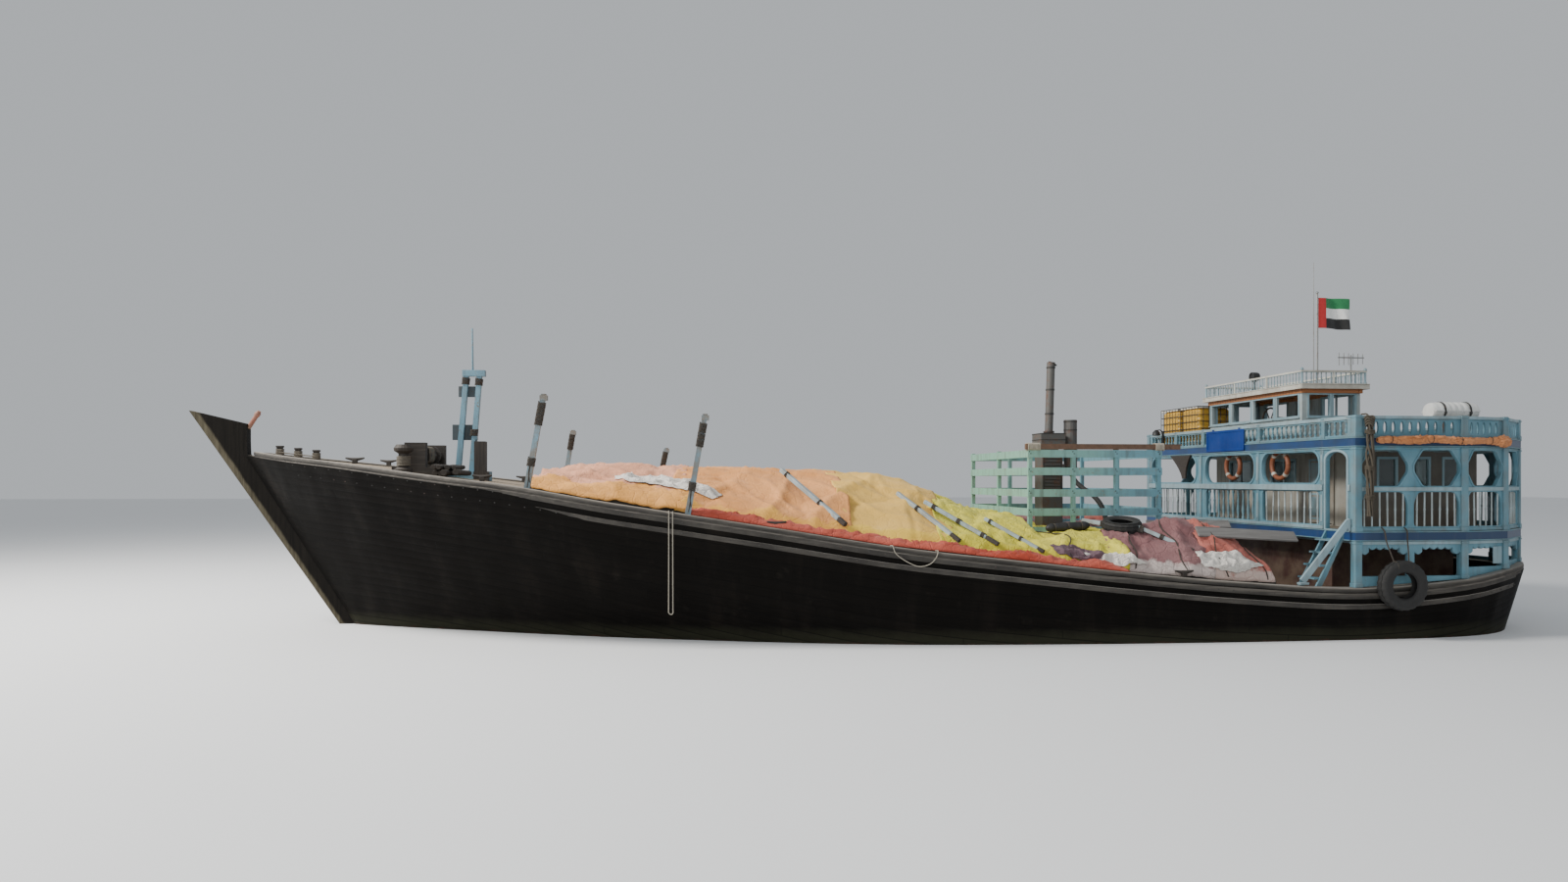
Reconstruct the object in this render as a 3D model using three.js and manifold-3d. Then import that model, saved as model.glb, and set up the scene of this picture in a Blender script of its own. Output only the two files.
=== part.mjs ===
// Wooden motor dhow at its real size.
// Millimetres, +X to the bow, +Y to port, +Z up, origin amidships on the centreline at the waterline.
import * as THREE from 'three';
import { mergeVertices } from 'three/addons/utils/BufferGeometryUtils.js';
import Module from 'manifold-3d';

const wasm = await Module();
wasm.setup();

// Driving dimensions
const SEAT = 0.3;                 // gap between pieces that touch
const KEEL_HALF = 150;            // half of the keel's siding
const KEEL_BOTTOM = -2500;
const STEM_FOOT_X = 11900;        // stem's leading edge at the waterline
const STEM_RAKE = 0.672;          // forward run of the stem for each unit of height
const STEM_HEAD_Z = 4880;
const STEM_HALF = 110;
const RAIL_RISE = 100;            // rail cap above the top of the planking
const RAIL_IN = 280;
const RAIL_OUT = 80;
const WELL_DECK_Z = 250;          // deck under the gallery
const WELL_FORE_X = -8700;
const PLANKING = 160;
const FOREDECK_AFT_X = 7300;
const FOREDECK_THICK = 60;
const HATCH_AFT_X = -8300;
const GALLERY_X = -9900;          // front of the superstructure
const GALLERY_FLOOR = 2030;
const DECK_THICK = 200;
const UPPER_FLOOR = 4000;
const BAND_OUT = 80;              // deck edge beyond the walls below it
const WALL = 100;
const POST = 160;
const TOP_RAIL_Z = 4650;
const WHEEL_AXIS_Z = 4800;
const ROOF_Z = 5450;
const ROOF_THICK = 90;
const SHAFT_Z = -1600;
const RUDDER_X = -14550;

// Hull sections from the stern to the stem.
// xKeel and xTop: where the section starts and ends, zKeel and zTop: its lowest and highest line,
// bWater and bTop: half breadths at the waterline and at the top, full: roundness below water.
const SECTIONS = [
  { xKeel: -14700, xTop: -15100, zKeel: -300, zTop: 1400, bWater: 2050, bTop: 2300, full: 2.0 },
  { xKeel: -14300, xTop: -14600, zKeel: -480, zTop: 1370, bWater: 3150, bTop: 3450, full: 2.0 },
  { xKeel: -13400, xTop: -13500, zKeel: -800, zTop: 1290, bWater: 4020, bTop: 4300, full: 1.8 },
  { xKeel: -12300, xTop: -12300, zKeel: -1180, zTop: 1120, bWater: 4420, bTop: 4600, full: 1.7 },
  { xKeel: -9900, xTop: -9900, zKeel: -1650, zTop: 960, bWater: 4600, bTop: 4600, full: 1.9 },
  { xKeel: -7250, xTop: -7250, zKeel: -1850, zTop: 1110, bWater: 4630, bTop: 4600, full: 2.2 },
  { xKeel: -5000, xTop: -5000, zKeel: -1920, zTop: 1320, bWater: 4580, bTop: 4580, full: 2.4 },
  { xKeel: -3000, xTop: -3000, zKeel: -1950, zTop: 1540, bWater: 4480, bTop: 4540, full: 2.4 },
  { xKeel: 0, xTop: 0, zKeel: -1950, zTop: 1890, bWater: 4150, bTop: 4420, full: 2.3 },
  { xKeel: 2000, xTop: 2000, zKeel: -1950, zTop: 2210, bWater: 3700, bTop: 4300, full: 2.1 },
  { xKeel: 4000, xTop: 4000, zKeel: -1950, zTop: 2520, bWater: 3120, bTop: 4130, full: 1.9 },
  { xKeel: 5500, xTop: 5700, zKeel: -1950, zTop: 2780, bWater: 2600, bTop: 3930, full: 1.7 },
  { xKeel: 7000, xTop: 7300, zKeel: -1950, zTop: 3060, bWater: 2000, bTop: 3620, full: 1.5 },
  { xKeel: 8300, xTop: 9300, zKeel: -1950, zTop: 3310, bWater: 1350, bTop: 2950, full: 1.4 },
  { xKeel: 9300, xTop: 11300, zKeel: -1950, zTop: 3570, bWater: 800, bTop: 2080, full: 1.3 },
  { xKeel: 9900, xTop: 12850, zKeel: -1950, zTop: 3740, bWater: 400, bTop: 1080, full: 1.2 },
  { xKeel: 10300, xTop: 13900, zKeel: -1950, zTop: 3870, bWater: STEM_HALF, bTop: STEM_HALF, full: 1 },
];

// Gallery plan on the port side, from its front corner to the stern corner
const GALLERY_PLAN = [
  [GALLERY_X, 4500],
  [-12300, 4500],
  [-13500, 4200],
  [-14600, 3350],
  [-15100, 2200],
];

// Hold covers from forward to aft: ends, and each one's name and colour
const COVERS = [
  { name: 'cover_white', fore: 7100, aft: 4100, color: 0xf0d2be },
  { name: 'cover_tan', fore: 4100, aft: 700, color: 0xebb478 },
  { name: 'cover_amber', fore: 700, aft: -1400, color: 0xebc86e },
  { name: 'cover_lemon', fore: -1400, aft: -5000, color: 0xe1dc50 },
  { name: 'cover_mauve', fore: -5000, aft: -6800, color: 0x966464 },
  { name: 'cover_salmon', fore: -6800, aft: -8250, color: 0xc8786e },
];
const COVER_THICK = 60;

// Top of the covers over the hatch: x, height at the centre, half width of the flat part, height at the shoulder
const HATCH_LINE = [
  { x: HATCH_AFT_X, z: 1500, flat: 2300, shoulder: 1600 },
  { x: -7600, z: 2050, flat: 2350, shoulder: 2230 },
  { x: -6300, z: 2050, flat: 2400, shoulder: 2360 },
  { x: -5400, z: 2050, flat: 2450, shoulder: 2150 },
  { x: -3600, z: 2050, flat: 2450, shoulder: 1980 },
  { x: -3450, z: 2380, flat: 2300, shoulder: 2020 },
  { x: -2600, z: 2450, flat: 2200, shoulder: 2120 },
  { x: -1800, z: 2770, flat: 2100, shoulder: 2300 },
  { x: -800, z: 3130, flat: 2000, shoulder: 2600 },
  { x: 0, z: 3300, flat: 1900, shoulder: 2750 },
  { x: 900, z: 3370, flat: 1850, shoulder: 2880 },
  { x: 4000, z: 3440, flat: 1700, shoulder: 3080 },
  { x: 6500, z: 3460, flat: 1400, shoulder: 3280 },
  { x: 7150, z: 3400, flat: 1300, shoulder: 3290 },
];

// Posts standing on the rail: foot, side, aft lean over the post's height, and top
const RAIL_POSTS = [
  { name: 'rail_post_port_fore', x: 7180, side: 1, lean: 340, top: 5030 },
  { name: 'rail_post_port_mid', x: 3980, side: 1, lean: 360, top: 4620 },
  { name: 'rail_post_starboard_fore', x: 7260, side: -1, lean: 250, top: 4660 },
  { name: 'rail_post_starboard_mid', x: 4800, side: -1, lean: 300, top: 4200 },
];

// Bays of the gallery's front from port to starboard: y of both edges, and what stands there
const FRONT_BAYS = [
  { port: 4280, starboard: 3600, kind: 'door' },
  { port: 3370, starboard: 1250, kind: 'window' },
  { port: 920, starboard: -1300, kind: 'window' },
  { port: -1800, starboard: -4280, kind: 'window' },
];

// Materials
const paint = (color, roughness = 0.6, metalness = 0) =>
  new THREE.MeshStandardMaterial({ color, roughness, metalness });
const OILED = paint(0x1c1714, 0.55);
const WEATHERED = paint(0x5a5348, 0.8);
const PALE_WOOD = paint(0xa08c6e, 0.8);
const BLUE = paint(0x6ea0b4);
const NAVY = paint(0x1e3c78);
const POST_BLUE = paint(0x648ca0);
const MINT = paint(0x82aaa0);
const WHITE = paint(0xe6e3d8);
const RED_BROWN = paint(0x6e3c2c);
const STEEL = paint(0x8c8c88, 0.5, 0.7);
const BRONZE = paint(0x96783c, 0.4, 0.8);
const RUBBER = paint(0x1e1e1e, 0.9);
const AMBER = paint(0xd2a032, 0.4);
const ORANGE = paint(0xdc8c50, 0.8);
const ROPE = paint(0xa89c84, 0.9);

// Solids
function solid(geometry) {
  const shape = geometry.clone();
  shape.deleteAttribute('normal');
  shape.deleteAttribute('uv');
  const merged = mergeVertices(shape, 1e-3);
  const vertProperties = new Float32Array(merged.attributes.position.array);
  const triVerts = new Uint32Array(merged.index.array);
  return new wasm.Manifold(new wasm.Mesh({ numProp: 3, vertProperties, triVerts }));
}

function geometryOf(body) {
  const mesh = body.getMesh();
  const geometry = new THREE.BufferGeometry();
  geometry.setAttribute('position', new THREE.BufferAttribute(mesh.vertProperties, 3));
  geometry.setIndex(new THREE.BufferAttribute(mesh.triVerts, 1));
  geometry.computeVertexNormals();
  return geometry;
}

function join(bodies) {
  return bodies.reduce((sum, body) => sum.add(body));
}

function box(x0, x1, y0, y1, z0, z1) {
  const geometry = new THREE.BoxGeometry(x1 - x0, y1 - y0, z1 - z0);
  geometry.translate((x0 + x1) / 2, (y0 + y1) / 2, (z0 + z1) / 2);
  return solid(geometry);
}

// A round bar between two points
function bar(from, to, radius, sides = 10, endRadius = radius) {
  const start = new THREE.Vector3(...from);
  const run = new THREE.Vector3(...to).sub(start);
  const geometry = new THREE.CylinderGeometry(endRadius, radius, run.length(), sides);
  geometry.translate(0, run.length() / 2, 0);
  const turn = new THREE.Quaternion().setFromUnitVectors(new THREE.Vector3(0, 1, 0), run.normalize());
  geometry.applyQuaternion(turn);
  geometry.translate(...from);
  return solid(geometry);
}

// A turned piece: profile of radius and height pairs about an axis along +Z through a point
function turned(profile, at, sides = 24) {
  const points = profile.map(([radius, height]) => new THREE.Vector2(radius, height));
  const geometry = new THREE.LatheGeometry(points, sides);
  geometry.rotateX(Math.PI / 2);
  geometry.translate(...at);
  return solid(geometry);
}

function outline(points) {
  return new THREE.Shape(points.map(([u, v]) => new THREE.Vector2(u, v)));
}

// A plate seen from the side: outline in X and Z, from y0 to y1
function sidePlate(points, y0, y1) {
  const geometry = new THREE.ExtrudeGeometry(outline(points), { depth: y1 - y0, bevelEnabled: false });
  geometry.rotateX(Math.PI / 2);
  geometry.translate(0, y1, 0);
  return solid(geometry);
}

// A plate seen from above: outline in X and Y, from z0 to z1
function floorPlate(points, z0, z1) {
  const geometry = new THREE.ExtrudeGeometry(outline(points), { depth: z1 - z0, bevelEnabled: false });
  geometry.translate(0, 0, z0);
  return solid(geometry);
}

// An upright panel along the line from one plan point to another, with holes through it.
// Its outline is in distance along the line and height, and its thickness lies on both sides of the line.
function panel(from, to, points, holes = [], thick = WALL) {
  const upright = (shape, depth) => {
    const geometry = new THREE.ExtrudeGeometry(outline(shape), { depth, bevelEnabled: false });
    geometry.rotateX(Math.PI / 2);
    geometry.translate(0, depth / 2, 0);
    geometry.rotateZ(Math.atan2(to[1] - from[1], to[0] - from[0]));
    geometry.translate(from[0], from[1], 0);
    return solid(geometry);
  };
  return holes.reduce((wall, hole) => wall.subtract(upright(hole, thick + 40)), upright(points, thick));
}

function rectangle(u0, u1, v0, v1) {
  return [[u0, v0], [u1, v0], [u1, v1], [u0, v1]];
}

// A rectangle with its corners cut off, as the gallery's openings have them
function octagon(u0, u1, v0, v1, cut) {
  return [
    [u0 + cut, v0], [u1 - cut, v0], [u1, v0 + cut], [u1, v1 - cut],
    [u1 - cut, v1], [u0 + cut, v1], [u0, v1 - cut], [u0, v0 + cut],
  ];
}

function span(from, to) {
  return Math.hypot(to[0] - from[0], to[1] - from[1]);
}

// An upright square post aligned with a wall's line
function cornerPost(at, from, to, z0, z1, side = POST) {
  const geometry = new THREE.BoxGeometry(side, side, z1 - z0);
  geometry.rotateZ(Math.atan2(to[1] - from[1], to[0] - from[0]));
  geometry.translate(at[0], at[1], (z0 + z1) / 2);
  return solid(geometry);
}

// A body through a row of rings with equal numbers of points, closed at both ends.
// Rings run from aft forward, each one going round from +Y to +Z.
function loft(rings) {
  const count = rings[0].length;
  const positions = rings.flat(2);
  const index = [];
  for (let i = 0; i + 1 < rings.length; i += 1) {
    for (let j = 0; j < count; j += 1) {
      const next = (j + 1) % count;
      const a = i * count + j;
      const b = i * count + next;
      index.push(a, b, b + count, a, b + count, a + count);
    }
  }
  const cap = (ring, base, flip) => {
    const contour = ring.map(([, y, z]) => new THREE.Vector2(y, z));
    for (const [a, b, c] of THREE.ShapeUtils.triangulateShape(contour, [])) {
      index.push(...(flip ? [base + a, base + c, base + b] : [base + a, base + b, base + c]));
    }
  };
  cap(rings[0], 0, true);
  cap(rings[rings.length - 1], (rings.length - 1) * count, false);
  const geometry = new THREE.BufferGeometry();
  geometry.setAttribute('position', new THREE.Float32BufferAttribute(positions, 3));
  geometry.setIndex(index);
  return solid(geometry);
}

function mirrored(body) {
  return body.mirror([0, 1, 0]);
}

// Hull lines
function sectionX(section, z) {
  const rise = (z - section.zKeel) / (section.zTop - section.zKeel);
  return section.xKeel + (section.xTop - section.xKeel) * rise;
}

function halfBreadth(section, z) {
  if (z >= 0) return section.bWater + (section.bTop - section.bWater) * (z / section.zTop);
  const depth = z / section.zKeel;
  const keel = Math.min(KEEL_HALF, section.bWater);
  return keel + (section.bWater - keel) * (1 - depth ** section.full) ** 0.75;
}

function lineAt(table, x, xKey, zKey) {
  const i = table.findIndex((row, k) => k > 0 && (x <= row[xKey] || k === table.length - 1));
  const [a, b] = [table[i - 1], table[i]];
  return a[zKey] + ((b[zKey] - a[zKey]) * (x - a[xKey])) / (b[xKey] - a[xKey]);
}

const hullTop = (x) => lineAt(SECTIONS, x, 'xTop', 'zTop');
const topBreadth = (x) => lineAt(SECTIONS, x, 'xTop', 'bTop');
const hullBottom = (x) => lineAt(SECTIONS, x, 'xKeel', 'zKeel');

const WALE_LOW = 340;
const WALE_GROOVE_LOW = 220;
const WALE_GROOVE_HIGH = 120;

// Heights of the hull's rows at one section, from the keel up
function hullRows(section) {
  const under = [1, 0.94, 0.8, 0.6, 0.35, 0.15, 0].map((share) => share * section.zKeel);
  const over = [0.4 * section.zTop, section.zTop - WALE_LOW, section.zTop];
  return [...under, ...over];
}

function hullRing(section, grow = 0) {
  const rows = hullRows(section);
  const side = rows.map((z, i) => {
    const lift = i === rows.length - 1 ? grow : 0;
    return [sectionX(section, z), halfBreadth(section, z) + grow, z + lift];
  });
  return [...side, ...side.map(([x, y, z]) => [x, -y, z]).reverse()];
}

// A profile of what lies under a line along the hull, used to cut feet to its slope
function groundUnder(xs, heightAt, halfWidth) {
  const top = [[xs[0] - 300, heightAt(xs[0])], ...xs.map((x) => [x, heightAt(x)])];
  return sidePlate([[xs[0] - 300, -500], [xs[xs.length - 1], -500], ...top.reverse()], -halfWidth, halfWidth);
}

// The hull with the seating gap around it, for cutting what is fastened to it
const pastStern = { ...SECTIONS[0], xKeel: SECTIONS[0].xKeel - 50, xTop: SECTIONS[0].xTop - 50 };
const hullSkin = loft([pastStern, ...SECTIONS].map((section) => hullRing(section, SEAT)));
const RAIL_SUNK = 50;

const sectionXs = SECTIONS.map((section) => section.xTop);
const railGround = groundUnder([...sectionXs], (x) => hullTop(x) + RAIL_RISE + SEAT, 5500);
const foredeckGround = groundUnder(
  sectionXs.filter((x) => x >= FOREDECK_AFT_X),
  (x) => hullTop(x) + SEAT + FOREDECK_THICK + SEAT,
  5500,
);

const boat = new THREE.Group();

function add(name, body, material) {
  const mesh = new THREE.Mesh(geometryOf(body), material);
  mesh.name = name;
  boat.add(mesh);
}

// Hull up to the sheer forward, and up to the deck under the gallery aft
function makeHull() {
  const aboveDeck = box(-15500, WELL_FORE_X, -5500, 5500, WELL_DECK_Z, 2500);
  return loft(SECTIONS.map((section) => hullRing(section))).subtract(aboveDeck);
}

// Bulwarks round the deck under the gallery: both sides and the transom
function makeSternBulwark() {
  const stern = SECTIONS[0];
  const sterns = [{ ...stern, xKeel: stern.xKeel + 250, xTop: stern.xTop + 250 }];
  const front = Object.fromEntries(Object.keys(stern).map((key) => [key, lineAt(SECTIONS, WELL_FORE_X, 'xTop', key)]));
  const between = SECTIONS.slice(1).filter(({ xTop }) => xTop < WELL_FORE_X);
  const well = loft([...sterns, ...between, front].map((section) => {
    const port = [WELL_DECK_Z, section.zTop].map((z) => [sectionX(section, z), halfBreadth(section, z) - PLANKING]);
    const [low, high] = port;
    const [under, top] = [WELL_DECK_Z - 50, section.zTop + 150];
    return [
      [low[0], low[1], under], [high[0], high[1], top],
      [high[0], -high[1], top], [low[0], -low[1], under],
    ];
  }));
  const aboveDeck = box(-15500, WELL_FORE_X - SEAT, -5500, 5500, WELL_DECK_Z + SEAT, 2500);
  return loft(SECTIONS.map((section) => hullRing(section))).intersect(aboveDeck).subtract(well);
}

// Rail cap with the double wale outside the planking, on one side
function makeRail(side) {
  const rings = SECTIONS.slice(0, -1).map((section) => {
    const top = section.zTop;
    const edge = halfBreadth(section, top);
    const at = (z, out) => [sectionX(section, z), side * (halfBreadth(section, z) + out), z];
    const cap = (y, z) => [sectionX(section, top), side * y, z];
    const ring = [
      cap(edge - RAIL_IN, top - RAIL_SUNK),
      at(top - WALE_LOW, -RAIL_SUNK),
      at(top - WALE_LOW, RAIL_OUT),
      at(top - WALE_GROOVE_LOW, RAIL_OUT),
      at(top - WALE_GROOVE_LOW, RAIL_OUT / 2),
      at(top - WALE_GROOVE_HIGH, RAIL_OUT / 2),
      at(top - WALE_GROOVE_HIGH, RAIL_OUT),
      cap(edge + RAIL_OUT, top + RAIL_RISE),
      cap(edge - RAIL_IN, top + RAIL_RISE),
    ];
    return side > 0 ? ring : ring.reverse();
  });
  return loft(rings).subtract(hullSkin);
}

function stemX(z) {
  return STEM_FOOT_X + STEM_RAKE * z;
}

function makeStem() {
  const last = SECTIONS[SECTIONS.length - 1];
  const foot = last.zKeel;
  const rabbet = (z) => sectionX(last, z) + SEAT;
  const profile = [
    [rabbet(foot), foot],
    [stemX(foot), foot],
    [stemX(STEM_HEAD_Z), STEM_HEAD_Z],
    [13930, 4580],
    [13930, 4175],
    [rabbet(3900), 3900],
  ];
  return sidePlate(profile, -STEM_HALF, STEM_HALF);
}

function makeKeel() {
  const xs = SECTIONS.map((section) => section.xKeel).filter((x) => x >= STERNPOST_X);
  const top = [STERNPOST_X, ...xs].map((x) => [x, hullBottom(x) - SEAT]);
  const profile = [
    [HEEL_AFT_X, KEEL_BOTTOM],
    [10300, KEEL_BOTTOM],
    [stemX(-1950), -1950 - SEAT],
    ...top.reverse(),
    [STERNPOST_X, HEEL_TOP],
    [HEEL_AFT_X, HEEL_TOP],
  ];
  return sidePlate(profile, -KEEL_HALF, KEEL_HALF);
}

// Stern gear
const STERNPOST_X = -12900;
const HEEL_AFT_X = -15050;
const HEEL_TOP = -2320;
const STERNPOST_THICK = 300;
const BOSS_R = 190;
const HUB_R = 150;

function makeSternPost() {
  const fore = STERNPOST_X - SEAT;
  const aft = fore - STERNPOST_THICK;
  const foot = HEEL_TOP + SEAT;
  const profile = [[aft, foot], [fore, foot], [fore, hullBottom(fore) - SEAT], [aft, hullBottom(aft) - SEAT]];
  const post = sidePlate(profile, -KEEL_HALF + 20, KEEL_HALF - 20);
  return post.add(bar([fore - 150, 0, SHAFT_Z], [aft - 100, 0, SHAFT_Z], BOSS_R, 20));
}

function makePropeller() {
  const bossFace = STERNPOST_X - SEAT - STERNPOST_THICK - 100;
  const hubFore = bossFace - 0.5;
  const hub = bar([hubFore, 0, SHAFT_Z], [hubFore - 300, 0, SHAFT_Z], HUB_R, 20, 90);
  const blades = [0, 1, 2].map((k) => {
    const shape = new THREE.Shape();
    shape.moveTo(-60, 90);
    shape.bezierCurveTo(-240, 240, -240, 520, 0, 640);
    shape.bezierCurveTo(190, 520, 190, 240, 60, 90);
    const geometry = new THREE.ExtrudeGeometry(shape, { depth: 36, bevelEnabled: false, curveSegments: 8 });
    geometry.translate(0, 0, -18);
    geometry.rotateY(Math.PI / 2 - 0.6);
    geometry.rotateX((k * 2 * Math.PI) / 3);
    geometry.translate(hubFore - 140, 0, SHAFT_Z);
    return solid(geometry);
  });
  return join([hub, ...blades]);
}

function makeRudder() {
  const top = hullBottom(RUDDER_X) - 90;
  const foot = HEEL_TOP + 60;
  const blade = sidePlate(
    [[RUDDER_X + 60, foot], [RUDDER_X + 60, top], [RUDDER_X - 350, top + 40], [RUDDER_X - 620, foot + 900], [RUDDER_X - 700, foot]],
    -50,
    50,
  );
  const stock = bar([RUDDER_X, 0, HEEL_TOP + SEAT], [RUDDER_X, 0, hullBottom(RUDDER_X) - 50], 80, 16);
  return blade.add(stock);
}

// Foredeck planking between the rails
function makeForedeck() {
  const xs = [...sectionXs.filter((x) => x > FOREDECK_AFT_X && x < 13000), 13500];
  return loft([FOREDECK_AFT_X + SEAT, ...xs].map((x) => {
    const half = topBreadth(x) - RAIL_IN - 20;
    const low = hullTop(x) + SEAT;
    const high = low + FOREDECK_THICK;
    return [[x, half, low], [x, half, high], [x, -half, high], [x, -half, low]];
  }));
}

// Hatch and the covers laid over it
const coverEnds = COVERS.flatMap(({ fore, aft }) => [fore, aft]);
const inHatch = (x) => x >= HATCH_AFT_X && x <= HATCH_LINE[HATCH_LINE.length - 1].x;
const hatchXs = [...new Set([...HATCH_LINE.map(({ x }) => x), ...sectionXs, ...coverEnds])]
  .filter(inHatch)
  .sort((a, b) => a - b);

// Ring around the covers, drawn in by a depth for the hatch below them, its foot lowered by another
function coverRing(x, depth, sunk = 0) {
  const at = (key) => lineAt(HATCH_LINE, x, 'x', key);
  const low = hullTop(x) + SEAT;
  const edge = topBreadth(x) - RAIL_IN - 30 - depth;
  const flat = at('flat');
  const shoulder = (flat + edge) / 2;
  const port = [
    [edge, low - sunk],
    [edge, low + 200 - depth],
    [shoulder, at('shoulder') - depth],
    [flat, at('z') - depth],
  ];
  const ring = [...port, ...port.map(([y, z]) => [-y, z]).reverse()];
  return ring.map(([y, z]) => [x, y, z]);
}

const hatchSkin = loft(hatchXs.map((x) => coverRing(x, COVER_THICK - SEAT, 50)));

function makeHatch() {
  return loft(hatchXs.map((x) => coverRing(x, COVER_THICK)));
}

function makeCover({ fore, aft }) {
  const xs = [aft + SEAT, ...hatchXs.filter((x) => x > aft && x < fore), fore - SEAT];
  return loft(xs.map((x) => coverRing(x, 0))).subtract(hatchSkin);
}

// Foredeck fittings
const WINDLASS_X = 10000;
const WINDLASS_AXIS_Z = hullTop(WINDLASS_X) + FOREDECK_THICK + 420;
const WINDLASS_HALF = 800;

function makeWindlassBitts() {
  const deck = hullTop(WINDLASS_X) + FOREDECK_THICK;
  const sole = box(WINDLASS_X - 500, WINDLASS_X + 500, -WINDLASS_HALF - 200, WINDLASS_HALF + 200, deck - 200, deck + 130);
  const cheeks = [1, -1].map((side) => {
    const [y0, y1] = [side * WINDLASS_HALF, side * (WINDLASS_HALF + 180)].sort((a, b) => a - b);
    return box(WINDLASS_X - 230, WINDLASS_X + 230, y0, y1, deck, deck + 680);
  });
  return join([sole, ...cheeks]).subtract(foredeckGround);
}

function makeWindlassBarrel() {
  const end = WINDLASS_HALF - SEAT;
  const barrel = bar([WINDLASS_X, -end + 30, WINDLASS_AXIS_Z], [WINDLASS_X, end - 30, WINDLASS_AXIS_Z], 170, 8);
  const journal = bar([WINDLASS_X, -end, WINDLASS_AXIS_Z], [WINDLASS_X, end, WINDLASS_AXIS_Z], 60, 16);
  const collars = [-420, 420].map((y) =>
    bar([WINDLASS_X, y - 40, WINDLASS_AXIS_Z], [WINDLASS_X, y + 40, WINDLASS_AXIS_Z], 230, 16));
  return join([barrel, journal, ...collars]);
}

const BOLLARD = { x: 10150, y: 1330, height: 600 };

function makeBollard() {
  const foot = hullTop(BOLLARD.x) + FOREDECK_THICK;
  const profile = [
    [0, -100], [190, -100], [190, 60], [115, 110], [105, 400],
    [195, 460], [205, 520], [150, BOLLARD.height], [0, BOLLARD.height],
  ];
  return turned(profile, [BOLLARD.x, BOLLARD.y, foot], 20).subtract(foredeckGround);
}

// Stub of a mast: two legs on a step, boards across them, a head piece and a thin pole, with a bitt behind
function makeStubMast() {
  const deck = hullTop(9000) + FOREDECK_THICK;
  const step = box(8560, 9480, -300, 300, deck - 200, deck + 170);
  const legs = [[9290, 9090], [8980, 8790]].map(([foot, head]) => {
    const profile = [[foot - 60, deck], [foot + 60, deck], [head + 55, 5740], [head - 55, 5740]];
    return sidePlate(profile, -60, 60);
  });
  const boards = [[8800, 9280, 5250, 5500], [8850, 9420, 4240, 4600]].map(([x0, x1, z0, z1]) =>
    box(x0, x1, -100, -50, z0, z1));
  const head = box(8660, 9170, -90, 90, 5730, 5870);
  const pole = bar([8950, 0, 5800], [8960, 0, 6850], 28, 8, 18);
  const bitt = box(8610, 8860, 40, 290, deck, 4200);
  return join([step, ...legs, ...boards, head, pole, bitt]).subtract(foredeckGround);
}

function makeRailPost({ x, side, lean, top }) {
  const y = side * (topBreadth(x) - RAIL_IN / 2);
  const foot = hullTop(x) + RAIL_RISE;
  const profile = [[x - 60, foot - 60], [x + 60, foot - 60], [x - lean + 50, top], [x - lean - 50, top]];
  const post = sidePlate(profile, y - 55, y + 55);
  const head = box(x - lean - 75, x - lean + 75, y - 75, y + 75, top - 130, top - 30);
  return join([post, head]).subtract(railGround);
}

// Slatted pen amidships, standing on the covers
const PEN = { aft: -6770, fore: -3730, half: 2150, top: 4010, boards: [2160, 2580, 3010, 3500, 3900] };
const PEN_FLOOR = 2050 + SEAT;

function makePen() {
  const posts = [];
  const along = 3;
  for (let i = 0; i <= along; i += 1) {
    const x = PEN.aft + ((PEN.fore - PEN.aft) * i) / along;
    for (const side of [1, -1]) posts.push(box(x - 45, x + 45, side * PEN.half - 45, side * PEN.half + 45, PEN_FLOOR, PEN.top));
  }
  for (const x of [PEN.aft, PEN.fore]) posts.push(box(x - 45, x + 45, -45, 45, PEN_FLOOR, PEN.top));
  const boards = PEN.boards.flatMap((z) => [
    ...[1, -1].map((side) =>
      box(PEN.aft - 60, PEN.fore + 60, side * PEN.half - 20 + side * 40, side * PEN.half + 20 + side * 40, z - 85, z + 85)),
    ...[PEN.aft - 40, PEN.fore + 40].map((x) => box(x - 20, x + 20, -PEN.half - 50, PEN.half + 50, z - 85, z + 85)),
  ]);
  const beam = box(PEN.aft - 500, PEN.fore + 100, PEN.half - 60, PEN.half + 60, PEN.top - 10, PEN.top + 110);
  return join([...posts, ...boards, beam]);
}

const STACK_X = -5000;

function makeStack() {
  const casing = box(STACK_X - 260, STACK_X + 260, -260, 260, PEN_FLOOR, 4000);
  const head = box(STACK_X - 310, STACK_X + 310, -310, 310, 4150, 4450);
  const neck = box(STACK_X - 180, STACK_X + 180, -180, 180, 3900, 4300);
  const pipe = bar([STACK_X, 0, 4400], [STACK_X - 60, 0, 6230], 100, 20);
  const silencer = bar([STACK_X - 560, 0, 3500], [STACK_X - 560, 0, 4800], 160, 16);
  const bracket = box(STACK_X - 520, STACK_X - 200, -50, 50, 3600, 3700);
  return join([casing, head, neck, pipe, silencer, bracket]);
}

// Superstructure
const starboard = ([x, y]) => [x, -y];
const wallLow = GALLERY_FLOOR + DECK_THICK + SEAT;
const wallHigh = UPPER_FLOOR - SEAT;
const railLow = UPPER_FLOOR + DECK_THICK + SEAT;
const OPENING = { low: 3180, high: 3930, cut: 170 };
const BALUSTRADE = { low: 2310, high: 3060, pitch: 200, gap: 120 };

function slots(u0, u1, low, high, pitch, gap) {
  const count = Math.floor((u1 - u0 + pitch - gap) / pitch);
  const start = (u0 + u1 - (count * pitch - (pitch - gap))) / 2;
  return Array.from({ length: count }, (_, i) => rectangle(start + i * pitch, start + i * pitch + gap, low, high));
}

// Holes of one bay of the gallery's wall, between two pillars
function bayHoles(u0, u1) {
  return [
    octagon(u0, u1, OPENING.low, OPENING.high, OPENING.cut),
    ...slots(u0, u1, BALUSTRADE.low, BALUSTRADE.high, BALUSTRADE.pitch, BALUSTRADE.gap),
  ];
}

const PILLAR = 140;

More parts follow.
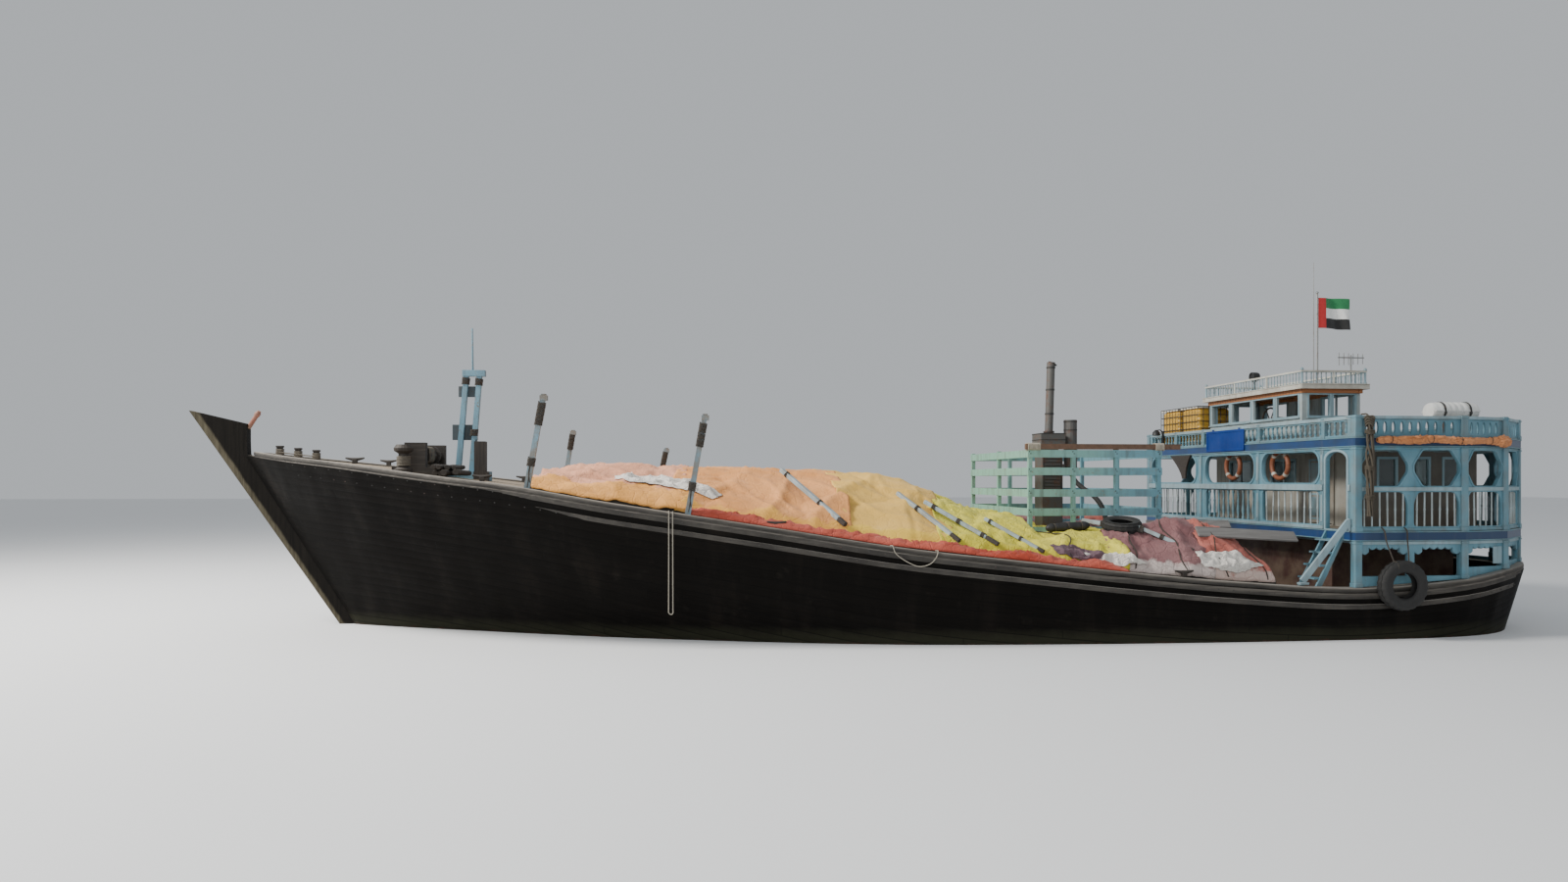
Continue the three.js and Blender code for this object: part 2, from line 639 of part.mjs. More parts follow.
// A stretch of wall with a number of equal bays, from u0 to u1 along its line
function wallHoles(u0, u1, bays) {
  const pitch = (u1 - u0) / bays;
  return Array.from({ length: bays }, (_, i) =>
    bayHoles(u0 + i * pitch + PILLAR / 2, u0 + (i + 1) * pitch - PILLAR / 2)).flat();
}

function galleryWall(from, to, bays, start, end) {
  const length = span(from, to);
  const holes = wallHoles(20, length - 20, bays);
  return panel(from, to, rectangle(start, length - end, wallLow, wallHigh), holes);
}

const [FRONT_CORNER, SIDE_BEND, QUARTER, STERN_SIDE, STERN_CORNER] = GALLERY_PLAN;
const clearOfPost = POST / 2 + SEAT;

function makeGalleryPort() {
  return join([
    cornerPost(FRONT_CORNER, FRONT_CORNER, SIDE_BEND, wallLow, wallHigh),
    galleryWall(FRONT_CORNER, SIDE_BEND, 2, 0, 0),
    cornerPost(SIDE_BEND, FRONT_CORNER, SIDE_BEND, wallLow, wallHigh),
    galleryWall(SIDE_BEND, QUARTER, 1, 0, clearOfPost),
  ]);
}

function sternHalf(low, high, wall) {
  return [
    cornerPost(QUARTER, SIDE_BEND, QUARTER, low, high),
    wall(QUARTER, STERN_SIDE, 1),
    cornerPost(STERN_SIDE, QUARTER, STERN_SIDE, low, high),
    wall(STERN_SIDE, STERN_CORNER, 1),
    cornerPost(STERN_CORNER, STERN_CORNER, starboard(STERN_CORNER), low, high),
  ];
}

function makeGalleryStern() {
  const half = join(sternHalf(wallLow, wallHigh, (from, to, bays) => galleryWall(from, to, bays, 0, 0)));
  return join([half, mirrored(half), galleryWall(STERN_CORNER, starboard(STERN_CORNER), 3, 0, 0)]);
}

function makeGalleryFront() {
  const width = 2 * FRONT_CORNER[1];
  const alongFront = (y) => FRONT_CORNER[1] - y;
  const holes = FRONT_BAYS.flatMap(({ port, starboard: far, kind }) => {
    const [u0, u1] = [alongFront(port), alongFront(far)];
    if (kind === 'door') return [octagon(u0, u1, wallLow + 10, OPENING.high, 90)];
    return [
      octagon(u0, u1, OPENING.low + 60, OPENING.high, 110),
      ...slots(u0, u1, BALUSTRADE.low, BALUSTRADE.high, BALUSTRADE.pitch, BALUSTRADE.gap),
    ];
  });
  const face = rectangle(clearOfPost, width - clearOfPost, wallLow, wallHigh);
  return panel(FRONT_CORNER, starboard(FRONT_CORNER), face, holes);
}

// Pillars and valance between the hull's rail and the gallery floor
function screenWall(from, to, bays, start, end) {
  const length = span(from, to);
  const sill = Math.max(hullTop(from[0]), hullTop(to[0])) + RAIL_RISE + 70;
  const pitch = length / bays;
  const holes = Array.from({ length: bays }, (_, i) => {
    const [u0, u1] = [i * pitch + PILLAR / 2 + 10, (i + 1) * pitch - PILLAR / 2 - 10];
    return [[u0, sill], [u1, sill], [u1, 1620], [u1 - 180, 1790], [u0 + 180, 1790], [u0, 1620]];
  });
  return panel(from, to, rectangle(start, length - end, 900, GALLERY_FLOOR - SEAT), holes);
}

function makeScreenPort() {
  return join([
    cornerPost(FRONT_CORNER, FRONT_CORNER, SIDE_BEND, 900, GALLERY_FLOOR - SEAT),
    screenWall(FRONT_CORNER, SIDE_BEND, 2, 0, 0),
    screenWall(SIDE_BEND, QUARTER, 1, 0, clearOfPost),
  ]).subtract(railGround);
}

function makeScreenStern() {
  const half = join(sternHalf(900, GALLERY_FLOOR - SEAT, (from, to, bays) => screenWall(from, to, bays, 0, 0)));
  const transom = screenWall(STERN_CORNER, starboard(STERN_CORNER), 3, 0, 0);
  return join([half, mirrored(half), transom]).subtract(railGround);
}

// A deck slab standing out beyond the walls
function deckSlab(low, high) {
  const out = BAND_OUT;
  const port = [
    [FRONT_CORNER[0] + out, FRONT_CORNER[1] + out],
    [SIDE_BEND[0] - 10, SIDE_BEND[1] + out],
    [QUARTER[0] - 40, QUARTER[1] + out],
    [STERN_SIDE[0] - 70, STERN_SIDE[1] + 50],
    [STERN_CORNER[0] - out, STERN_CORNER[1] + 20],
  ];
  return floorPlate([...port, ...port.map(starboard).reverse()], low, high);
}

// Upper rail of boards with oval gaps
function railHoles(u0, u1) {
  const pitch = 230;
  const count = Math.floor((u1 - u0) / pitch);
  const start = (u0 + u1 - count * pitch) / 2;
  return Array.from({ length: count }, (_, i) => {
    const u = start + (i + 0.5) * pitch;
    return rectangle(u - 65, u + 65, railLow + 70, TOP_RAIL_Z - 90);
  });
}

function upperRailWall(from, to, start = 0, end = 0) {
  const length = span(from, to);
  const face = rectangle(start, length - end, railLow, TOP_RAIL_Z);
  const board = panel(from, to, face, railHoles(130, length - 130), 60);
  const cap = panel(from, to, rectangle(start, length - end, TOP_RAIL_Z - 60, TOP_RAIL_Z), [], 120);
  return board.add(cap);
}

function makeUpperRailAft() {
  const half = join([
    cornerPost(FRONT_CORNER, FRONT_CORNER, SIDE_BEND, railLow, TOP_RAIL_Z + 20),
    upperRailWall(FRONT_CORNER, SIDE_BEND),
    cornerPost(SIDE_BEND, FRONT_CORNER, SIDE_BEND, railLow, TOP_RAIL_Z),
    upperRailWall(SIDE_BEND, QUARTER),
    ...sternHalf(railLow, TOP_RAIL_Z, (from, to) => upperRailWall(from, to)),
  ]);
  return join([half, mirrored(half), upperRailWall(STERN_CORNER, starboard(STERN_CORNER))]);
}

function makeUpperRailFront() {
  return upperRailWall(FRONT_CORNER, starboard(FRONT_CORNER), clearOfPost, clearOfPost);
}

// Cabin behind the gallery's front
const CABIN = { front: -11100, aft: -14000, half: 2900 };
const CABIN_WALL = 60;
const CABIN_DOOR = { port: 2100, starboard: 1250, high: 3900 };
const HINGE_R = 20;
const DOOR_THICK = 36;
const DOOR_LAP = 20;

// Lugs over and under a door's hinge barrel, seated on the wall's outer face
function hingeLugs(axisX, axisY, faceX, low, high) {
  const [x0, x1] = [Math.min(axisX - 25, faceX), Math.max(axisX + 25, faceX)];
  return [[low - 30, low - SEAT], [high + SEAT, high + 30]].map(([z0, z1]) =>
    box(x0, x1, axisY - 28, axisY + 28, z0, z1));
}

const CABIN_DOOR_AXIS = { x: CABIN.front + CABIN_WALL / 2 + 5 + HINGE_R, y: CABIN_DOOR.port + 60 };
const CABIN_DOOR_LOW = wallLow + 60;

function makeCabinFront() {
  const from = [CABIN.front, CABIN.half];
  const to = [CABIN.front, -CABIN.half];
  const along = (y) => CABIN.half - y;
  const holes = [
    rectangle(along(CABIN_DOOR.port), along(CABIN_DOOR.starboard), wallLow + 40, CABIN_DOOR.high),
    rectangle(along(700), along(-300), 3150, 3800),
    rectangle(along(-1200), along(-2200), 3150, 3800),
  ];
  const face = rectangle(0, 2 * CABIN.half, wallLow, wallHigh);
  const wall = panel(from, to, face, holes, CABIN_WALL);
  const { x, y } = CABIN_DOOR_AXIS;
  return join([wall, ...hingeLugs(x, y, CABIN.front, CABIN_DOOR_LOW, CABIN_DOOR.high)]);
}

function makeCabinDoor() {
  const { x, y } = CABIN_DOOR_AXIS;
  const leaf = box(x - DOOR_THICK / 2, x + DOOR_THICK / 2, CABIN_DOOR.starboard - DOOR_LAP, y, CABIN_DOOR_LOW, CABIN_DOOR.high);
  return leaf.add(bar([x, y, CABIN_DOOR_LOW], [x, y, CABIN_DOOR.high], HINGE_R, 16));
}

function makeCabinShell() {
  const front = CABIN.front - CABIN_WALL / 2 - SEAT;
  const walls = [1, -1].map((side) => {
    const y = side * (CABIN.half - CABIN_WALL / 2);
    const windows = [-11600, -12400, -13200].map((x) => rectangle(front - x, front - x + 450, 3150, 3800));
    return panel([front, y], [CABIN.aft, y], rectangle(0, front - CABIN.aft, wallLow, wallHigh), windows, CABIN_WALL);
  });
  const across = 2 * CABIN.half;
  const back = rectangle(0, across, wallLow, wallHigh);
  const windows = [1300, 3900].map((u) => rectangle(u, u + 600, 3150, 3800));
  return join([...walls, panel([CABIN.aft, CABIN.half], [CABIN.aft, -CABIN.half], back, windows, CABIN_WALL)]);
}

// House on the main deck, closed, under the gallery
function makeLowerHouse() {
  return box(-13700, -10700, -2600, 2600, WELL_DECK_Z + SEAT, GALLERY_FLOOR - SEAT);
}

// Steps from the main deck to the gallery's doorway
function makeStair() {
  const [low, high] = [WELL_DECK_Z + SEAT, GALLERY_FLOOR + DECK_THICK];
  const foot = -8760;
  const head = GALLERY_X + BAND_OUT + SEAT;
  const stringers = [3620, 4180].map((y) =>
    sidePlate([[foot, low], [foot - 160, low], [head, high - 170], [head, high]], y, y + 50));
  const steps = 7;
  const treads = Array.from({ length: steps }, (_, i) => {
    const share = (i + 0.7) / (steps + 0.4);
    const x = foot - 80 + (head - foot + 80) * share;
    const z = low + (high - low) * share;
    return box(x - 20, x + 160, 3640, 4200, z - 35, z);
  });
  return join([...stringers, ...treads]);
}

// Wheelhouse
const HOUSE = { front: -10400, aft: -11800, half: 2000 };
const HOUSE_WALL = 60;
const houseLow = railLow;
const houseHigh = ROOF_Z - SEAT;
const HOUSE_DOOR = { port: 350, starboard: -350, high: 5350 };
const HOUSE_DOOR_AXIS = { x: HOUSE.aft - HOUSE_WALL / 2 - 5 - HINGE_R, y: HOUSE_DOOR.port + 60 };
const HOUSE_DOOR_LOW = houseLow + 60;

function makeWheelhouseFront() {
  const width = 2 * HOUSE.half;
  const count = 4;
  const pitch = (width - 100) / count;
  const windows = Array.from({ length: count }, (_, i) =>
    rectangle(90 + i * pitch, 10 + (i + 1) * pitch, 4800, 5330));
  const face = rectangle(0, width, houseLow, houseHigh);
  return panel([HOUSE.front, HOUSE.half], [HOUSE.front, -HOUSE.half], face, windows, HOUSE_WALL);
}

function makeWheelhouseShell() {
  const front = HOUSE.front - HOUSE_WALL / 2 - SEAT;
  const depth = front - HOUSE.aft;
  const sides = [1, -1].map((side) => {
    const y = side * (HOUSE.half - HOUSE_WALL / 2);
    const windows = [rectangle(100, depth / 2 - 30, 4800, 5330), rectangle(depth / 2 + 30, depth - 90, 4800, 5330)];
    return panel([front, y], [HOUSE.aft, y], rectangle(0, depth, houseLow, houseHigh), windows, HOUSE_WALL);
  });
  const along = (y) => HOUSE.half - y;
  const holes = [
    rectangle(along(HOUSE_DOOR.port), along(HOUSE_DOOR.starboard), houseLow + 40, HOUSE_DOOR.high),
    rectangle(along(1700), along(700), 4800, 5330),
    rectangle(along(-700), along(-1700), 4800, 5330),
  ];
  const face = rectangle(0, 2 * HOUSE.half, houseLow, houseHigh);
  const back = panel([HOUSE.aft, HOUSE.half], [HOUSE.aft, -HOUSE.half], face, holes, HOUSE_WALL);
  const { x, y } = HOUSE_DOOR_AXIS;
  return join([...sides, back, ...hingeLugs(x, y, HOUSE.aft, HOUSE_DOOR_LOW, HOUSE_DOOR.high)]);
}

function makeWheelhouseDoor() {
  const { x, y } = HOUSE_DOOR_AXIS;
  const leaf = box(x - DOOR_THICK / 2, x + DOOR_THICK / 2, HOUSE_DOOR.starboard - DOOR_LAP, y, HOUSE_DOOR_LOW, HOUSE_DOOR.high);
  return leaf.add(bar([x, y, HOUSE_DOOR_LOW], [x, y, HOUSE_DOOR.high], HINGE_R, 16));
}

function makeRoof() {
  const [x0, x1] = [HOUSE.aft - 150, HOUSE.front + 150];
  const half = HOUSE.half + 150;
  const slab = box(x0, x1, -half, half, ROOF_Z, ROOF_Z + ROOF_THICK);
  const top = ROOF_Z + ROOF_THICK;
  const railTop = top + 330;
  const posts = [];
  for (const x of [x0 + 60, (x0 + x1) / 2, x1 - 60]) {
    for (const side of [1, -1]) posts.push(bar([x, side * (half - 60), top - 20], [x, side * (half - 60), railTop], 25, 8));
  }
  for (const y of [-700, 700]) {
    for (const x of [x0 + 60, x1 - 60]) posts.push(bar([x, y, top - 20], [x, y, railTop], 25, 8));
  }
  const rails = [1, -1].flatMap((side) => [
    box(x0 + 30, x1 - 30, side * (half - 60) - 30, side * (half - 60) + 30, railTop - 40, railTop),
  ]);
  for (const x of [x0 + 60, x1 - 60]) rails.push(box(x - 30, x + 30, -half + 60, half - 60, railTop - 40, railTop));
  return join([slab, ...posts, ...rails]);
}

const HELM = { x: -10850, y: 0, radius: 340, rim: 25 };

function makePedestal() {
  const boss = HELM.x - 60 - SEAT;
  const column = box(boss - 220, boss - 20, -110, 110, houseLow, WHEEL_AXIS_Z + 110);
  return column.add(bar([boss - 60, 0, WHEEL_AXIS_Z], [boss, 0, WHEEL_AXIS_Z], 60, 16));
}

function makeSteeringWheel() {
  const rimPath = Array.from({ length: 7 }, (_, i) => {
    const a = (i / 6) * 2 * Math.PI;
    return new THREE.Vector2(HELM.radius + HELM.rim * Math.cos(a), HELM.rim * Math.sin(a));
  });
  const rim = new THREE.LatheGeometry(rimPath, 24);
  rim.rotateZ(Math.PI / 2);
  rim.translate(HELM.x, 0, WHEEL_AXIS_Z);
  const spokes = Array.from({ length: 6 }, (_, i) => {
    const a = (i / 6) * 2 * Math.PI;
    const reach = HELM.radius + 70;
    return bar([HELM.x, 0, WHEEL_AXIS_Z], [HELM.x, reach * Math.cos(a), WHEEL_AXIS_Z + reach * Math.sin(a)], 14, 6);
  });
  const hub = bar([HELM.x - 60, 0, WHEEL_AXIS_Z], [HELM.x + 50, 0, WHEEL_AXIS_Z], 50, 16);
  return join([solid(rim), ...spokes, hub]);
}

// Tanks on a shared pallet, at the front of the upper deck
const TANKS = [{ y0: -4240, y1: -3220 }, { y0: -3120, y1: -2150 }];
const TANK_X = [-11120, -10080];

function makeTanks() {
  const [x0, x1] = TANK_X;
  const pallet = box(x0, x1, TANKS[0].y0, TANKS[1].y1, railLow, railLow + 120);
  const bodies = TANKS.map(({ y0, y1 }) => box(x0 + 40, x1 - 40, y0 + 40, y1 - 40, railLow + 100, 5330));
  const frames = TANKS.flatMap(({ y0, y1 }) => {
    const uprights = [y0, (y0 + y1) / 2, y1].flatMap((y) =>
      [x0 + 15, x1 - 15].map((x) => bar([x, Math.min(Math.max(y, y0 + 15), y1 - 15), railLow + 100],
        [x, Math.min(Math.max(y, y0 + 15), y1 - 15), 5330], 14, 6)));
    const lid = box(x0, x1, y0, y1, 5310, 5390);
    return [...uprights, lid];
  });
  return join([pallet, ...bodies, ...frames]);
}

// Life raft canister in its cradle
const RAFT = { fore: -12080, aft: -13180, y: 3800, z: 4800, radius: 205 };

function makeLifeRaft() {
  const canister = bar([RAFT.aft, RAFT.y, RAFT.z], [RAFT.fore, RAFT.y, RAFT.z], RAFT.radius, 20);
  const legs = [RAFT.fore - 250, RAFT.aft + 250].map((x) =>
    box(x - 30, x + 30, RAFT.y - 190, RAFT.y + 190, railLow, RAFT.z - 60));
  return join([canister, ...legs]);
}

// Awning rolled up along the edge of the upper deck
function makeAwningRoll() {
  const radius = 95;
  const y = FRONT_CORNER[1] + BAND_OUT + radius + SEAT;
  const z = 4130;
  const bend = [-12320, y, z];
  const forward = bar([-10250, y, z], bend, radius, 12, radius);
  const after = bar(bend, [-13420, y - 262, z], radius, 12, 80);
  return join([forward, after, solid(new THREE.SphereGeometry(radius * 0.98, 12, 8).translate(...bend))]);
}

// Tyre hung over the side, with the ropes that carry it
const TYRE = { x: -10690, z: 1130, outer: 520, hole: 270, half: 130 };

function makeTyre() {
  const y = 4600 + RAIL_OUT + TYRE.half + 3;
  const { outer, hole, half } = TYRE;
  const profile = [
    [hole, -half + 50], [hole + 40, -half], [outer - 70, -half], [outer, -half + 55],
    [outer, half - 55], [outer - 70, half], [hole + 40, half], [hole, half - 50], [hole, -half + 50],
  ];
  const geometry = new THREE.LatheGeometry(profile.map(([r, h]) => new THREE.Vector2(r, h)), 32);
  geometry.rotateZ(Math.PI);
  geometry.translate(TYRE.x, y, TYRE.z);
  const ropes = [-160, 160].map((dx) =>
    bar([TYRE.x + dx, y - 20, TYRE.z + 440], [TYRE.x + dx * 1.6, 4570, GALLERY_FLOOR + 60], 16, 8));
  const deck = box(TYRE.x - 500, TYRE.x + 500, 4400, 4800, GALLERY_FLOOR - SEAT, GALLERY_FLOOR + 200);
  return join([solid(geometry), ...ropes]).subtract(deck);
}

// Loose ropes over the port rail: each a route of x, distance outboard of the rail's edge, and height over its top
const ROPE_R = 10;
const ROPE_LOOP = [
  [4340, -240, 0.1], [4340, -170, 1], [4340, -100, 6], [4340, -10, 10], [4339, 18, 0], [4338, 26, -40], [4337, 22, -140],
  [4334, 14, -900], [4325, 14, -1880], [4300, 14, -2010], [4275, 14, -1880], [4266, 14, -900],
  [4263, 22, -140], [4262, 26, -40], [4261, 18, 0], [4260, -10, 10], [4260, -100, 6], [4260, -170, 1], [4260, -240, 0.1],
];
const ROPE_SAG = [
  [-60, -240, 0.1], [-60, -170, 1], [-60, -100, 6], [-62, -10, 10], [-68, 14, 0], [-80, 20, -40], [-120, 18, -130],
  [-340, 14, -270], [-600, 14, -340], [-820, 14, -260], [-930, 14, -130],
  [-962, 20, -40], [-970, 14, 0], [-974, -10, 10], [-976, -100, 6], [-976, -170, 1], [-976, -240, 0.1],
];

function makeRope(route, steps) {
  const points = route.map(([x, out, rise]) => new THREE.Vector3(
    x,
    topBreadth(x) + RAIL_OUT + ROPE_R + out,
    hullTop(x) + RAIL_RISE + ROPE_R + rise,
  ));
  const path = new THREE.CatmullRomCurve3(points, false, 'centripetal');
  const section = new THREE.Shape(Array.from({ length: 8 }, (_, i) => {
    const a = (i / 8) * 2 * Math.PI;
    return new THREE.Vector2(ROPE_R * Math.cos(a), ROPE_R * Math.sin(a));
  }));
  return solid(new THREE.ExtrudeGeometry(section, { extrudePath: path, steps, bevelEnabled: false }));
}

// Poles and antennas on the roof
const roofTop = ROOF_Z + ROOF_THICK + SEAT;
const FLAGSTAFF = { x: -11440, y: 1000, top: 7900, radius: 18 };
const WHIP = { x: -11620, y: 600, top: 8740 };
const AERIAL = { x: -11780, y: 1750, top: 6280 };

function makeFlagstaff() {
  const { x, y, top, radius } = FLAGSTAFF;
  return join([bar([x, y, roofTop], [x, y, top], radius, 8), bar([x, y, roofTop], [x, y, roofTop + 60], 60, 12)]);
}

function makeFlag() {
  const { x, y, top, radius } = FLAGSTAFF;
  const luff = x - radius - SEAT;
  return box(luff - 800, luff, y - 6, y + 6, top - 860, top - 120);
}

function makeWhip() {
  const { x, y, top } = WHIP;
  return join([bar([x, y, roofTop], [x, y, top], 14, 8, 6), bar([x, y, roofTop], [x, y, roofTop + 120], 45, 12)]);
}

function makeAerial() {
  const { x, y, top } = AERIAL;
  const mast = bar([x, y, roofTop], [x, y, top], 18, 8);
  const foot = bar([x, y, roofTop], [x, y, roofTop + 40], 60, 12);
  const boom = bar([x - 330, y, top - 60], [x + 330, y, top - 60], 14, 6);
  const rods = [-300, -180, -60, 60, 180, 300].map((dx, i) =>
    bar([x + dx, y, top - 60 - 150 - 8 * i], [x + dx, y, top - 60 + 90 + 6 * i], 8, 6));
  return join([mast, foot, boom, ...rods]);
}

// Every piece of the boat
add('hull', makeHull(), OILED);
add('stern_bulwark', makeSternBulwark(), OILED);
add('rail_port', makeRail(1), WEATHERED);
add('rail_starboard', makeRail(-1), WEATHERED);
add('stem_post', makeStem(), OILED);
add('keel', makeKeel(), OILED);
add('stern_post', makeSternPost(), OILED);
add('propeller', makePropeller(), BRONZE);
add('rudder', makeRudder(), OILED);
add('foredeck', makeForedeck(), PALE_WOOD);
add('hold_hatch', makeHatch(), WEATHERED);
for (const cover of COVERS) add(cover.name, makeCover(cover), paint(cover.color, 0.8));
add('windlass_bitts', makeWindlassBitts(), OILED);
add('windlass_barrel', makeWindlassBarrel(), OILED);
add('bollard', makeBollard(), OILED);
add('stub_mast', makeStubMast(), POST_BLUE);
for (const post of RAIL_POSTS) add(post.name, makeRailPost(post), POST_BLUE);
add('stock_pen', makePen(), MINT);
add('exhaust_stack', makeStack(), STEEL);
add('gallery_deck', deckSlab(GALLERY_FLOOR, GALLERY_FLOOR + DECK_THICK), NAVY);
add('gallery_front', makeGalleryFront(), BLUE);
add('gallery_port', makeGalleryPort(), BLUE);
add('gallery_starboard', mirrored(makeGalleryPort()), BLUE);
add('gallery_stern', makeGalleryStern(), BLUE);
add('screen_port', makeScreenPort(), BLUE);
add('screen_starboard', mirrored(makeScreenPort()), BLUE);
add('screen_stern', makeScreenStern(), BLUE);
add('lower_house', makeLowerHouse(), RED_BROWN);
add('stair', makeStair(), BLUE);
add('upper_deck', deckSlab(UPPER_FLOOR, UPPER_FLOOR + DECK_THICK), NAVY);
add('upper_rail_front', makeUpperRailFront(), BLUE);
add('upper_rail_aft', makeUpperRailAft(), BLUE);
add('cabin_front', makeCabinFront(), WHITE);
add('cabin_shell', makeCabinShell(), WHITE);
add('cabin_door', makeCabinDoor(), WHITE);
add('wheelhouse_front', makeWheelhouseFront(), WHITE);
add('wheelhouse_shell', makeWheelhouseShell(), WHITE);
add('wheelhouse_door', makeWheelhouseDoor(), WHITE);
add('wheelhouse_roof', makeRoof(), PALE_WOOD);
add('helm_pedestal', makePedestal(), WHITE);
add('steering_wheel', makeSteeringWheel(), PALE_WOOD);
add('water_tanks', makeTanks(), AMBER);
add('life_raft', makeLifeRaft(), WHITE);
add('awning_roll', makeAwningRoll(), ORANGE);
add('tyre_fender', makeTyre(), RUBBER);
add('rope_loop', makeRope(ROPE_LOOP, 70), ROPE);
add('rope_sag', makeRope(ROPE_SAG, 48), ROPE);
add('flagstaff', makeFlagstaff(), STEEL);
add('flag', makeFlag(), paint(0xb43c32, 0.8));
add('whip_antenna', makeWhip(), WHITE);
add('aerial', makeAerial(), STEEL);

export default boat;
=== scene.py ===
"""Wooden motor dhow afloat, with its working finish and fittings."""

import math
import random
from collections import namedtuple

import bmesh
import bpy
from bpy.props import FloatProperty, FloatVectorProperty, IntProperty, PointerProperty
from mathutils import Matrix, Vector, noise


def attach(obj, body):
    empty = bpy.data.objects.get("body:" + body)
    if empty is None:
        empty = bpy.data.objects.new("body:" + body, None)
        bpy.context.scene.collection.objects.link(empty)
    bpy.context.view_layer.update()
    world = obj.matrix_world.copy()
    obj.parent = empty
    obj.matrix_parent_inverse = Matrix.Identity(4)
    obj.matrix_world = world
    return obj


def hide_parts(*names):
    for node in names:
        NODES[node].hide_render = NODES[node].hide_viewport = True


bl_info = {
    "name": "Motor dhow",
    "version": (1, 0, 0),
    "blender": (4, 5, 0),
    "location": "View3D > Sidebar > Dhow",
    "description": "Makes a wooden motor dhow around its packed model",
    "category": "Object",
}

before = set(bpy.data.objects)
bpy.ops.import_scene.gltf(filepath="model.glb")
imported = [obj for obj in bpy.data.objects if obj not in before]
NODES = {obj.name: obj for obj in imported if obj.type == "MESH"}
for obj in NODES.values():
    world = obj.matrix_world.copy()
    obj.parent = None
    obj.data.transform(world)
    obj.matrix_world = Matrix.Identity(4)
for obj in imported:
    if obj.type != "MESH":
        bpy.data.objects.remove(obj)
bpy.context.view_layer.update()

# Hull lines in metres, the same as those of the solids
Section = namedtuple("Section", "x_keel x_top z_keel z_top b_water b_top full")
SECTIONS = [
    Section(-14.70, -15.10, -0.30, 1.40, 2.05, 2.30, 2.0),
    Section(-14.30, -14.60, -0.48, 1.37, 3.15, 3.45, 2.0),
    Section(-13.40, -13.50, -0.80, 1.29, 4.02, 4.30, 1.8),
    Section(-12.30, -12.30, -1.18, 1.12, 4.42, 4.60, 1.7),
    Section(-9.90, -9.90, -1.65, 0.96, 4.60, 4.60, 1.9),
    Section(-7.25, -7.25, -1.85, 1.11, 4.63, 4.60, 2.2),
    Section(-5.00, -5.00, -1.92, 1.32, 4.58, 4.58, 2.4),
    Section(-3.00, -3.00, -1.95, 1.54, 4.48, 4.54, 2.4),
    Section(0.00, 0.00, -1.95, 1.89, 4.15, 4.42, 2.3),
    Section(2.00, 2.00, -1.95, 2.21, 3.70, 4.30, 2.1),
    Section(4.00, 4.00, -1.95, 2.52, 3.12, 4.13, 1.9),
    Section(5.50, 5.70, -1.95, 2.78, 2.60, 3.93, 1.7),
    Section(7.00, 7.30, -1.95, 3.06, 2.00, 3.62, 1.5),
    Section(8.30, 9.30, -1.95, 3.31, 1.35, 2.95, 1.4),
    Section(9.30, 11.30, -1.95, 3.57, 0.80, 2.08, 1.3),
    Section(9.90, 12.85, -1.95, 3.74, 0.40, 1.08, 1.2),
    Section(10.30, 13.90, -1.95, 3.87, 0.11, 0.11, 1.0),
]
KEEL_HALF = 0.15

# Top of the cloths over the hold: x, height at the centre, half width of the flat part, shoulder height
HatchRow = namedtuple("HatchRow", "x z flat shoulder")
HATCH_LINE = [
    HatchRow(-8.30, 1.50, 2.30, 1.60),
    HatchRow(-7.60, 2.05, 2.35, 2.23),
    HatchRow(-6.30, 2.05, 2.40, 2.36),
    HatchRow(-5.40, 2.05, 2.45, 2.15),
    HatchRow(-3.60, 2.05, 2.45, 1.98),
    HatchRow(-3.45, 2.38, 2.30, 2.02),
    HatchRow(-2.60, 2.45, 2.20, 2.12),
    HatchRow(-1.80, 2.77, 2.10, 2.30),
    HatchRow(-0.80, 3.13, 2.00, 2.60),
    HatchRow(0.00, 3.30, 1.90, 2.75),
    HatchRow(0.90, 3.37, 1.85, 2.88),
    HatchRow(4.00, 3.44, 1.70, 3.08),
    HatchRow(6.50, 3.46, 1.40, 3.28),
    HatchRow(7.15, 3.40, 1.30, 3.29),
]
HATCH_EDGE = 0.31
SOFT_CORNER = 0.22
HEM = 0.35

# Cloths over the hold, each laid over the one abaft it: ends, colour, colour and width along its edges,
# and how crumpled it is, which also sets how dark the painted shade in its creases is
Cloth = namedtuple("Cloth", "name fore aft color edge hem rough seed")
CLOTHS = [
    Cloth("cover_salmon", -6.72, -8.25, (0.50, 0.125, 0.090), (0.62, 0.50, 0.44), 0.30, 1.00, 6),
    Cloth("cover_mauve", -4.86, -6.90, (0.225, 0.085, 0.090), (0.60, 0.52, 0.48), 0.24, 1.00, 5),
    Cloth("cover_lemon", -1.22, -5.06, (0.76, 0.68, 0.045), (0.58, 0.50, 0.035), 0.40, 1.10, 4),
    Cloth("cover_amber", 0.86, -1.52, (0.84, 0.50, 0.085), (0.80, 0.52, 0.07), 0.45, 0.30, 3),
    Cloth("cover_tan", 4.24, 0.60, (0.82, 0.34, 0.090), (0.80, 0.42, 0.07), 0.35, 0.50, 2),
    Cloth("cover_white", 7.10, 3.98, (0.80, 0.36, 0.205), (0.82, 0.38, 0.07), 0.60, 0.75, 1),
]

# Plan of the stern gallery on the port side, from its front corner to the stern corner
GALLERY_PLAN = [(-9.90, 4.50), (-12.30, 4.50), (-13.50, 4.20), (-14.60, 3.35), (-15.10, 2.20)]
FLOOR_LOW, FLOOR_TOP = 2.03, 2.23
UPPER_LOW, UPPER_TOP = 4.00, 4.20
TOP_RAIL = 4.65

# Boards and posts stand this far clear of the decks over and under them
CLEAR = 0.002

# Height of the hull's rail cap over the sheer line
RAIL_TOP = 0.105


